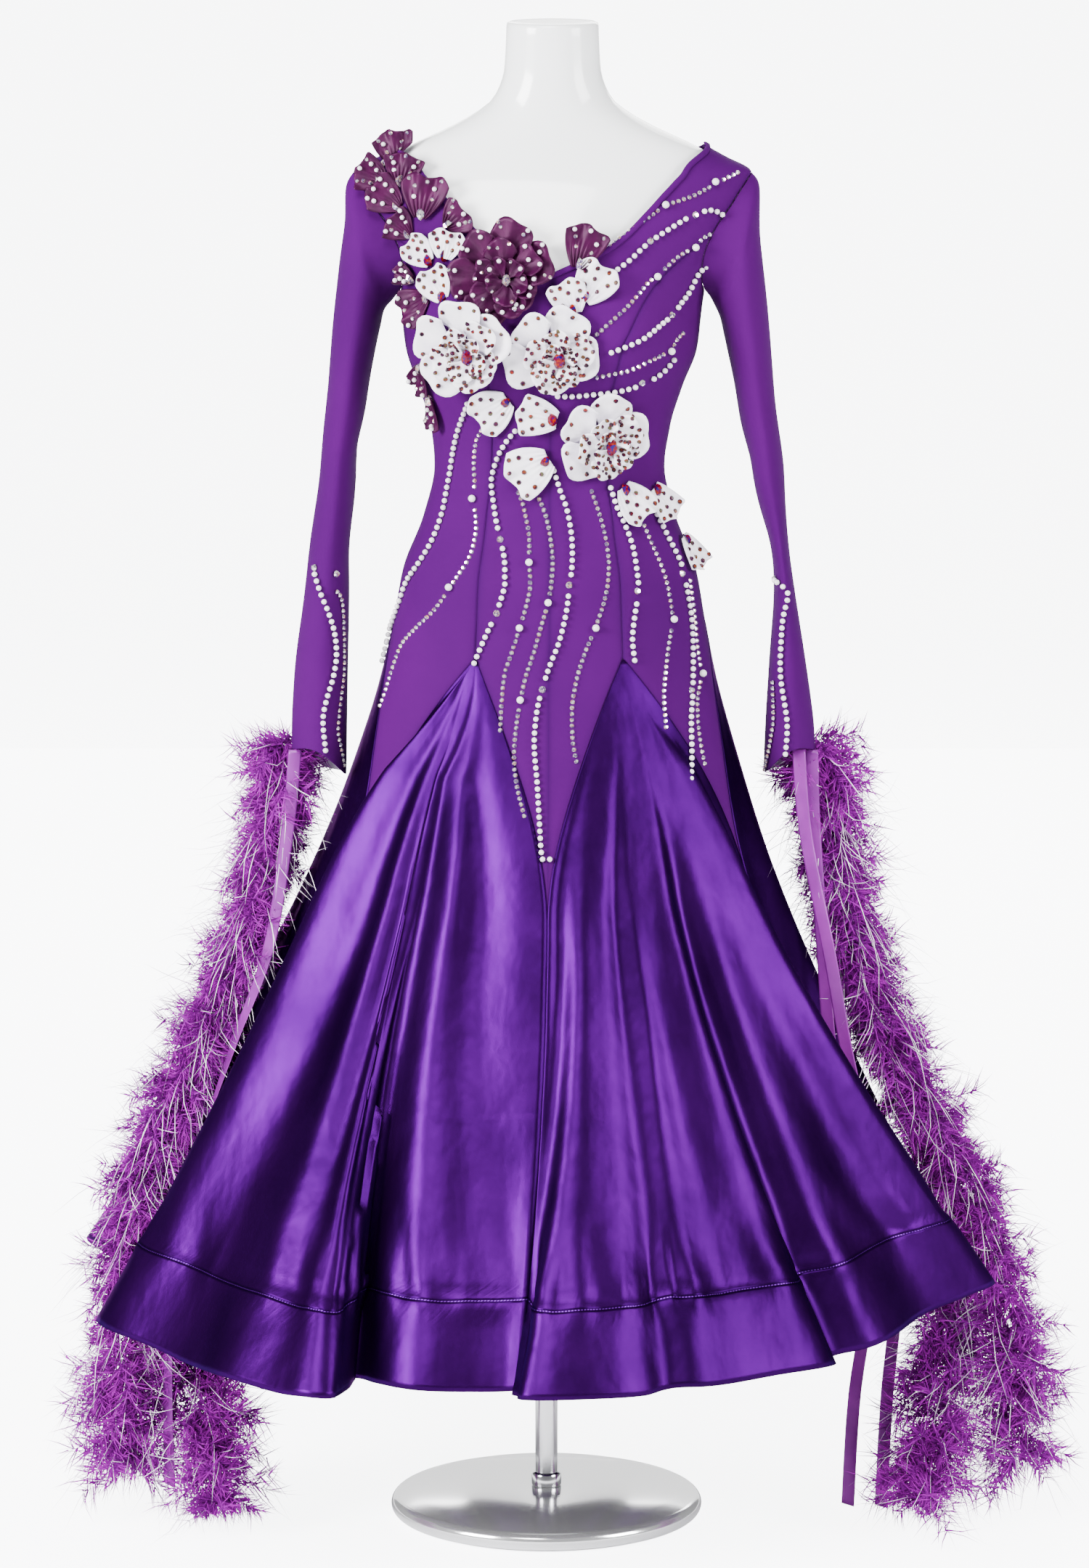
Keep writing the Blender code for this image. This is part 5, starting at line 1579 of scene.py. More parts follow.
@dataclass
class JerseyBody:
    """The six jersey panels, the two sleeves and the neck binding.

    Attributes:
        columns: Grid steps across half a centre panel.
        rows: Grid steps along a panel.
        seam_sink: How far the cloth sinks along its seams, and how far from them.
        binding: Width and rise of the neck binding.
        sleeve_columns: Grid steps round a sleeve.
        sleeve_rows: Grid steps along a sleeve.
        cuff_rise: Depth of the notch in the front of a cuff.
        cuff_drop: How far the back of a cuff hangs lower.
        neck_share: Share of a centre panel's rows that lie below the neck point.
        side_share: Share of a side panel's rows that lie below the side level.
        side_level: Height from which a side panel widens to the armhole.
        strap_levels: Heights of a strap's outer edge below the armhole.
        strap_turns: Turns round the armhole of a strap's outer edge.
        neck_end: Share of the neck edge at which the shoulder begins.
        centre_flat: Width and length of a centre panel's flat rectangle.
        side_flat: The same for a side panel.
        sleeve_flat: The same for a sleeve.
        least_cut: Least share of its flat rectangle for a panel's area; the clamped value is worked
            out but not used. Least share of its flat rectangle that is declared as a panel's area.
        elbow: Share of a sleeve's length, spread and depth of the folds at its elbow.
        upper: The same for those of the upper arm.
        drape: Share of the length from which its cuff drapes, and how deep.
    """

    columns: int = 24
    rows: int = 120
    seam_sink: tuple[float, float] = (0.0006, 0.0035)
    binding: tuple[float, float] = (0.0060, 0.0024)
    sleeve_columns: int = 60
    sleeve_rows: int = 130
    cuff_rise: float = 0.016
    cuff_drop: float = 0.012
    neck_share: float = 0.8
    side_share: float = 0.82
    side_level: float = 1.215
    strap_levels: tuple[float, ...] = (1.240, 1.268, 1.295, 1.311)
    strap_turns: tuple[float, ...] = (90.0, 73.0, 56.0, 38.0, 20.0, 0.0)
    neck_end: float = 0.985
    centre_flat: tuple[float, float] = (0.40, 0.80)
    side_flat: tuple[float, float] = (0.20, 0.64)
    sleeve_flat: tuple[float, float] = (0.30, 0.62)
    least_cut: float = 0.301
    elbow: tuple[float, float, float] = (0.54, 0.10, 0.0016)
    upper: tuple[float, float, float] = (0.20, 0.09, 0.0012)
    drape: tuple[float, float] = (0.55, 0.0011)

    def build(self) -> list[Piece]:
        """Build every jersey piece.

        Returns:
            The pieces.
        """
        pieces = [self.centre_panel(name) for name in ("front", "back")]
        for name in ("side_front_r", "side_front_l", "side_back_r", "side_back_l"):
            pieces.append(self.side_panel(name))
        pieces.append(self.sleeve("sleeve_r", SLEEVE_R))
        pieces.append(self.sleeve("sleeve_l", SLEEVE_L))
        pieces.append(self.neck_binding())
        return pieces

    def sunk(self, angle: Array, height: Array, edge: Array) -> Array:
        """Points of the surface, sunk a little near an edge that is some metres away."""
        depth, reach = self.seam_sink
        sink = depth * np.exp(-((edge / reach) ** 2))
        return SURFACE.outside(angle, height, -sink)

    def centre_panel(self, panel: str) -> Piece:
        """The front or back panel as one grid from its tip up to the shoulders.

        Below the neck point u runs from seam to seam. Above it each half runs from the
        neck edge to the outer edge, so the grid parts along its middle column there.

        Args:
            panel: Its name.

        Returns:
            The piece.
        """
        back = panel == "back"
        centre = 180.0 if back else 0.0
        neck = (BACK_NECK if back else FRONT_NECK)[-1].height
        tip = PANELS[panel].tip_height
        halves = []
        for side in (-1, 1):
            def place(u: Array, v: Array, side: int = side) -> Array:
                """Points of one half.

                Args:
                    u: Shares across, from the middle out.
                    v: Shares up.
                    side: The half's side.

                Returns:
                    The points.
                """
                height = tip + (neck - tip) * clamped(v / self.neck_share)
                middle = SURFACE.centre_angle(panel, height)
                limit = SURFACE.panel_limit(panel, side, height)
                strap = clamped((v - self.neck_share) / (1.0 - self.neck_share))
                outer_angle, outer_height, neck_angle, neck_height = self.strap(
                    back, neck, strap)
                outer = centre + side * np.abs(outer_angle - centre)
                inner = centre + side * np.abs(neck_angle - centre)
                low = v <= self.neck_share
                start = np.where(low, middle, inner)
                end = np.where(low, limit, outer)
                start_height = np.where(low, height, neck_height)
                end_height = np.where(low, height, outer_height)
                edge = (1.0 - u) * np.abs(end - start) * SURFACE.degree
                return self.sunk(start + (end - start) * u,
                                 start_height + (end_height - start_height) * u, edge)
            halves.append(CLOTH.grid(f"{panel}_half", self.columns, self.rows, place))
        piece = CLOTH.joined("panel_" + panel, halves)
        CLOTH.wall(piece, JERSEY)
        stand_for(piece, "jersey", "panel_" + panel)
        self.declare(piece, self.centre_flat)
        return piece

    def strap(self, back: bool, neck: float, share: Array) -> tuple[Array, ...]:
        """Places of a strap's outer edge and neck edge at shares of its length.

        Args:
            back: True for the back.
            neck: Height of the neck point.
            share: Shares of the strap's length.

        Returns:
            Angles and heights of the outer edge, then of the neck edge.
        """
        seam = np.array([neck] + [height for height in self.strap_levels if height > neck])
        angles, heights = SURFACE.armhole_place(self.strap_turns, back)
        outer_angles = np.concatenate([SURFACE.princess(seam, back), angles])
        outer_heights = np.concatenate([seam, heights])
        marks = np.linspace(0.0, 1.0, len(outer_angles))
        outer_angle = monotone(marks, outer_angles, share)
        outer_height = monotone(marks, outer_heights, share)
        neck_angle, neck_height = SURFACE.neck_place(self.neck_end * share, back)
        closing = smoothstep((share - 0.97) / 0.03)
        neck_angle = neck_angle + (outer_angle - neck_angle) * closing
        return outer_angle, outer_height, neck_angle, neck_height

    def side_panel(self, panel: str) -> Piece:
        """A side panel from its tip up to the armhole.

        Args:
            panel: Its name.

        Returns:
            The piece.
        """
        back = "back" in panel
        left = panel.endswith("l")
        mirror = -1.0 if left else 1.0
        tip = PANELS[panel].tip_height
        first = SURFACE.apex_of(panel, -1)[1]
        first_is_side = abs(abs(first) - 90.0) < 1.0

        def place(u: Array, v: Array) -> Array:
            """Points of the panel.

            Args:
                u: Shares across.
                v: Shares up.

            Returns:
                The points.
            """
            turn = 180.0 - 90.0 * (u if first_is_side else 1.0 - u)
            top_angle, top_height = SURFACE.armhole_place(turn, back)
            top_angle = mirror * top_angle
            low = tip + (self.side_level - tip) * clamped(v / self.side_share)
            share = clamped((v - self.side_share) / (1.0 - self.side_share))
            height = low + (top_height - 0.0002 - self.side_level) * share
            first_edge = SURFACE.panel_limit(panel, -1, height)
            last_edge = SURFACE.panel_limit(panel, 1, height)
            between = first_edge + (last_edge - first_edge) * u
            start = SURFACE.panel_limit(panel, -1, np.array([self.side_level]))[0]
            end = SURFACE.panel_limit(panel, 1, np.array([self.side_level]))[0]
            toward = start + (end - start) * u
            toward = toward + (top_angle - toward) * share
            inward = np.minimum(u, 1.0 - u)
            weight = np.where(v > self.side_share, smoothstep(6.0 * inward), 0.0)
            angle = between * (1.0 - weight) + toward * weight
            angle = np.where(share >= 1.0, top_angle, angle)
            edge = inward * np.abs(last_edge - first_edge) * SURFACE.degree
            return self.sunk(angle, height, edge)

        piece = CLOTH.grid("panel_" + panel, 44, self.rows, place)
        CLOTH.wall(piece, JERSEY)
        stand_for(piece, "jersey", "panel_" + panel)
        self.declare(piece, self.side_flat)
        return piece

    def sleeve_rings(self, stations: tuple[Station, ...], turn: Array) -> Array:
        """The points of each station's ring at some turns, armhole first.

        Args:
            stations: The sleeve's rings.
            turn: Turns in degrees.

        Returns:
            The points, one row for each ring.
        """
        right = stations[0].outer_x > 0.0
        folded = np.where(turn <= 180.0, turn, 360.0 - turn)
        front = SURFACE.armhole_place(folded, False)
        back = SURFACE.armhole_place(folded, True)
        is_back = turn > 180.0
        angle = np.where(is_back, back[0], front[0])
        height = np.where(is_back, back[1], front[1])
        shrink = 1.0 - 0.0006 / 0.045
        middle = 0.5 * (SURFACE.armhole[0] + SURFACE.armhole[1])
        angle = 90.0 + (angle - 90.0) * shrink
        height = middle + (height - middle) * shrink
        rings = [SURFACE.point(angle if right else -angle, height)]
        c = np.cos(np.radians(turn))
        s = np.sin(np.radians(turn))
        for i, st in enumerate(stations):
            x = 0.5 * (st.outer_x + st.inner_x) + 0.5 * c * (st.outer_x - st.inner_x)
            z = 0.5 * (st.outer_z + st.inner_z) + 0.5 * c * (st.outer_z - st.inner_z)
            if i == len(stations) - 1:
                z = z + self.cuff_rise * np.maximum(s, 0.0) ** 2
                z = z - self.cuff_drop * np.maximum(-s, 0.0) ** 2
            rings.append(np.stack([x, st.back - st.half_depth * s, z], axis=-1))
        return np.stack(rings)

    def sleeve_surface(self, stations: tuple[Station, ...]) -> SurfaceFunction:
        """A function of turn in degrees and v (0 armhole, 1 cuff) that gives points.

        Args:
            stations: The sleeve's rings.

        Returns:
            The function.
        """
        last = len(stations)

        def surface(turn: Array, v: Array) -> Array:
            """Points of the sleeve.

            Args:
                turn: Turns in degrees.
                v: Shares from the armhole to the cuff.

            Returns:
                The points.
            """
            turn, v = np.broadcast_arrays(np.asarray(turn, float), np.asarray(v, float))
            rings = self.sleeve_rings(stations, turn % 360.0)
            position = clamped(v) * last
            i = np.clip(position.astype(int), 0, last - 1)
            t = (position - i)[..., None]
            each = np.arange(len(turn))
            before = rings[np.maximum(i - 1, 0), each]
            here = rings[i, each]
            after = rings[i + 1, each]
            later = rings[np.minimum(i + 2, last), each]
            slope = 0.5 * (after - before)
            leave = 0.5 * (later - here)
            return (
                here * (1.0 + 2.0 * t) * (1.0 - t) ** 2 + after * t * t * (3.0 - 2.0 * t)
                + slope * t * (1.0 - t) ** 2 + leave * t * t * (t - 1.0)
            )
        return surface

    def sleeve(self, name: str, stations: tuple[Station, ...]) -> Piece:
        """A long sleeve with soft folds at the elbow and above the cuff.

        Args:
            name: The piece's name.
            stations: The sleeve's rings.

        Returns:
            The piece.
        """
        surface = self.sleeve_surface(stations)
        phase = 0.8 if name.endswith("r") else 2.1
        elbow_at, elbow_spread, elbow_depth = self.elbow
        upper_at, upper_spread, upper_depth = self.upper
        drape_from, drape_depth = self.drape
        middles = np.array([
            (0.5 * (st.outer_x + st.inner_x), st.back, 0.5 * (st.outer_z + st.inner_z))
            for st in stations
        ])

        def axis(points: Array) -> Array:
            """Points of the sleeve's middle at some points' heights."""
            order = np.argsort(middles[:, 2])
            return np.stack([
                np.interp(points[:, 2], middles[order, 2], middles[order, k]) for k in range(3)
            ], axis=1)

        def place(u: Array, v: Array) -> Array:
            """Points of the sleeve with its soft folds.

            Args:
                u: Shares across.
                v: Shares along.

            Returns:
                The points.
            """
            turn = 360.0 * u
            base = surface(turn, v)
            out = unit(base - axis(base))
            round_turn = np.radians(turn)
            elbow = np.exp(-(((v - elbow_at) / elbow_spread) ** 2))
            wave = np.sin(46.0 * v + 2.2 * np.sin(round_turn + phase) + phase)
            inner = 0.5 - 0.5 * np.cos(round_turn)
            fold = elbow_depth * elbow * wave * (0.35 + 0.65 * inner)
            upper = np.exp(-(((v - upper_at) / upper_spread) ** 2))
            fold += upper_depth * upper * np.sin(2.0 * round_turn + 18.0 * v + phase)
            drape = np.sin(2.0 * round_turn + 5.0 * v + 2.0 * phase)
            fold += drape_depth * smoothstep((v - drape_from) * 4.0) * drape
            fold *= smoothstep(v * 12.0)
            return base + fold[:, None] * out

        piece = CLOTH.grid(name, self.sleeve_columns, self.sleeve_rows, place, True, axis)
        CLOTH.wall(piece, JERSEY, LINING)
        stand_for(piece, "jersey", name)
        self.declare(piece, self.sleeve_flat)
        return piece

    def neck_binding(self) -> Piece:
        """The rounded self binding all round the neck edge.

        Returns:
            The piece.
        """
        share = np.linspace(0.0, self.neck_end, 60)
        front = np.stack(SURFACE.neck_place(share, False), axis=1)
        back = np.stack(SURFACE.neck_place(share, True), axis=1)
        half = np.concatenate([front, back[::-1]])
        mirrored = half[::-1][1:-1] * np.array((-1.0, 1.0))
        loop = np.concatenate([half, mirrored])
        points = SURFACE.point(loop[:, 0], loop[:, 1])
        normals = SURFACE.normal(loop[:, 0], loop[:, 1])
        along = unit(np.roll(points, -1, axis=0) - np.roll(points, 1, axis=0))
        outward = np.cross(normals, along)
        outward = np.where(outward[:, 2:3] > 0.0, -outward, outward)
        width, rise = self.binding
        count = len(loop)

        def place(u: Array, v: Array) -> Array:
            """Points of the binding.

            Args:
                u: Shares round the neck.
                v: Shares round the binding.

            Returns:
                The points.
            """
            i = np.rint(u * count).astype(int) % count
            turn = 2.0 * pi * v
            across = (0.5 - 0.5 * np.cos(turn)) * width - 0.0003
            lift = 0.0002 + rise * (0.45 + 0.55 * np.sin(turn))
            return points[i] + across[:, None] * outward[i] + lift[:, None] * normals[i]

        def inside(places: Array) -> Array:
            """Places inside the binding, near to some."""
            near = np.array([int(np.argmin(((points - p) ** 2).sum(axis=1))) for p in places])
            return points[near] + 0.5 * width * outward[near] + 0.0012 * normals[near]

        piece = CLOTH.grid("neck_binding", count, 10, place, True, inside)
        piece.data.materials.append(JERSEY.make())
        stand_for(piece, "jersey", "neck_binding")
        return piece

    def declare(self, piece: Piece, flat: tuple[float, float]) -> None:
        """Declare a sheet with its flat cut: the mesh's area, or the nearest that is allowed.

        Args:
            piece: The piece.
            flat: Width and length of the rectangle that it is cut from.
        """
        share = sum(face.area for face in piece.data.polygons) / (flat[0] * flat[1])
        LOG.info("%s: %.3f of its flat rectangle", piece.name, share)
        min(max(share, self.least_cut), 1.0) * flat[0] * flat[1]


@dataclass
class GodetSkirt:
    """The six satin godets.

    Attributes:
        hem_depth: Depth of the stitched hem.
        fill: Share of its flat rectangle for a godet's area; not used. Share of its
            flat rectangle that is declared as a godet's area.
        per_fold: Grid steps for each fold.
        rows: Grid steps down a godet.
        full_width: Width in degrees from which its folds bow in full.
        length: Length of a godet.
        crease: Height of a crease for each of its table's mm.
        line: Width and depth of the stitched line.
        hem_rise: How far the double cloth of the hem stands out.
        pucker: Depth of the puckers beside the line, and their reach above and below it.
    """

    hem_depth: float = HEM_DEPTH
    fill: float = 0.56
    full_width: float = 46.0
    length: float = 0.70
    crease: float = 0.0016
    line: tuple[float, float] = (0.0035, 0.0018)
    hem_rise: float = 0.0014
    pucker: tuple[float, float, float] = (0.0026, 0.045, 0.020)
    per_fold: int = 6
    rows: int = 120

    def build(self) -> list[Piece]:
        """Build every godet."""
        return [self.godet(name) for name in GODETS]

    def surface(self, name: str) -> SurfaceFunction:
        """A function of position (counted in folds) and height that gives points.

        Args:
            name: The godet's name.

        Returns:
            The function.
        """
        cut = GODETS[name]
        folds = np.array(FOLDS[name], float)
        last = len(folds) - 1

        def point(position: Array, height: Array) -> Array:
            """Points of the godet.

            Args:
                position: Places across, in folds.
                height: Heights.

            Returns:
                The points.
            """
            position = np.clip(position, 0.0, last)
            share = (cut.apex - height) / (cut.apex - SURFACE.hem)
            across = position / last
            left = SURFACE.panel_edge(cut.left, 1, height)
            right = SURFACE.panel_edge(cut.right, -1, height)
            right = np.where(right < left - 180.0, right + 360.0, right)
            left = np.where(left > right + 180.0, left - 360.0, left)
            gap = SURFACE.inset(height)
            left = left + gap
            right = right - gap
            angle, reach, begins, lift, late, bow = catmull(folds, position).T
            begins = np.clip(begins, 0.0, 0.6)
            growth = clamped((share - begins) / (1.0 - begins))
            late = clamped(late)
            growth = growth * (1.0 - late + late * growth * (1.6 - 0.6 * growth))
            swing = angle - (folds[0, 0] + (folds[-1, 0] - folds[0, 0]) * across)
            turned = left + (right - left) * across + growth * swing
            room = np.minimum((right - left) / self.full_width, 1.0) ** 2
            turned = turned + bow * room * np.sin(pi * clamped(share) ** 0.7)
            return SURFACE.point(
                turned, height + 0.001 * lift * growth, 1.0 + growth * (reach - 1.0))
        return point

    def detail(self, name: str, position: Array, share: Array) -> Array:
        """Ridges, troughs, the sunk hem line and its puckers, in metres out.

        Args:
            name: The godet's name.
            position: Places across, in folds.
            share: Shares of the way down.

        Returns:
            Distances out.
        """
        last = len(FOLDS[name]) - 1
        rise = np.zeros(position.shape)
        for crease in CREASES[name]:
            middle = crease.top + (crease.hem - crease.top) * share
            middle = middle + 0.06 * np.sin(9.0 * share + 3.0 * crease.hem)
            grown = smoothstep((share - crease.begins) / 0.35)
            away = (position - middle) / (crease.width * (1.7 + 0.9 * share))
            rise += self.crease * crease.depth * grown * np.exp(-away * away)
        metres = (1.0 - share) * self.length
        width, sink = self.line
        depth, reach_up, reach_down = self.pucker
        from_line = metres - self.hem_depth
        line = np.exp(-((from_line / width) ** 2))
        above = np.maximum(from_line, 0.0)
        beside = np.exp(-((from_line / np.where(above > 0.0, reach_up, reach_down)) ** 2))
        pucker = np.sin(5.3 * position + 1.6 * np.sin(2.3 * position) + 26.0 * above)
        pucker = pucker + 0.45 * np.sin(13.0 * position + 2.0 * np.sin(3.1 * position))
        band = smoothstep((self.hem_depth - metres) / 0.004)
        rise += self.hem_rise * band - sink * line + depth * beside * pucker
        edge = np.minimum(position, last - position)
        return rise * smoothstep(edge / 0.5)

    def godet(self, name: str) -> Piece:
        """One godet with its deep stitched hem.

        Args:
            name: The godet's name.

        Returns:
            The piece.
        """
        cut = GODETS[name]
        last = len(FOLDS[name]) - 1
        surface = self.surface(name)
        top = cut.apex - 0.001

        def place(u: Array, v: Array) -> Array:
            """Points of the godet with its detail.

            Args:
                u: Shares across.
                v: Shares down.

            Returns:
                The points.
            """
            height = top + (SURFACE.hem - top) * v
            position = last * u
            points = surface(position, height)
            normal = normals_of(surface, position, height, 0.05, 0.002)
            inward = (normal[:, :2] * points[:, :2]).sum(1) < 0.0
            normal = np.where(inward[:, None], -normal, normal)
            share = (cut.apex - height) / (cut.apex - SURFACE.hem)
            return points + self.detail(name, position, share)[:, None] * normal

        piece = CLOTH.grid("godet_" + name, last * self.per_fold, self.rows, place)
        CLOTH.wall(piece, SATIN)
        stand_for(piece, "satin", "godet_" + name)
        size = self.flat_size(name)
        return piece

    def flat_size(self, name: str) -> tuple[float, float]:
        """Width at the hem and length of a godet's cut, measured along the cloth.

        Args:
            name: The godet's name.

        Returns:
            The width and the length.
        """
        last = len(FOLDS[name]) - 1
        position = np.linspace(0.0, last, 200)
        hem = self.surface(name)(position, np.full(200, SURFACE.hem))
        width = float(np.linalg.norm(np.diff(hem, axis=0), axis=1).sum())
        heights = np.linspace(SURFACE.hem, GODETS[name].apex - 0.001, 100)
        side = self.surface(name)(np.full(100, 0.5 * last), heights)
        length = float(np.linalg.norm(np.diff(side, axis=0), axis=1).sum())
        return width, length


@dataclass
class StoneSetter:
    """Collects stones by kind and joins each kind's stones into one mesh.

    Attributes:
        sets: The places, directions and stones of each kind.
    """

    sets: dict[StoneKind, list[tuple[Array, Array, Gem]]] = field(default_factory=dict)

    def add(self, places: Array, normals: Array, gem: Gem) -> None:
        """Set stones at some places."""
        self.sets.setdefault(gem.kind, []).append((places, normals, gem))

    def shape(self, gem: Gem) -> tuple[Array, Array]:
        """One stone with its base at zero: a sunk ball or a cut cone.

        Args:
            gem: The stone.

        Returns:
            Its vertices and its triangles.
        """
        work = bmesh.new()
        if gem.kind is StoneKind.PEARL:
            bmesh.ops.create_uvsphere(
                work, u_segments=gem.sides, v_segments=max(4, gem.sides - 3), radius=0.5)
            bmesh.ops.translate(work, verts=work.verts, vec=(0.0, 0.0, 0.36))
        else:
            bmesh.ops.create_cone(
                work, cap_ends=True, segments=gem.sides, radius1=0.5, radius2=0.28, depth=1.0)
            bmesh.ops.translate(work, verts=work.verts, vec=(0.0, 0.0, 0.5))
            bmesh.ops.scale(work, verts=work.verts, vec=(1.0, 1.0, gem.rise / gem.diameter))
        bmesh.ops.scale(work, verts=work.verts, vec=(
            gem.diameter, gem.diameter * gem.tall, gem.diameter))
        bmesh.ops.triangulate(work, faces=work.faces)
        work.verts.index_update()
        points = np.array([tuple(v.co) for v in work.verts])
        faces = np.array([[v.index for v in face.verts] for face in work.faces])
        work.free()
        return points, faces

    def joined(self, kind: StoneKind) -> Piece:
        """Join one kind's stones.

        Args:
            kind: The kind.

        Returns:
            The piece.
        """
        all_points = []
        all_faces = []
        count = 0
        for places, normals, gem in self.sets[kind]:
            points, faces = self.shape(gem)
            helper = np.where(np.abs(normals[:, 2:3]) > 0.9, SIDEWAYS, UP)
            side = unit(np.cross(helper, normals))
            up = np.cross(normals, side)
            placed = (
                places[:, None] + points[None, :, 0:1] * side[:, None]
                + points[None, :, 1:2] * up[:, None] + points[None, :, 2:3] * normals[:, None]
            )
            shift = count + np.arange(len(places))[:, None, None] * len(points)
            all_points.append(placed.reshape(-1, 3))
            all_faces.append((faces[None] + shift).reshape(-1, 3))
            count += placed.shape[0] * placed.shape[1]
        mesh = bpy.data.meshes.new("stones_" + kind.value)
        mesh.from_pydata(np.concatenate(all_points), [], np.concatenate(all_faces).tolist())
        if kind is StoneKind.PEARL:
            mesh.shade_smooth()
        else:
            mesh.shade_flat()
        mesh.materials.append(GEM_FINISHES[kind].make())
        piece = linked("stones_" + kind.value, mesh)
        stand_for(piece, "white_satin")
        return piece

    def build(self) -> list[Piece]:
        """Join all the stones."""
        return [self.joined(kind) for kind in self.sets]


STONES = StoneSetter()
PEARL_BEAD = Gem(0.0058, 0.0, 8, StoneKind.PEARL)
BIG_PEARL = Gem(0.0076, 0.0, 10, StoneKind.PEARL)
SMALL_PEARL = Gem(0.0050, 0.0, 8, StoneKind.PEARL)
RHINESTONE = Gem(0.0048, 0.0020, 8, StoneKind.CLEAR)
CRYSTAL = Gem(0.0072, 0.0030, 8, StoneKind.CLEAR)
BIG_CRYSTAL = Gem(0.0085, 0.0042, 10, StoneKind.CLEAR, 1.45)
SMALL_CLEAR = Gem(0.0044, 0.0017, 8, StoneKind.CLEAR)
RED_STONE = Gem(0.0054, 0.0019, 8, StoneKind.RED)
AMBER_STONE = Gem(0.0050, 0.0018, 8, StoneKind.AMBER)
ROOT_STONE = Gem(0.0100, 0.0042, 10, StoneKind.RAINBOW, 1.35)
HEART_STONE = Gem(0.0125, 0.0060, 10, StoneKind.RAINBOW, 1.40)


StoneRow = tuple[float, int]
Laying = Callable[[Array, Array, Array], Array]


@dataclass(frozen=True)
class TrimStyle:
    """What the white trims and the plum trims differ in.

    Attributes:
        finish: The satin.
        slot: Name of its colour slot.
        long: Metres of cloth along a petal for a mm of its table.
        wide: Metres of cloth across a petal for a mm of its table.
        narrowing: How a petal narrows to its root, as a power.
        pleat: Depth of its pleats.
        rows: Share from the root and count of each row of stones on a petal.
        flower_rows: The same for each layer of a flower.
        stones: The two kinds of stone that are scattered on it.
        root: The stone at a petal's root.
        heart: The stone in a flower's middle.
    """

    finish: Finish
    slot: str
    long: float
    wide: float
    narrowing: float
    pleat: float
    rows: tuple[StoneRow, ...]
    flower_rows: tuple[tuple[StoneRow, ...], ...]
    stones: tuple[Gem, Gem]
    root: Gem
    heart: Gem


STYLES = {
    True: TrimStyle(
        WHITE, "white_satin", 0.00122, 0.00125, 0.42, 0.0012, ((0.34, 2), (0.62, 3), (0.88, 4)),
        (((0.84, 3),), ((0.62, 2), (0.78, 3), (0.94, 4)), ((0.50, 2), (0.74, 3), (0.95, 4))),
        (RED_STONE, AMBER_STONE), ROOT_STONE, HEART_STONE),
    False: TrimStyle(
        PLUM, "plum_satin", 0.00145, 0.00140, 0.62, 0.0019, ((0.46, 2), (0.70, 2), (0.90, 3)),
        (((0.80, 2), (0.95, 2)), ((0.72, 1), (0.92, 2)), ((0.86, 2),)),
        (SMALL_PEARL, SMALL_CLEAR), BIG_CRYSTAL, BIG_CRYSTAL),
}


class PetalLayer(NamedTuple):
    """A layer of a flower: its petals, and in shares of the radius or in metres their form."""

    count: int
    reach: float
    root: float
    base: float
    curl: float
    shift: float
    aside: float


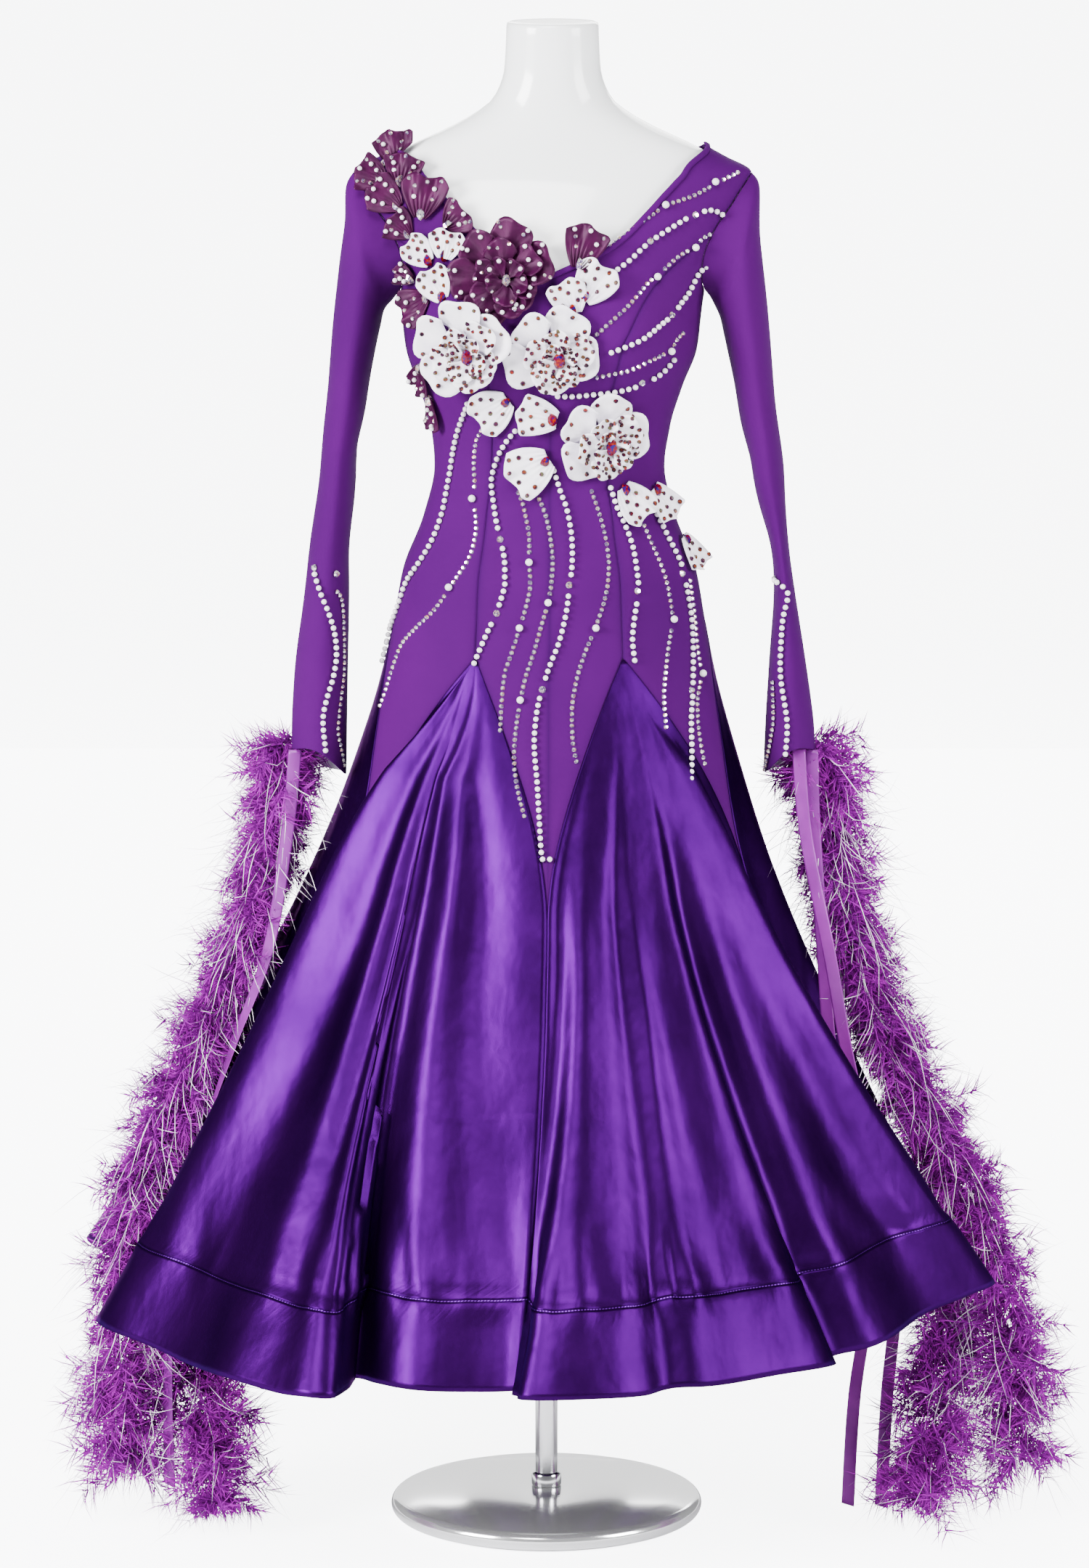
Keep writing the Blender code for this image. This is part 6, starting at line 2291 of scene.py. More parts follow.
@dataclass
class FlowerTrim:
    """Fan petals and layered flowers that lie on the bodice, with their stones.

    Attributes:
        cup: How far a petal's far edge stands out.
        flat: Width and length of a petal's flat rectangle for a mm of its table.
        least_cut: Least share of its flat rectangle for a petal's area; the clamped share is worked
            out but not used. Least share of its flat rectangle that is declared as a petal's area.
        petal_grid: Grid steps across and along a petal.
        layer_grid: The same for each petal of a flower.
        jitter: Greatest shift of a stone across a petal, and across a flower's petal.
        toward: How far a flower turns to the front.
        heart_out: How far a flower's middle stone stands out.
        wall: Thickness of the satin.
        clear: Least room between a trim and the cloth below it.
        random: The random generator of the stones' jitter.
    """

    cup: float = 0.0040
    flat: tuple[float, float] = (0.00135, 0.00140)
    least_cut: float = 0.31
    petal_grid: tuple[int, int] = (28, 18)
    layer_grid: tuple[int, int] = (16, 10)
    jitter: tuple[float, float] = (0.04, 0.05)
    toward: float = 0.15
    heart_out: float = 0.0105
    wall: float = 0.0009
    clear: float = 0.0008
    random: np.random.Generator = field(default_factory=lambda: np.random.default_rng(11))

    def build(self) -> list[Piece]:
        """Build the petals, the flowers and their stones.

        Returns:
            The pieces.
        """
        return [self.petal(spot) for spot in PETALS] + [self.flower(spot) for spot in FLOWERS]

    def on_gown(self, x: float, height: float, toward: float = 0.0) -> Laying:
        """A function that lays metres across, up and out on a stiff patch of the gown.

        Args:
            x: The patch's middle to the side, in mm.
            height: The patch's middle height, in mm.
            toward: How far the patch turns from the body's normal to the front.

        Returns:
            The function, whose points never come nearer to the cloth than their out.
        """
        angle = np.array([SURFACE.place_angle(0.001 * x, 0.001 * height)])
        tall = np.array([0.001 * height])
        middle = SURFACE.point(angle, tall)[0]
        normal = unit(SURFACE.normal(angle, tall)[0] + toward * np.array((0.0, -1.0, 0.1)))
        across = unit(np.cross(UP, normal))
        up = np.cross(normal, across)

        def lay(u: Array, v: Array, out: Array) -> Array:
            """Points at metres across, up and out."""
            flat = middle + u[:, None] * across + v[:, None] * up + out[:, None] * normal
            return SURFACE.pushed_out(flat, np.maximum(out, self.clear))
        return lay

    def petal_surface(self, spot: PetalSpot) -> SurfaceFunction:
        """A function of fan (0 to 1 across) and share (0 root to 1 edge).

        Args:
            spot: The table's row.

        Returns:
            The function.
        """
        lay = self.on_gown(spot.x, spot.height, spot.toward)
        style = STYLES[spot.white]
        turn = radians(spot.lean)
        length = style.long * spot.length
        width = style.wide * spot.width
        lift = 0.0014 * (spot.number % 3)
        phase = 0.37 * spot.x + 0.21 * spot.height

        def surface(u: Array, v: Array) -> Array:
            """Points of the petal, with its lobes, pleats and ruffled edge.

            Args:
                u: Shares across.
                v: Shares along.

            Returns:
                The points.
            """
            fan = 2.0 * u - 1.0
            share = 0.10 + 0.90 * v
            lobe = 1.0 - 0.18 * fan ** 4 - 0.045 * (1.0 - np.cos(5.2 * fan + phase))
            along = length * (share * lobe - 0.5)
            side = 0.5 * width * fan * share ** style.narrowing * (1.0 + 0.10 * np.sin(pi * v))
            across = side * cos(turn) + along * sin(turn)
            up = along * cos(turn) - side * sin(turn)
            gather = style.pleat * np.cos(24.0 * fan + phase) * (1.0 - v) ** 1.1 * np.sin(
                pi * clamped(v * 1.2 + 0.15))
            ruffle = 0.0028 * np.sin(5.5 * fan + phase) * v ** 2.5
            ruffle += 0.0011 * np.sin(13.0 * fan + 2.0 * phase) * v ** 4
            out = 0.001 * spot.out + lift + 1.3 * self.cup * share ** 2
            return lay(across, up, out + self.wall + self.clear + gather + ruffle)
        return surface

    def petal(self, spot: PetalSpot) -> Piece:
        """One fan petal with its scattered stones and root stone.

        Args:
            spot: The table's row.

        Returns:
            The piece.
        """
        surface = self.petal_surface(spot)
        style = STYLES[spot.white]
        piece = CLOTH.grid(spot.name, *self.petal_grid, surface)
        CLOTH.wall(piece, style.finish, thickness=self.wall)
        stand_for(piece, style.slot, spot.name)
        flat = (self.flat[0] * spot.width, self.flat[1] * spot.length)
        cloth = sum(face.area for face in piece.data.polygons)
        share = min(max(cloth / (flat[0] * flat[1]), self.least_cut), 1.0)
        self.stones(surface, style.rows, self.jitter[0], style)
        middle = (np.array([0.5]), np.array([0.10]))
        STONES.add(surface(*middle), self.facing(surface, *middle), style.root)
        return piece

    def facing(self, surface: SurfaceFunction, u: Array, v: Array) -> Array:
        """Outward normals of a trim's surface.

        Args:
            surface: The surface's function.
            u: Shares across.
            v: Shares along.

        Returns:
            The normals.
        """
        normal = normals_of(surface, np.clip(u, 0.03, 0.97), np.clip(v, 0.03, 0.97), 0.02, 0.02)
        wrong = (normal[:, :2] * surface(u, v)[:, :2]).sum(axis=1) < 0.0
        return np.where(wrong[:, None], -normal, normal)

    def stones(self, surface: SurfaceFunction, rows: tuple[StoneRow, ...], jitter: float,
               style: TrimStyle) -> None:
        """Scatter a style's two small stones on a petal, row by row.

        Args:
            surface: The petal's function.
            rows: Share from the root and count of each row.
            jitter: Greatest shift of a stone across, as a share.
            style: The trim's style.
        """
        for v, count in rows:
            u = (np.arange(count) + 0.5) / count
            u = u + self.random.uniform(-jitter, jitter, count)
            height = np.full(count, v)
            places = surface(u, height)
            normals = self.facing(surface, u, height)
            choice = self.random.integers(0, 2, count)
            for i, gem in enumerate(style.stones):
                mask = choice == i
                if mask.any():
                    STONES.add(places[mask], normals[mask], gem)

    def flower_surface(self, spot: FlowerSpot, lay: Laying, layer: PetalLayer, index: int,
                       k: int) -> SurfaceFunction:
        """A function of fan and share that gives points of one of a flower's petals.

        Args:
            spot: The table's row.
            lay: Lays places on the flower's patch of the gown.
            layer: The petal's layer.
            index: Number of the layer.
            k: Number of the petal in its layer.

        Returns:
            The function.
        """
        radius = 0.001 * spot.radius
        middle = 2.0 * pi * (k + layer.shift) / layer.count + spot.turn
        half = 1.18 * pi / layer.count
        reach = layer.reach * (1.0 + 0.12 * sin(2.3 * k + 1.7 * index + spot.turn))
        phase = 1.9 * k + 0.8 * index + spot.x

        def surface(u: Array, v: Array) -> Array:
            """Points of the petal, with its waved edge and its creases.

            Args:
                u: Shares across.
                v: Shares along.

            Returns:
                The points.
            """
            fan = 2.0 * u - 1.0
            outline = 1.0 - 0.36 * np.abs(fan) ** 3 - 0.045 * (1.0 - np.cos(6.0 * fan + phase))
            distance = radius * (layer.root + (reach - layer.root) * v * outline)
            turn = middle + half * fan * (0.55 + 0.45 * v)
            wave = 0.0030 * np.sin(4.6 * fan + phase) * v * v
            wave = wave + 0.0010 * np.sin(12.0 * fan + phase) * v ** 3
            crease = 0.0011 * np.cos(24.0 * fan + phase) * (1.0 - v) * v * 3.0
            overlap = 0.0022 * fan
            out = (0.001 * spot.out + layer.base + layer.curl * (v ** 2 - 0.45 * v)
                   + wave + crease + overlap)
            return lay(distance * np.sin(turn) + layer.aside * radius,
                       distance * np.cos(turn) - layer.aside * radius, out)
        return surface

    def flower(self, spot: FlowerSpot) -> Piece:
        """A flower of three layers of petals round a large stone.

        Args:
            spot: The table's row.

        Returns:
            The piece.
        """
        lay = self.on_gown(spot.x, spot.height, self.toward)
        style = STYLES[spot.white]
        layers = table_of(PetalLayer, (
            (spot.lobes, 1.00, 0.20, 0.0036, 0.0060, 0.0, -0.08),
            (spot.lobes, 0.72, 0.12, 0.0072, 0.0085, 0.5, 0.06),
            (max(spot.lobes - 1, 4), 0.45, 0.06, 0.0100, 0.0115, 0.25, 0.08),
        ))
        petals = []
        for index, layer in enumerate(layers):
            for k in range(layer.count):
                surface = self.flower_surface(spot, lay, layer, index, k)
                petals.append(CLOTH.grid("flower_petal", *self.layer_grid, surface))
                self.stones(surface, style.flower_rows[index], self.jitter[1], style)
        piece = CLOTH.joined(spot.name, petals)
        CLOTH.wall(piece, style.finish, thickness=self.wall)
        stand_for(piece, style.slot, spot.name)
        aside = 0.001 * layers[-1].aside * spot.radius
        out = 0.001 * spot.out + self.heart_out
        heart = lay(np.array([aside]), np.array([-aside]), np.array([out]))
        angle = SURFACE.place_angle(0.001 * spot.x, 0.001 * spot.height)
        facing = SURFACE.normal(np.array([angle]), np.array([0.001 * spot.height]))
        STONES.add(heart, facing, style.heart)
        return piece


class BeadLine(NamedTuple):
    """A line of beads by pixels of the photograph, with its larger beads."""

    bead: Gem
    pixels: tuple[Pixel, ...]
    crystals: tuple[Pixel, ...] = ()
    pearls: tuple[Pixel, ...] = ()


BODY_LINES = (
    BeadLine(PEARL_BEAD, (
        (645, 555), (635, 584), (628, 611), (622, 650), (618, 672), (611, 707), (598, 743),
        (581, 773), (563, 800), (552, 830), (539, 868), (529, 903))),
    BeadLine(RHINESTONE, (
        (667, 587), (656, 608), (653, 639), (654, 666), (652, 687), (656, 715), (655, 738),
        (646, 769), (620, 809), (600, 838), (573, 865), (554, 887), (542, 918), (531, 953),
        (524, 972)), pearls=((652, 687), (620, 809))),
    BeadLine(PEARL_BEAD, (
        (710, 593), (694, 614), (684, 636), (678, 663), (681, 694), (685, 721), (695, 767),
        (696, 795), (695, 811), (684, 845), (669, 878), (654, 914)),
        crystals=((689, 743), (684, 845))),
    BeadLine(RHINESTONE, (
        (714, 679), (720, 694), (726, 721), (729, 742), (729, 775), (730, 811), (722, 845),
        (716, 865), (705, 899), (695, 930), (691, 968), (689, 1006)),
        pearls=((729, 775), (716, 865))),
    BeadLine(RHINESTONE, (
        (739, 680), (750, 705), (757, 734), (761, 767), (760, 798), (755, 830), (745, 865),
        (734, 903), (724, 933), (717, 965), (711, 1002), (708, 1044), (712, 1083),
        (722, 1124)), pearls=((755, 830), (717, 965))),
    BeadLine(PEARL_BEAD, (
        (763, 648), (772, 678), (780, 700), (786, 731), (788, 758), (787, 786), (784, 806),
        (780, 842), (770, 884), (757, 918), (747, 950), (740, 979), (736, 1025), (740, 1079),
        (743, 1132), (747, 1186), (757, 1217)), crystals=((784, 806), (747, 950))),
    BeadLine(RHINESTONE, (
        (815, 677), (823, 700), (832, 731), (838, 767), (838, 795), (833, 826), (820, 865),
        (806, 899), (795, 933), (788, 975), (789, 1021), (794, 1049)), pearls=((820, 865),)),
    BeadLine(PEARL_BEAD, (
        (840, 672), (849, 700), (860, 724), (870, 752), (876, 787), (878, 814), (873, 849),
        (870, 880), (873, 910)), crystals=((878, 814),)),
    BeadLine(RHINESTONE, (
        (887, 724), (899, 752), (911, 780), (920, 811), (926, 853), (921, 887), (916, 930),
        (914, 960), (917, 1002)), pearls=((926, 853),)),
    BeadLine(PEARL_BEAD, (
        (903, 709), (918, 740), (933, 770), (939, 790), (948, 834), (952, 880), (952, 951),
        (950, 991), (951, 1037), (950, 1073)), crystals=((939, 790), (952, 951))),
    BeadLine(RHINESTONE, (
        (950, 800), (957, 853), (960, 891), (965, 928), (960, 968), (963, 1014), (970, 1052)),
        pearls=((965, 928),)),
    BeadLine(RHINESTONE, (
        (835, 345), (846, 333), (865, 319), (883, 307), (901, 294), (916, 283), (935, 277),
        (959, 268), (977, 258), (1001, 245), (1016, 238)), pearls=((916, 283), (984, 251))),
    BeadLine(PEARL_BEAD, (
        (842, 377), (865, 360), (883, 343), (896, 332), (914, 320), (933, 308), (947, 300),
        (969, 291), (982, 290), (993, 295)), crystals=((896, 332), (958, 296))),
    BeadLine(RHINESTONE, (
        (822, 461), (841, 444), (862, 425), (880, 405), (893, 389), (904, 381), (920, 366),
        (935, 353), (956, 340), (967, 329), (977, 323)), pearls=((904, 381), (956, 340))),
    BeadLine(PEARL_BEAD, (
        (842, 485), (863, 477), (883, 468), (899, 456), (914, 443), (925, 434), (935, 419),
        (946, 404), (954, 388), (961, 375), (970, 367)), crystals=((925, 434),)),
    BeadLine(RHINESTONE, (
        (822, 520), (841, 516), (857, 513), (875, 507), (893, 498), (922, 483), (931, 469),
        (940, 459)), pearls=((922, 483),)),
    BeadLine(PEARL_BEAD, (
        (768, 545), (791, 545), (820, 542), (846, 539), (873, 532), (884, 527), (901, 519),
        (915, 508), (926, 495)), crystals=((884, 527),)),
)
LEFT_SLEEVE_LINES = (
    BeadLine(PEARL_BEAD, (
        (435, 782), (443, 815), (451, 842), (458, 872), (460, 903), (456, 933), (449, 960),
        (444, 991), (447, 1033)), crystals=((435, 782),)),
    BeadLine(RHINESTONE, (
        (463, 815), (470, 834), (472, 918), (467, 968), (464, 1006), (468, 1030), (472, 1054)),
        crystals=((462, 790),)),
)
RIGHT_SLEEVE_LINES = (
    BeadLine(PEARL_BEAD, (
        (1069, 797), (1083, 815), (1080, 864), (1078, 929), (1085, 994), (1083, 1038)),
        crystals=((1069, 797),)),
    BeadLine(RHINESTONE, (
        (1066, 940), (1067, 987), (1064, 1014), (1060, 1037), (1055, 1060))),
)


@dataclass
class BeadWork:
    """The lines of pearls and rhinestones on the body and the sleeves.

    Attributes:
        body: The jersey that they lie on.
        pitch: Spacing of the beads of a line.
        clear: Least distance of a bead from one of the line's larger beads.
        angles: Angles round the body at which places are searched.
        heights: Heights on the body at which places are searched.
        turns: Turns round a sleeve at which places are searched.
        shares: Shares of a sleeve's length at which places are searched.
        sleeve_lift: How far the beads stand out on the sleeves.
    """

    body: JerseyBody
    pitch: dict[StoneKind, float] = field(
        default_factory=lambda: {StoneKind.PEARL: 0.0070, StoneKind.CLEAR: 0.0060})
    clear: float = 0.0062
    angles: Array = field(default_factory=lambda: np.linspace(-88.0, 88.0, 353))
    heights: Array = field(default_factory=lambda: np.linspace(0.74, 1.42, 273))
    turns: Array = field(default_factory=lambda: np.linspace(2.0, 178.0, 177))
    shares: Array = field(default_factory=lambda: np.linspace(0.35, 1.0, 261))
    sleeve_lift: float = 0.0014

    def build(self) -> None:
        """Set every line's beads."""
        for line in BODY_LINES:
            self.line(line, SURFACE.point, SURFACE.normal, self.angles, self.heights)
        for stations, lines in ((SLEEVE_L, LEFT_SLEEVE_LINES), (SLEEVE_R, RIGHT_SLEEVE_LINES)):
            surface = self.body.sleeve_surface(stations)

            def normal(turn: Array, v: Array, surface: SurfaceFunction = surface) -> Array:
                """Normals of the sleeve that look to the front."""
                facing = normals_of(surface, turn, np.clip(v, 0.02, 0.98), 1.0, 0.004)
                return np.where(facing[:, 1:2] > 0.0, -facing, facing)

            for line in lines:
                self.line(line, surface, normal, self.turns, self.shares, self.sleeve_lift)

    def line(self, line: BeadLine, surface: SurfaceFunction, normal: SurfaceFunction,
             u: Array, v: Array, lift: float = 0.0003) -> None:
        """Set one line: even beads along it and its larger beads where they are.

        Args:
            line: The line.
            surface: The surface's function.
            normal: The function of its normals.
            u: Values of the first parameter to search.
            v: Values of the second parameter to search.
            lift: How far the beads stand out.
        """
        smooth = catmull(np.array(line.pixels, float),
                         np.linspace(0.0, len(line.pixels) - 1.0, 8 * len(line.pixels)))
        places = CAMERA.find(surface, u, v, smooth)
        points = surface(places[:, 0], places[:, 1])
        gaps = np.linalg.norm(np.diff(points, axis=0), axis=1)
        lengths = np.concatenate([[0.0], np.cumsum(gaps)])
        count = max(2, int(lengths[-1] / self.pitch[line.bead.kind]))
        marks = np.linspace(0.0, lengths[-1], count + 1)
        at_u = np.interp(marks, lengths, places[:, 0])
        at_v = np.interp(marks, lengths, places[:, 1])
        beads = surface(at_u, at_v)
        facing = normal(at_u, at_v)
        keep = np.ones(len(beads), bool)
        for kind, pixels in ((CRYSTAL, line.crystals), (BIG_PEARL, line.pearls)):
            if not pixels:
                continue
            spots = CAMERA.find(surface, u, v, np.array(pixels, float))
            where = surface(spots[:, 0], spots[:, 1])
            for spot in where:
                keep &= np.linalg.norm(beads - spot, axis=1) > self.clear
            out = normal(spots[:, 0], spots[:, 1])
            STONES.add(where + lift * out, out, kind)
        STONES.add(beads[keep] + lift * facing[keep], facing[keep], line.bead)


@dataclass
class FeatherBoa:
    """Marabou boas of many plumes, with longer white-tipped ostrich barbs.

    Attributes:
        plumes: Number of plumes on a boa.
        barbs_each: Number of barbs on a plume.
        long: Number of long barbs on a boa.
        core: Radius of the core.
        clear: Least room between a barb and the skirt.
        sides: How far the barbs may reach to the right and to the left.
        short_reach: Least and greatest length of a plume.
        long_reach: Least and greatest length of a long barb.
        widths: Width at the root of a short and of a long barb.
        heights: Heights at which the skirt is measured.
        radii: The skirt's radius at these heights for each degree.
    """

    plumes: int = 820
    barbs_each: int = 39
    long: int = 950
    core: float = 0.0035
    clear: float = 0.003
    sides: tuple[float, float] = (-0.519, 0.557)
    short_reach: tuple[float, float] = (0.030, 0.056)
    long_reach: tuple[float, float] = (0.045, 0.095)
    widths: tuple[float, float] = (0.0014, 0.0011)
    heights: Array = field(default_factory=lambda: np.linspace(SURFACE.hem, 0.93, 60))
    radii: Array = field(default_factory=lambda: np.zeros((60, 361)))

    def build(self, skirt: GodetSkirt) -> list[Piece]:
        """Build the four boas."""
        self.outline(skirt)
        return [self.boa(name, seed) for seed, name in enumerate(BOAS)]

    def outline(self, skirt: GodetSkirt) -> None:
        """Measure the skirt's radius round the axis at close heights.

        Args:
            skirt: The skirt.
        """
        bins = np.arange(361)
        for i, height in enumerate(self.heights):
            for name, cut in GODETS.items():
                if height > cut.apex - 0.002:
                    continue
                position = np.linspace(0.0, len(FOLDS[name]) - 1.0, 240)
                points = skirt.surface(name)(position, np.full(240, height))
                np.maximum.at(self.radii[i], self.bearing(points),
                              np.hypot(points[:, 0], points[:, 1]))
            known = self.radii[i] > 0.0
            if known.any():
                self.radii[i] = np.interp(bins, bins[known], self.radii[i][known], period=360)

    def bearing(self, points: Array) -> Array:
        """Whole degrees round the axis at which points lie."""
        return (np.rint(np.degrees(np.arctan2(points[..., 0], -points[..., 1]))) % 360).astype(int)

    def room(self, points: Array) -> Array:
        """How far points lie outside the skirt, measured from the axis.

        Args:
            points: The points.

        Returns:
            The distances, below zero inside the skirt.
        """
        row = (points[..., 2] - self.heights[0]) / (self.heights[1] - self.heights[0])
        row = np.clip(np.rint(row), 0, len(self.heights) - 1).astype(int)
        gap = np.hypot(points[..., 0], points[..., 1]) - self.radii[row, self.bearing(points)]
        return np.where(points[..., 2] < SURFACE.hem - 0.004, 1.0, gap)

    def boa(self, name: str, seed: int) -> Piece:
        """One boa: plumes of short barbs all round the core, and the long barbs.

        Args:
            name: The boa's name.
            seed: Its number, which sets its draws.

        Returns:
            The piece.
        """
        random = np.random.default_rng(31 + seed)
        route = smooth_route(np.array(BOAS[name], float), 200)
        strips = [self.fluff(route, random), self.ostrich(route, random)]
        points = []
        faces = []
        uvs = []
        start = 0
        for spots, widths, kind in strips:
            made = self.strip(self.within(spots), widths, kind, random)
            points.append(made[0])
            uvs.append(made[1])
            faces.append(made[2] + start)
            start += len(made[0])
        mesh = bpy.data.meshes.new("boa_" + name)
        mesh.from_pydata(np.concatenate(points), [], np.concatenate(faces).tolist())
        layer = mesh.uv_layers.new(name="UVMap")
        corner = np.empty(len(mesh.loops), int)
        mesh.loops.foreach_get("vertex_index", corner)
        layer.data.foreach_set("uv", np.concatenate(uvs)[corner].ravel())
        mesh.shade_smooth()
        mesh.materials.append(FEATHER.make())
        piece = linked("boa_" + name, mesh)
        stand_for(piece, "feather", "boa_" + name)
        return piece

    def roots(self, route: Array, count: int,
              random: np.random.Generator) -> tuple[Array, Array, Array]:
        """Places on the core and directions out of it.

        Args:
            route: Points along the boa's middle.
            count: Number of places.
            random: The boa's own random generator.

        Returns:
            The places, the directions and how far each lies along the boa, 0 to 1.
        """
        place = random.uniform(0.0, len(route) - 1.001, count)
        i = place.astype(int)
        t = (place - i)[:, None]
        along = unit(route[i + 1] - route[i])
        side = unit(np.cross(along, np.array((0.0, 1.0, 0.0))))
        other = np.cross(side, along)
        turn = random.uniform(0.0, 2.0 * pi, count)[:, None]
        lean = random.uniform(-0.25, 0.7, count)[:, None]
        out = unit(side * np.cos(turn) + other * np.sin(turn) + lean * along)
        return route[i] * (1.0 - t) + route[i + 1] * t + self.core * out, out, place / len(route)

    def fitting(self, start: Array, out: Array, size: Array) -> Array:
        """Sizes cut down until a barb's tip and middle keep clear of skirt and floor.

        Args:
            start: The barbs' roots.
            out: Their directions.
            size: Their sizes.

        Returns:
            The sizes that fit.
        """
        for _attempt in range(4):
            tip = start + size[:, None] * out
            middle = start + 0.55 * size[:, None] * out
            tight = (self.room(tip) < self.clear) | (self.room(middle) < self.clear)
            tight |= tip[:, 2] < 0.003
            size = np.where(tight, 0.6 * size, size)
        return size

    def within(self, spots: Array) -> Array:
        """Draw back to their roots the barbs that would reach past the sides.

        Args:
            spots: Points along each barb, root first.

        Returns:
            The points, with the long reaches shortened.
        """
        root = spots[:, :1]
        right, left = self.sides
        shift = spots[..., 0] - root[..., 0]
        room = np.where(shift > 0.0, left - root[..., 0], root[..., 0] - right)
        over = np.maximum(np.abs(shift) / np.maximum(room, 0.001), 1.0).max(axis=1)
        return root + (spots - root) / (over ** 1.4)[:, None, None]

    def fluff(self, route: Array, random: np.random.Generator) -> tuple[Array, Array, float]:
        """Middle lines of the short barbs, plume by plume.

        Args:
            route: Points along its middle.
            random: The boa's own random generator.

        Returns:
            Their points, their widths and the number of their kind.
        """
        root, out, share = self.roots(route, self.plumes, random)
        length = random.uniform(*self.short_reach, self.plumes)
        length = length * (1.0 + 0.30 * smoothstep((0.26 - root[:, 2]) / 0.08))
        length = length * (0.80 + 0.20 * np.sin(37.0 * share + 2.0 * np.sin(90.0 * share)))
        out = unit(out - 0.35 * UP)
        length = self.fitting(root, out, 1.5 * length) / 1.5
        each = np.repeat(np.arange(self.plumes), self.barbs_each)
        count = len(each)
        along = random.uniform(0.0, 1.0, count)
        axis = out[each]
        start = root[each] + (along * length[each])[:, None] * axis
        wild = random.normal(size=(count, 3))
        side = unit(wild - (wild * axis).sum(axis=1)[:, None] * axis)
        aim = unit(axis * random.uniform(0.5, 1.1, count)[:, None] + side)
        size = length[each] * random.uniform(0.45, 0.85, count) * (1.0 - 0.3 * along)
        size = self.fitting(start, aim, size)
        curl = unit(np.cross(aim, random.normal(size=(count, 3))))
        spots = []
        for step in (0.0, 0.5, 1.0):
            bend = 0.22 * step * step * size[:, None] * curl
            spots.append(start + step * size[:, None] * aim + bend)
        return np.stack(spots, axis=1), np.full(count, self.widths[0]), 0.0

    def ostrich(self, route: Array, random: np.random.Generator) -> tuple[Array, Array, float]:
        """Middle lines of the long barbs, which droop and curl.

        Args:
            route: Points along its middle.
            random: The boa's own random generator.

        Returns:
            Their points, their widths and the number of their kind.
        """
        root, out, share = self.roots(route, self.long, random)
        size = random.uniform(*self.long_reach, self.long)
        droop = random.uniform(0.5, 1.3, self.long)[:, None]
        size = self.fitting(root, unit(out - 0.5 * droop * UP), size)
        size = np.where(self.room(root + 0.6 * size[:, None] * out) < 0.0, 0.3 * size, size)
        curl = unit(np.cross(out, random.normal(size=(self.long, 3))))
        hook = random.uniform(-0.75, 0.75, self.long)[:, None]
        spots = []
        for step in (0.0, 0.25, 0.5, 0.75, 1.0):
            spot = root + size[:, None] * (
                step * out - 0.55 * droop * step * step * UP + hook * step ** 3 * curl)
            spots.append(spot)
        return np.stack(spots, axis=1), np.full(self.long, self.widths[1]), 1.0

    def strip(self, spots: Array, widths: Array, kind: float,
              random: np.random.Generator) -> tuple[Array, Array, Array]:
        """Tapered strips along barbs' middle lines.

        Args:
            spots: Middle points, as an array of (barbs, points, 3).
            widths: Width of each barb at its root.
            kind: Number that the UVs carry for the kind of barb.
            random: The boa's own random generator.

        Returns:
            The points, their UVs and the triangles.
        """
        count, steps, _three = spots.shape
        spots = spots.copy()
        spots[..., 2] = np.maximum(spots[..., 2], 0.001)
        aim = spots[:, 1] - spots[:, 0]
        across = unit(np.cross(aim, random.normal(size=(count, 3))))[:, None]
        taper = 1.0 - 0.55 * np.linspace(0.0, 1.0, steps)[None, :, None]
        half = 0.5 * widths[:, None, None] * taper * across
        left = (spots - half)[:, :-1]
        right = (spots + half)[:, :-1]
        pairs = np.stack([left, right], axis=2).reshape(count, 2 * steps - 2, 3)
        points = np.concatenate([pairs, spots[:, -1:]], axis=1)
        levels = np.repeat(np.linspace(0.0, 1.0, steps)[:-1], 2)
        levels = np.append(levels, 1.0)
        uvs = np.stack([np.full(points.shape[:2], kind),
                        np.broadcast_to(levels, points.shape[:2])], axis=-1)
        base = []
        for row in range(steps - 2):
            base.append((2 * row, 2 * row + 1, 2 * row + 3))
            base.append((2 * row, 2 * row + 3, 2 * row + 2))
        base.append((2 * steps - 4, 2 * steps - 3, 2 * steps - 2))
        each = 2 * steps - 1
        faces = np.array(base)[None] + each * np.arange(count)[:, None, None]
        return points.reshape(-1, 3), uvs.reshape(-1, 2), faces.reshape(-1, 3)


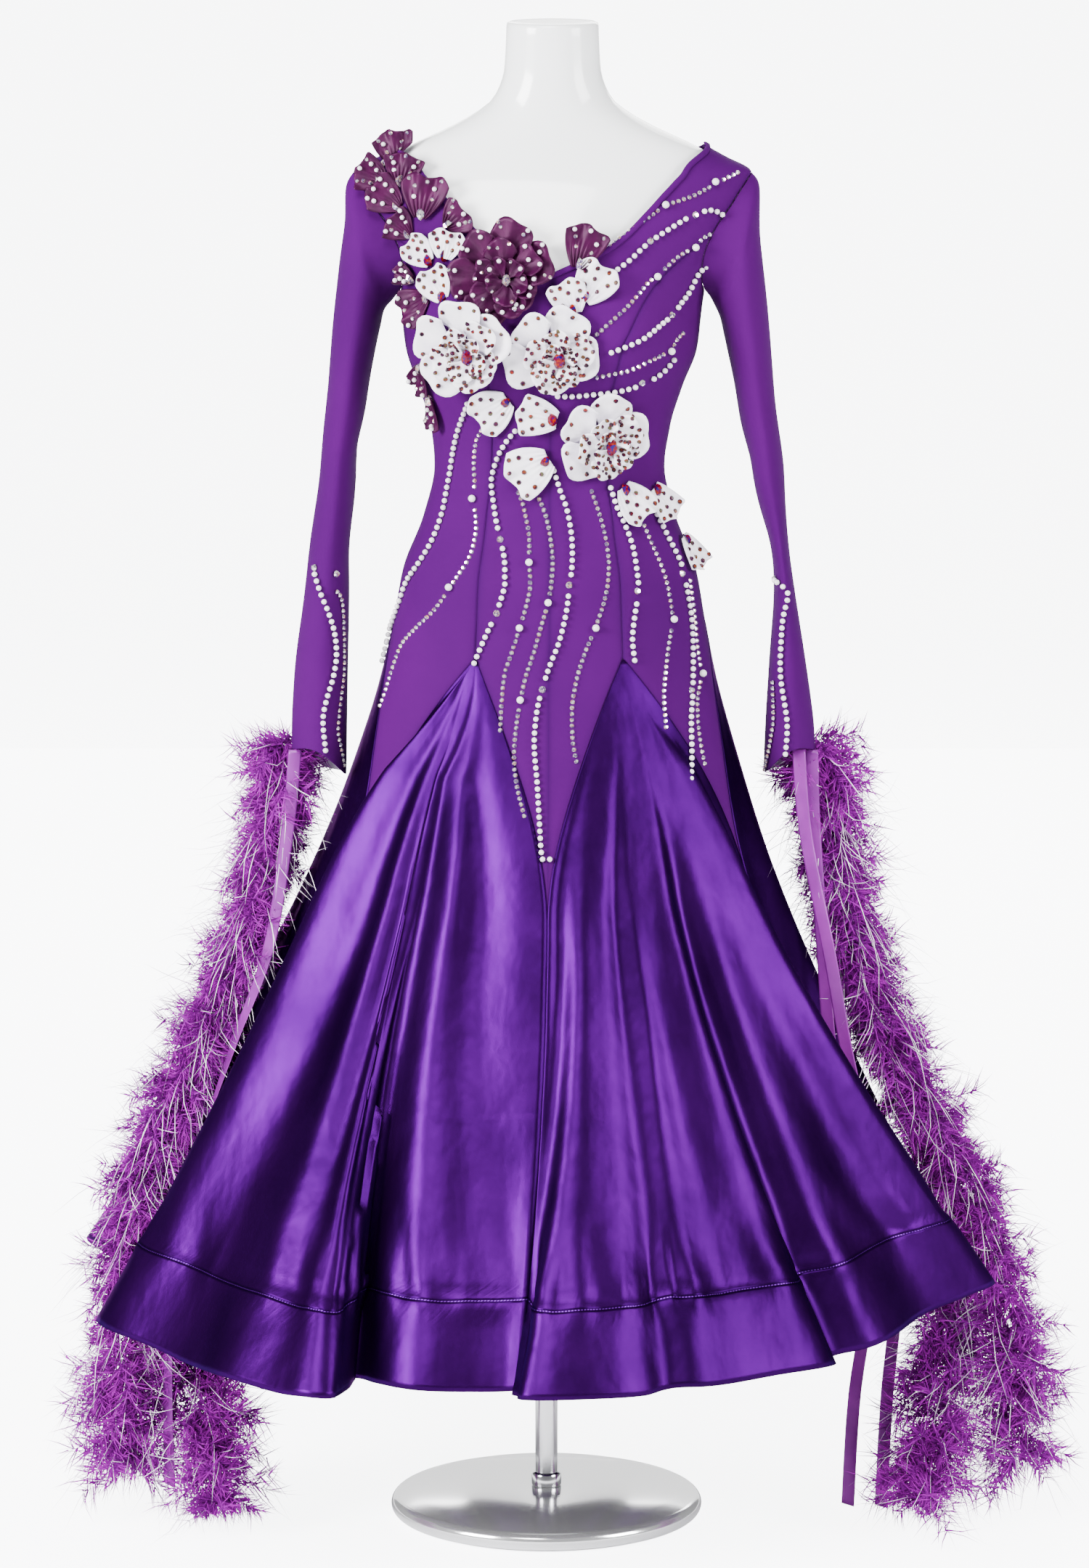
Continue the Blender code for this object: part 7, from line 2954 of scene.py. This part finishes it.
@dataclass
class SatinRibbons:
    """Three satin ribbons that hang from the cuffs.

    Attributes:
        width: Width of a ribbon.
        curl: How far its middle bows.
        rows: Grid steps along a ribbon.
    """

    width: float = 0.013
    curl: float = 0.0010
    rows: int = 160

    def build(self) -> list[Piece]:
        """Build the ribbons."""
        return [self.ribbon(name, route) for name, route in RIBBONS.items()]

    def ribbon(self, name: str, route: tuple[tuple[float, ...], ...]) -> Piece:
        """One ribbon along its route.

        Args:
            name: The ribbon's name.
            route: Places of its middle, each with its turn in degrees.

        Returns:
            The piece.
        """
        line = smooth_route(np.array(route, float), self.rows + 1)
        along = unit(np.gradient(line[:, :3], axis=0))
        turns = np.radians(line[:, 3])
        across = np.stack([np.cos(turns), np.sin(turns), 0.0 * turns], axis=1)
        normal = unit(np.cross(along, across))

        def place(u: Array, v: Array) -> Array:
            """Points of the ribbon.

            Args:
                u: Shares across.
                v: Shares along.

            Returns:
                The points.
            """
            i = np.rint(v * self.rows).astype(int)
            side = u - 0.5
            bow = self.curl * (1.0 - 4.0 * side * side) * np.sin(7.0 * v + 1.0)
            cut = 0.004 * side * clamped((v - 0.97) / 0.03)
            shifted = line[i, :3] + (side * self.width)[:, None] * across[i]
            return shifted + (bow - 0.0005)[:, None] * normal[i] + cut[:, None] * along[i]

        def behind(points: Array) -> Array:
            """Places behind the ribbon, near to some."""
            near = np.array([int(np.argmin(((line[:, :3] - p) ** 2).sum(1))) for p in points])
            return points + 0.01 * normal[near]

        piece = CLOTH.grid("ribbon_" + name, 8, self.rows, place, False, behind)
        CLOTH.wall(piece, RIBBON, thickness=0.0005)
        stand_for(piece, "ribbon", "ribbon_" + name)
        return piece


@dataclass
class DressForm:
    """The limbless torso, the chrome pole and the round base.

    Attributes:
        bottom: Height of the torso's bottom.
        cap: Height of the flat neck cap.
        clearance: Room between the torso and the cloth.
        sides: Steps round the torso.
        rows: Steps up the torso.
        base_radius: Radius of the base.
        base_top: Height of the base's top near its edge.
        rim: Radius of the base's rolled edge, and height of the roll's middle.
        pole_radius: Radius of the pole.
        strap_hollow: Height, spread and depth of the torso's hollow below the shoulders.
        cup_hollow: Depth of its hollow below each bust cup.
        foot_share: Share of its rows that close its bottom.
        cap_share: Share of its rows from which the neck cap closes it.
        cap_edge: Height of the cap's rounded edge, and its width as a share of the neck.
    """

    bottom: float = 0.820
    cap: float = 1.536
    clearance: float = 0.0034
    sides: int = 96
    rows: int = 110
    base_radius: float = 0.160
    base_top: float = 0.026
    rim: tuple[float, float] = (0.010, 0.012)
    pole_radius: float = 0.0115
    strap_hollow: tuple[float, float, float] = (1.372, 0.048, 0.0040)
    cup_hollow: float = 0.0030
    foot_share: float = 0.04
    cap_share: float = 0.92
    cap_edge: tuple[float, float] = (0.003, 0.10)

    def build(self) -> list[Piece]:
        """Build the torso and its stand."""
        return [self.torso(), self.base(), self.pole()]

    def torso(self) -> Piece:
        """The gloss white torso with a softened edge at its neck cap.

        Returns:
            The piece.
        """
        edge, edge_width = self.cap_edge
        top = self.cap - edge
        strap_height, strap_spread, strap_depth = self.strap_hollow
        cup_angle, cup_height, cup_spread, cup_tall, _swell = SURFACE.cup

        def place(u: Array, v: Array) -> Array:
            """Points of the torso, its bottom and its cap.

            Args:
                u: Shares round.
                v: Shares up.

            Returns:
                The points.
            """
            rows = (v - self.foot_share) / (self.cap_share - self.foot_share)
            height = self.bottom + (top - self.bottom) * clamped(rows)
            angle = (360.0 * u + 180.0) % 360.0 - 180.0
            strap = np.exp(-(((height - strap_height) / strap_spread) ** 4))
            level = ((height - cup_height) / cup_tall) ** 2
            cups = sum(np.exp(-(((angle - side * cup_angle) / cup_spread) ** 2) - level)
                       for side in (-1.0, 1.0))
            depth = self.clearance + strap_depth * strap + self.cup_hollow * cups
            point = SURFACE.outside(angle, height, -depth)
            lean = SURFACE.column("lean", height)
            axis = np.stack([lean, np.zeros(len(height)), height], axis=1)
            closing = clamped((v - self.cap_share) / (1.0 - self.cap_share))
            rounded = clamped(closing * 4.0)
            inner = clamped((closing - 0.25) / 0.75)
            capped = 1.0 - edge_width * rounded ** 2 - (1.0 - edge_width) * inner
            shrink = np.where(v < self.foot_share, v / self.foot_share, 1.0)
            shrink = np.where(v > self.cap_share, capped, shrink)
            point = axis + (point - axis) * shrink[:, None]
            point[:, 2] = np.where(v <= self.foot_share, self.bottom, point[:, 2])
            lift = edge * np.sin(0.5 * pi * rounded)
            point[:, 2] = np.where(v > self.cap_share, top + lift, point[:, 2])
            return point

        def inside(points: Array) -> Array:
            """Places on the torso's axis.

            Args:
                points: The points.

            Returns:
                The points.
            """
            return np.stack([
                np.zeros(len(points)), np.zeros(len(points)),
                np.clip(points[:, 2], self.bottom + 0.05, self.cap - 0.05)], axis=1)

        piece = CLOTH.grid("form_torso", self.sides, self.rows, place, True, inside)
        piece.data.materials.append(FORM.make())
        stand_for(piece, "form_gloss", "form_torso")
        return piece

    def spun(self, name: str, profile: list[tuple[float, float]], finish: Finish,
             steps: int) -> Piece:
        """A turned piece from a profile of radius and height, read from the top down.

        Args:
            name: The piece's name.
            profile: The radii and heights.
            finish: Its finish.
            steps: Steps round it.

        Returns:
            The piece.
        """
        work = bmesh.new()
        corners = [work.verts.new((radius, 0.0, height)) for radius, height in profile]
        edges = [work.edges.new(pair) for pair in zip(corners, corners[1:])]
        bmesh.ops.spin(
            work, geom=corners + edges, cent=(0.0, 0.0, 0.0), axis=(0.0, 0.0, 1.0),
            angle=2.0 * pi, steps=steps, use_merge=True, use_duplicate=False)
        bmesh.ops.remove_doubles(work, verts=work.verts, dist=1e-6)
        bmesh.ops.recalc_face_normals(work, faces=work.faces)
        mesh = mesh_of(work, name)
        mesh.shade_smooth()
        mesh.set_sharp_from_angle(angle=radians(38))
        mesh.materials.append(finish.make())
        piece = linked(name, mesh)
        stand_for(piece, "chrome", name)
        return piece

    def base(self) -> Piece:
        """The round base with a rolled edge.

        Returns:
            The piece.
        """
        edge, middle = self.rim
        profile = [
            (0.0, self.base_top + 0.004), (0.034, self.base_top + 0.0038),
            (0.060, self.base_top + 0.0026), (self.base_radius - 0.022, self.base_top),
        ]
        for step in range(17):
            turn = radians(90.0 - 11.25 * step)
            profile.append((self.base_radius - edge + edge * cos(turn),
                            middle + edge * sin(turn)))
        profile += [(self.base_radius - 0.014, 0.0), (0.0, 0.0)]
        return self.spun("stand_base", profile, BASE_METAL, 160)

    def pole(self) -> Piece:
        """The pole with its foot collar.

        Returns:
            The piece.
        """
        top = self.bottom - 0.0003
        foot = self.base_top + 0.0043
        collar = self.pole_radius + 0.004
        profile = [
            (0.0, top), (self.pole_radius, top), (self.pole_radius, foot + 0.014),
            (collar - 0.001, foot + 0.013), (collar, foot + 0.011), (collar, foot + 0.001),
            (collar - 0.001, foot), (0.0, foot),
        ]
        return self.spun("stand_pole", profile, CHROME, 64)


class Lamp(NamedTuple):
    """A square soft light: its place, its side and its power."""

    name: str
    place: tuple[float, float, float]
    side: float
    power: float


@dataclass
class Studio:
    """The pale floor, the soft lights and the world.

    Attributes:
        floor_size: Half size of the floor.
        lamps: The soft lights.
        aim: The gown's middle, at which they look.
        sun: Strength and spread in degrees of the light from the sky.
        sun_turn: Its turns in degrees.
        sky: Colour of the world.
        sky_strength: Strength of the world.
    """

    floor_size: float = 40.0
    lamps: tuple[Lamp, ...] = (
        Lamp("key", (-3.9, -2.9, 2.4), 2.0, 760.0), Lamp("fill", (4.0, -2.4, 2.2), 2.0, 330.0),
        Lamp("back", (0.5, 3.8, 3.2), 3.0, 200.0), Lamp("low_back", (0.0, 4.4, 1.4), 4.0, 75.0),
    )
    aim: tuple[float, float, float] = (0.0, 0.0, 0.8)
    sun: tuple[float, float] = (4.5, 30.0)
    sun_turn: tuple[float, float, float] = (38.0, -10.0, 0.0)
    sky: Colour = (0.94, 0.95, 0.97, 1.0)
    sky_strength: float = 0.26

    def build(self) -> None:
        """Make the floor, the lights and the world."""
        self.floor()
        for lamp in self.lamps:
            self.light(lamp)
        sun = linked("sky", bpy.data.lights.new("sky", "SUN"))
        sun.data.energy = self.sun[0]
        sun.data.angle = radians(self.sun[1])
        sun.rotation_euler = Euler([radians(turn) for turn in self.sun_turn])
        world = bpy.data.worlds.new("studio")
        world.use_nodes = True
        background = world.node_tree.nodes["Background"]
        background.inputs["Color"].default_value = self.sky
        background.inputs["Strength"].default_value = self.sky_strength
        bpy.context.scene.world = world

    def floor(self) -> None:
        """Lay a square of paper at the origin."""
        work = bmesh.new()
        bmesh.ops.create_grid(work, x_segments=8, y_segments=8, size=self.floor_size)
        mesh = mesh_of(work, "floor")
        mesh.materials.append(FLOOR_PAPER.make())
        linked("floor", mesh)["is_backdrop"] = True

    def light(self, lamp: Lamp) -> None:
        """Hang a soft light that looks at the gown's middle and doesn't show itself.

        Args:
            lamp: The light.
        """
        data = bpy.data.lights.new(lamp.name, "AREA")
        data.shape = "SQUARE"
        data.size = lamp.side
        data.energy = lamp.power
        light = linked(lamp.name, data)
        light.location = lamp.place
        light.visible_camera = False
        away = Vector(self.aim) - Vector(lamp.place)
        light.rotation_euler = away.to_track_quat("-Z", "Y").to_euler()


def report(group: str, pieces: list[Piece]) -> None:
    """Report each piece of a group.

    Args:
        group: The group's name.
        pieces: Its pieces.
    """
    for piece in pieces:
        LOG.info("%s: %s", group, piece.name)


def main() -> None:
    """Build the scene in order and report each piece."""
    logging.basicConfig(level=logging.INFO, format="%(message)s")
    CAMERA.make()
    Studio().build()
    jersey = JerseyBody()
    skirt = GodetSkirt()
    report("form and stand", DressForm().build())
    report("jersey", jersey.build())
    report("godets", skirt.build())
    report("flowers and petals", FlowerTrim().build())
    BeadWork(jersey).build()
    report("stones", STONES.build())
    report("boas", FeatherBoa().build(skirt))
    report("ribbons", SatinRibbons().build())
    [[list(corner) for corner in box] for box in (CAD_BOX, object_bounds())]


if __name__ == "__main__":
    main()
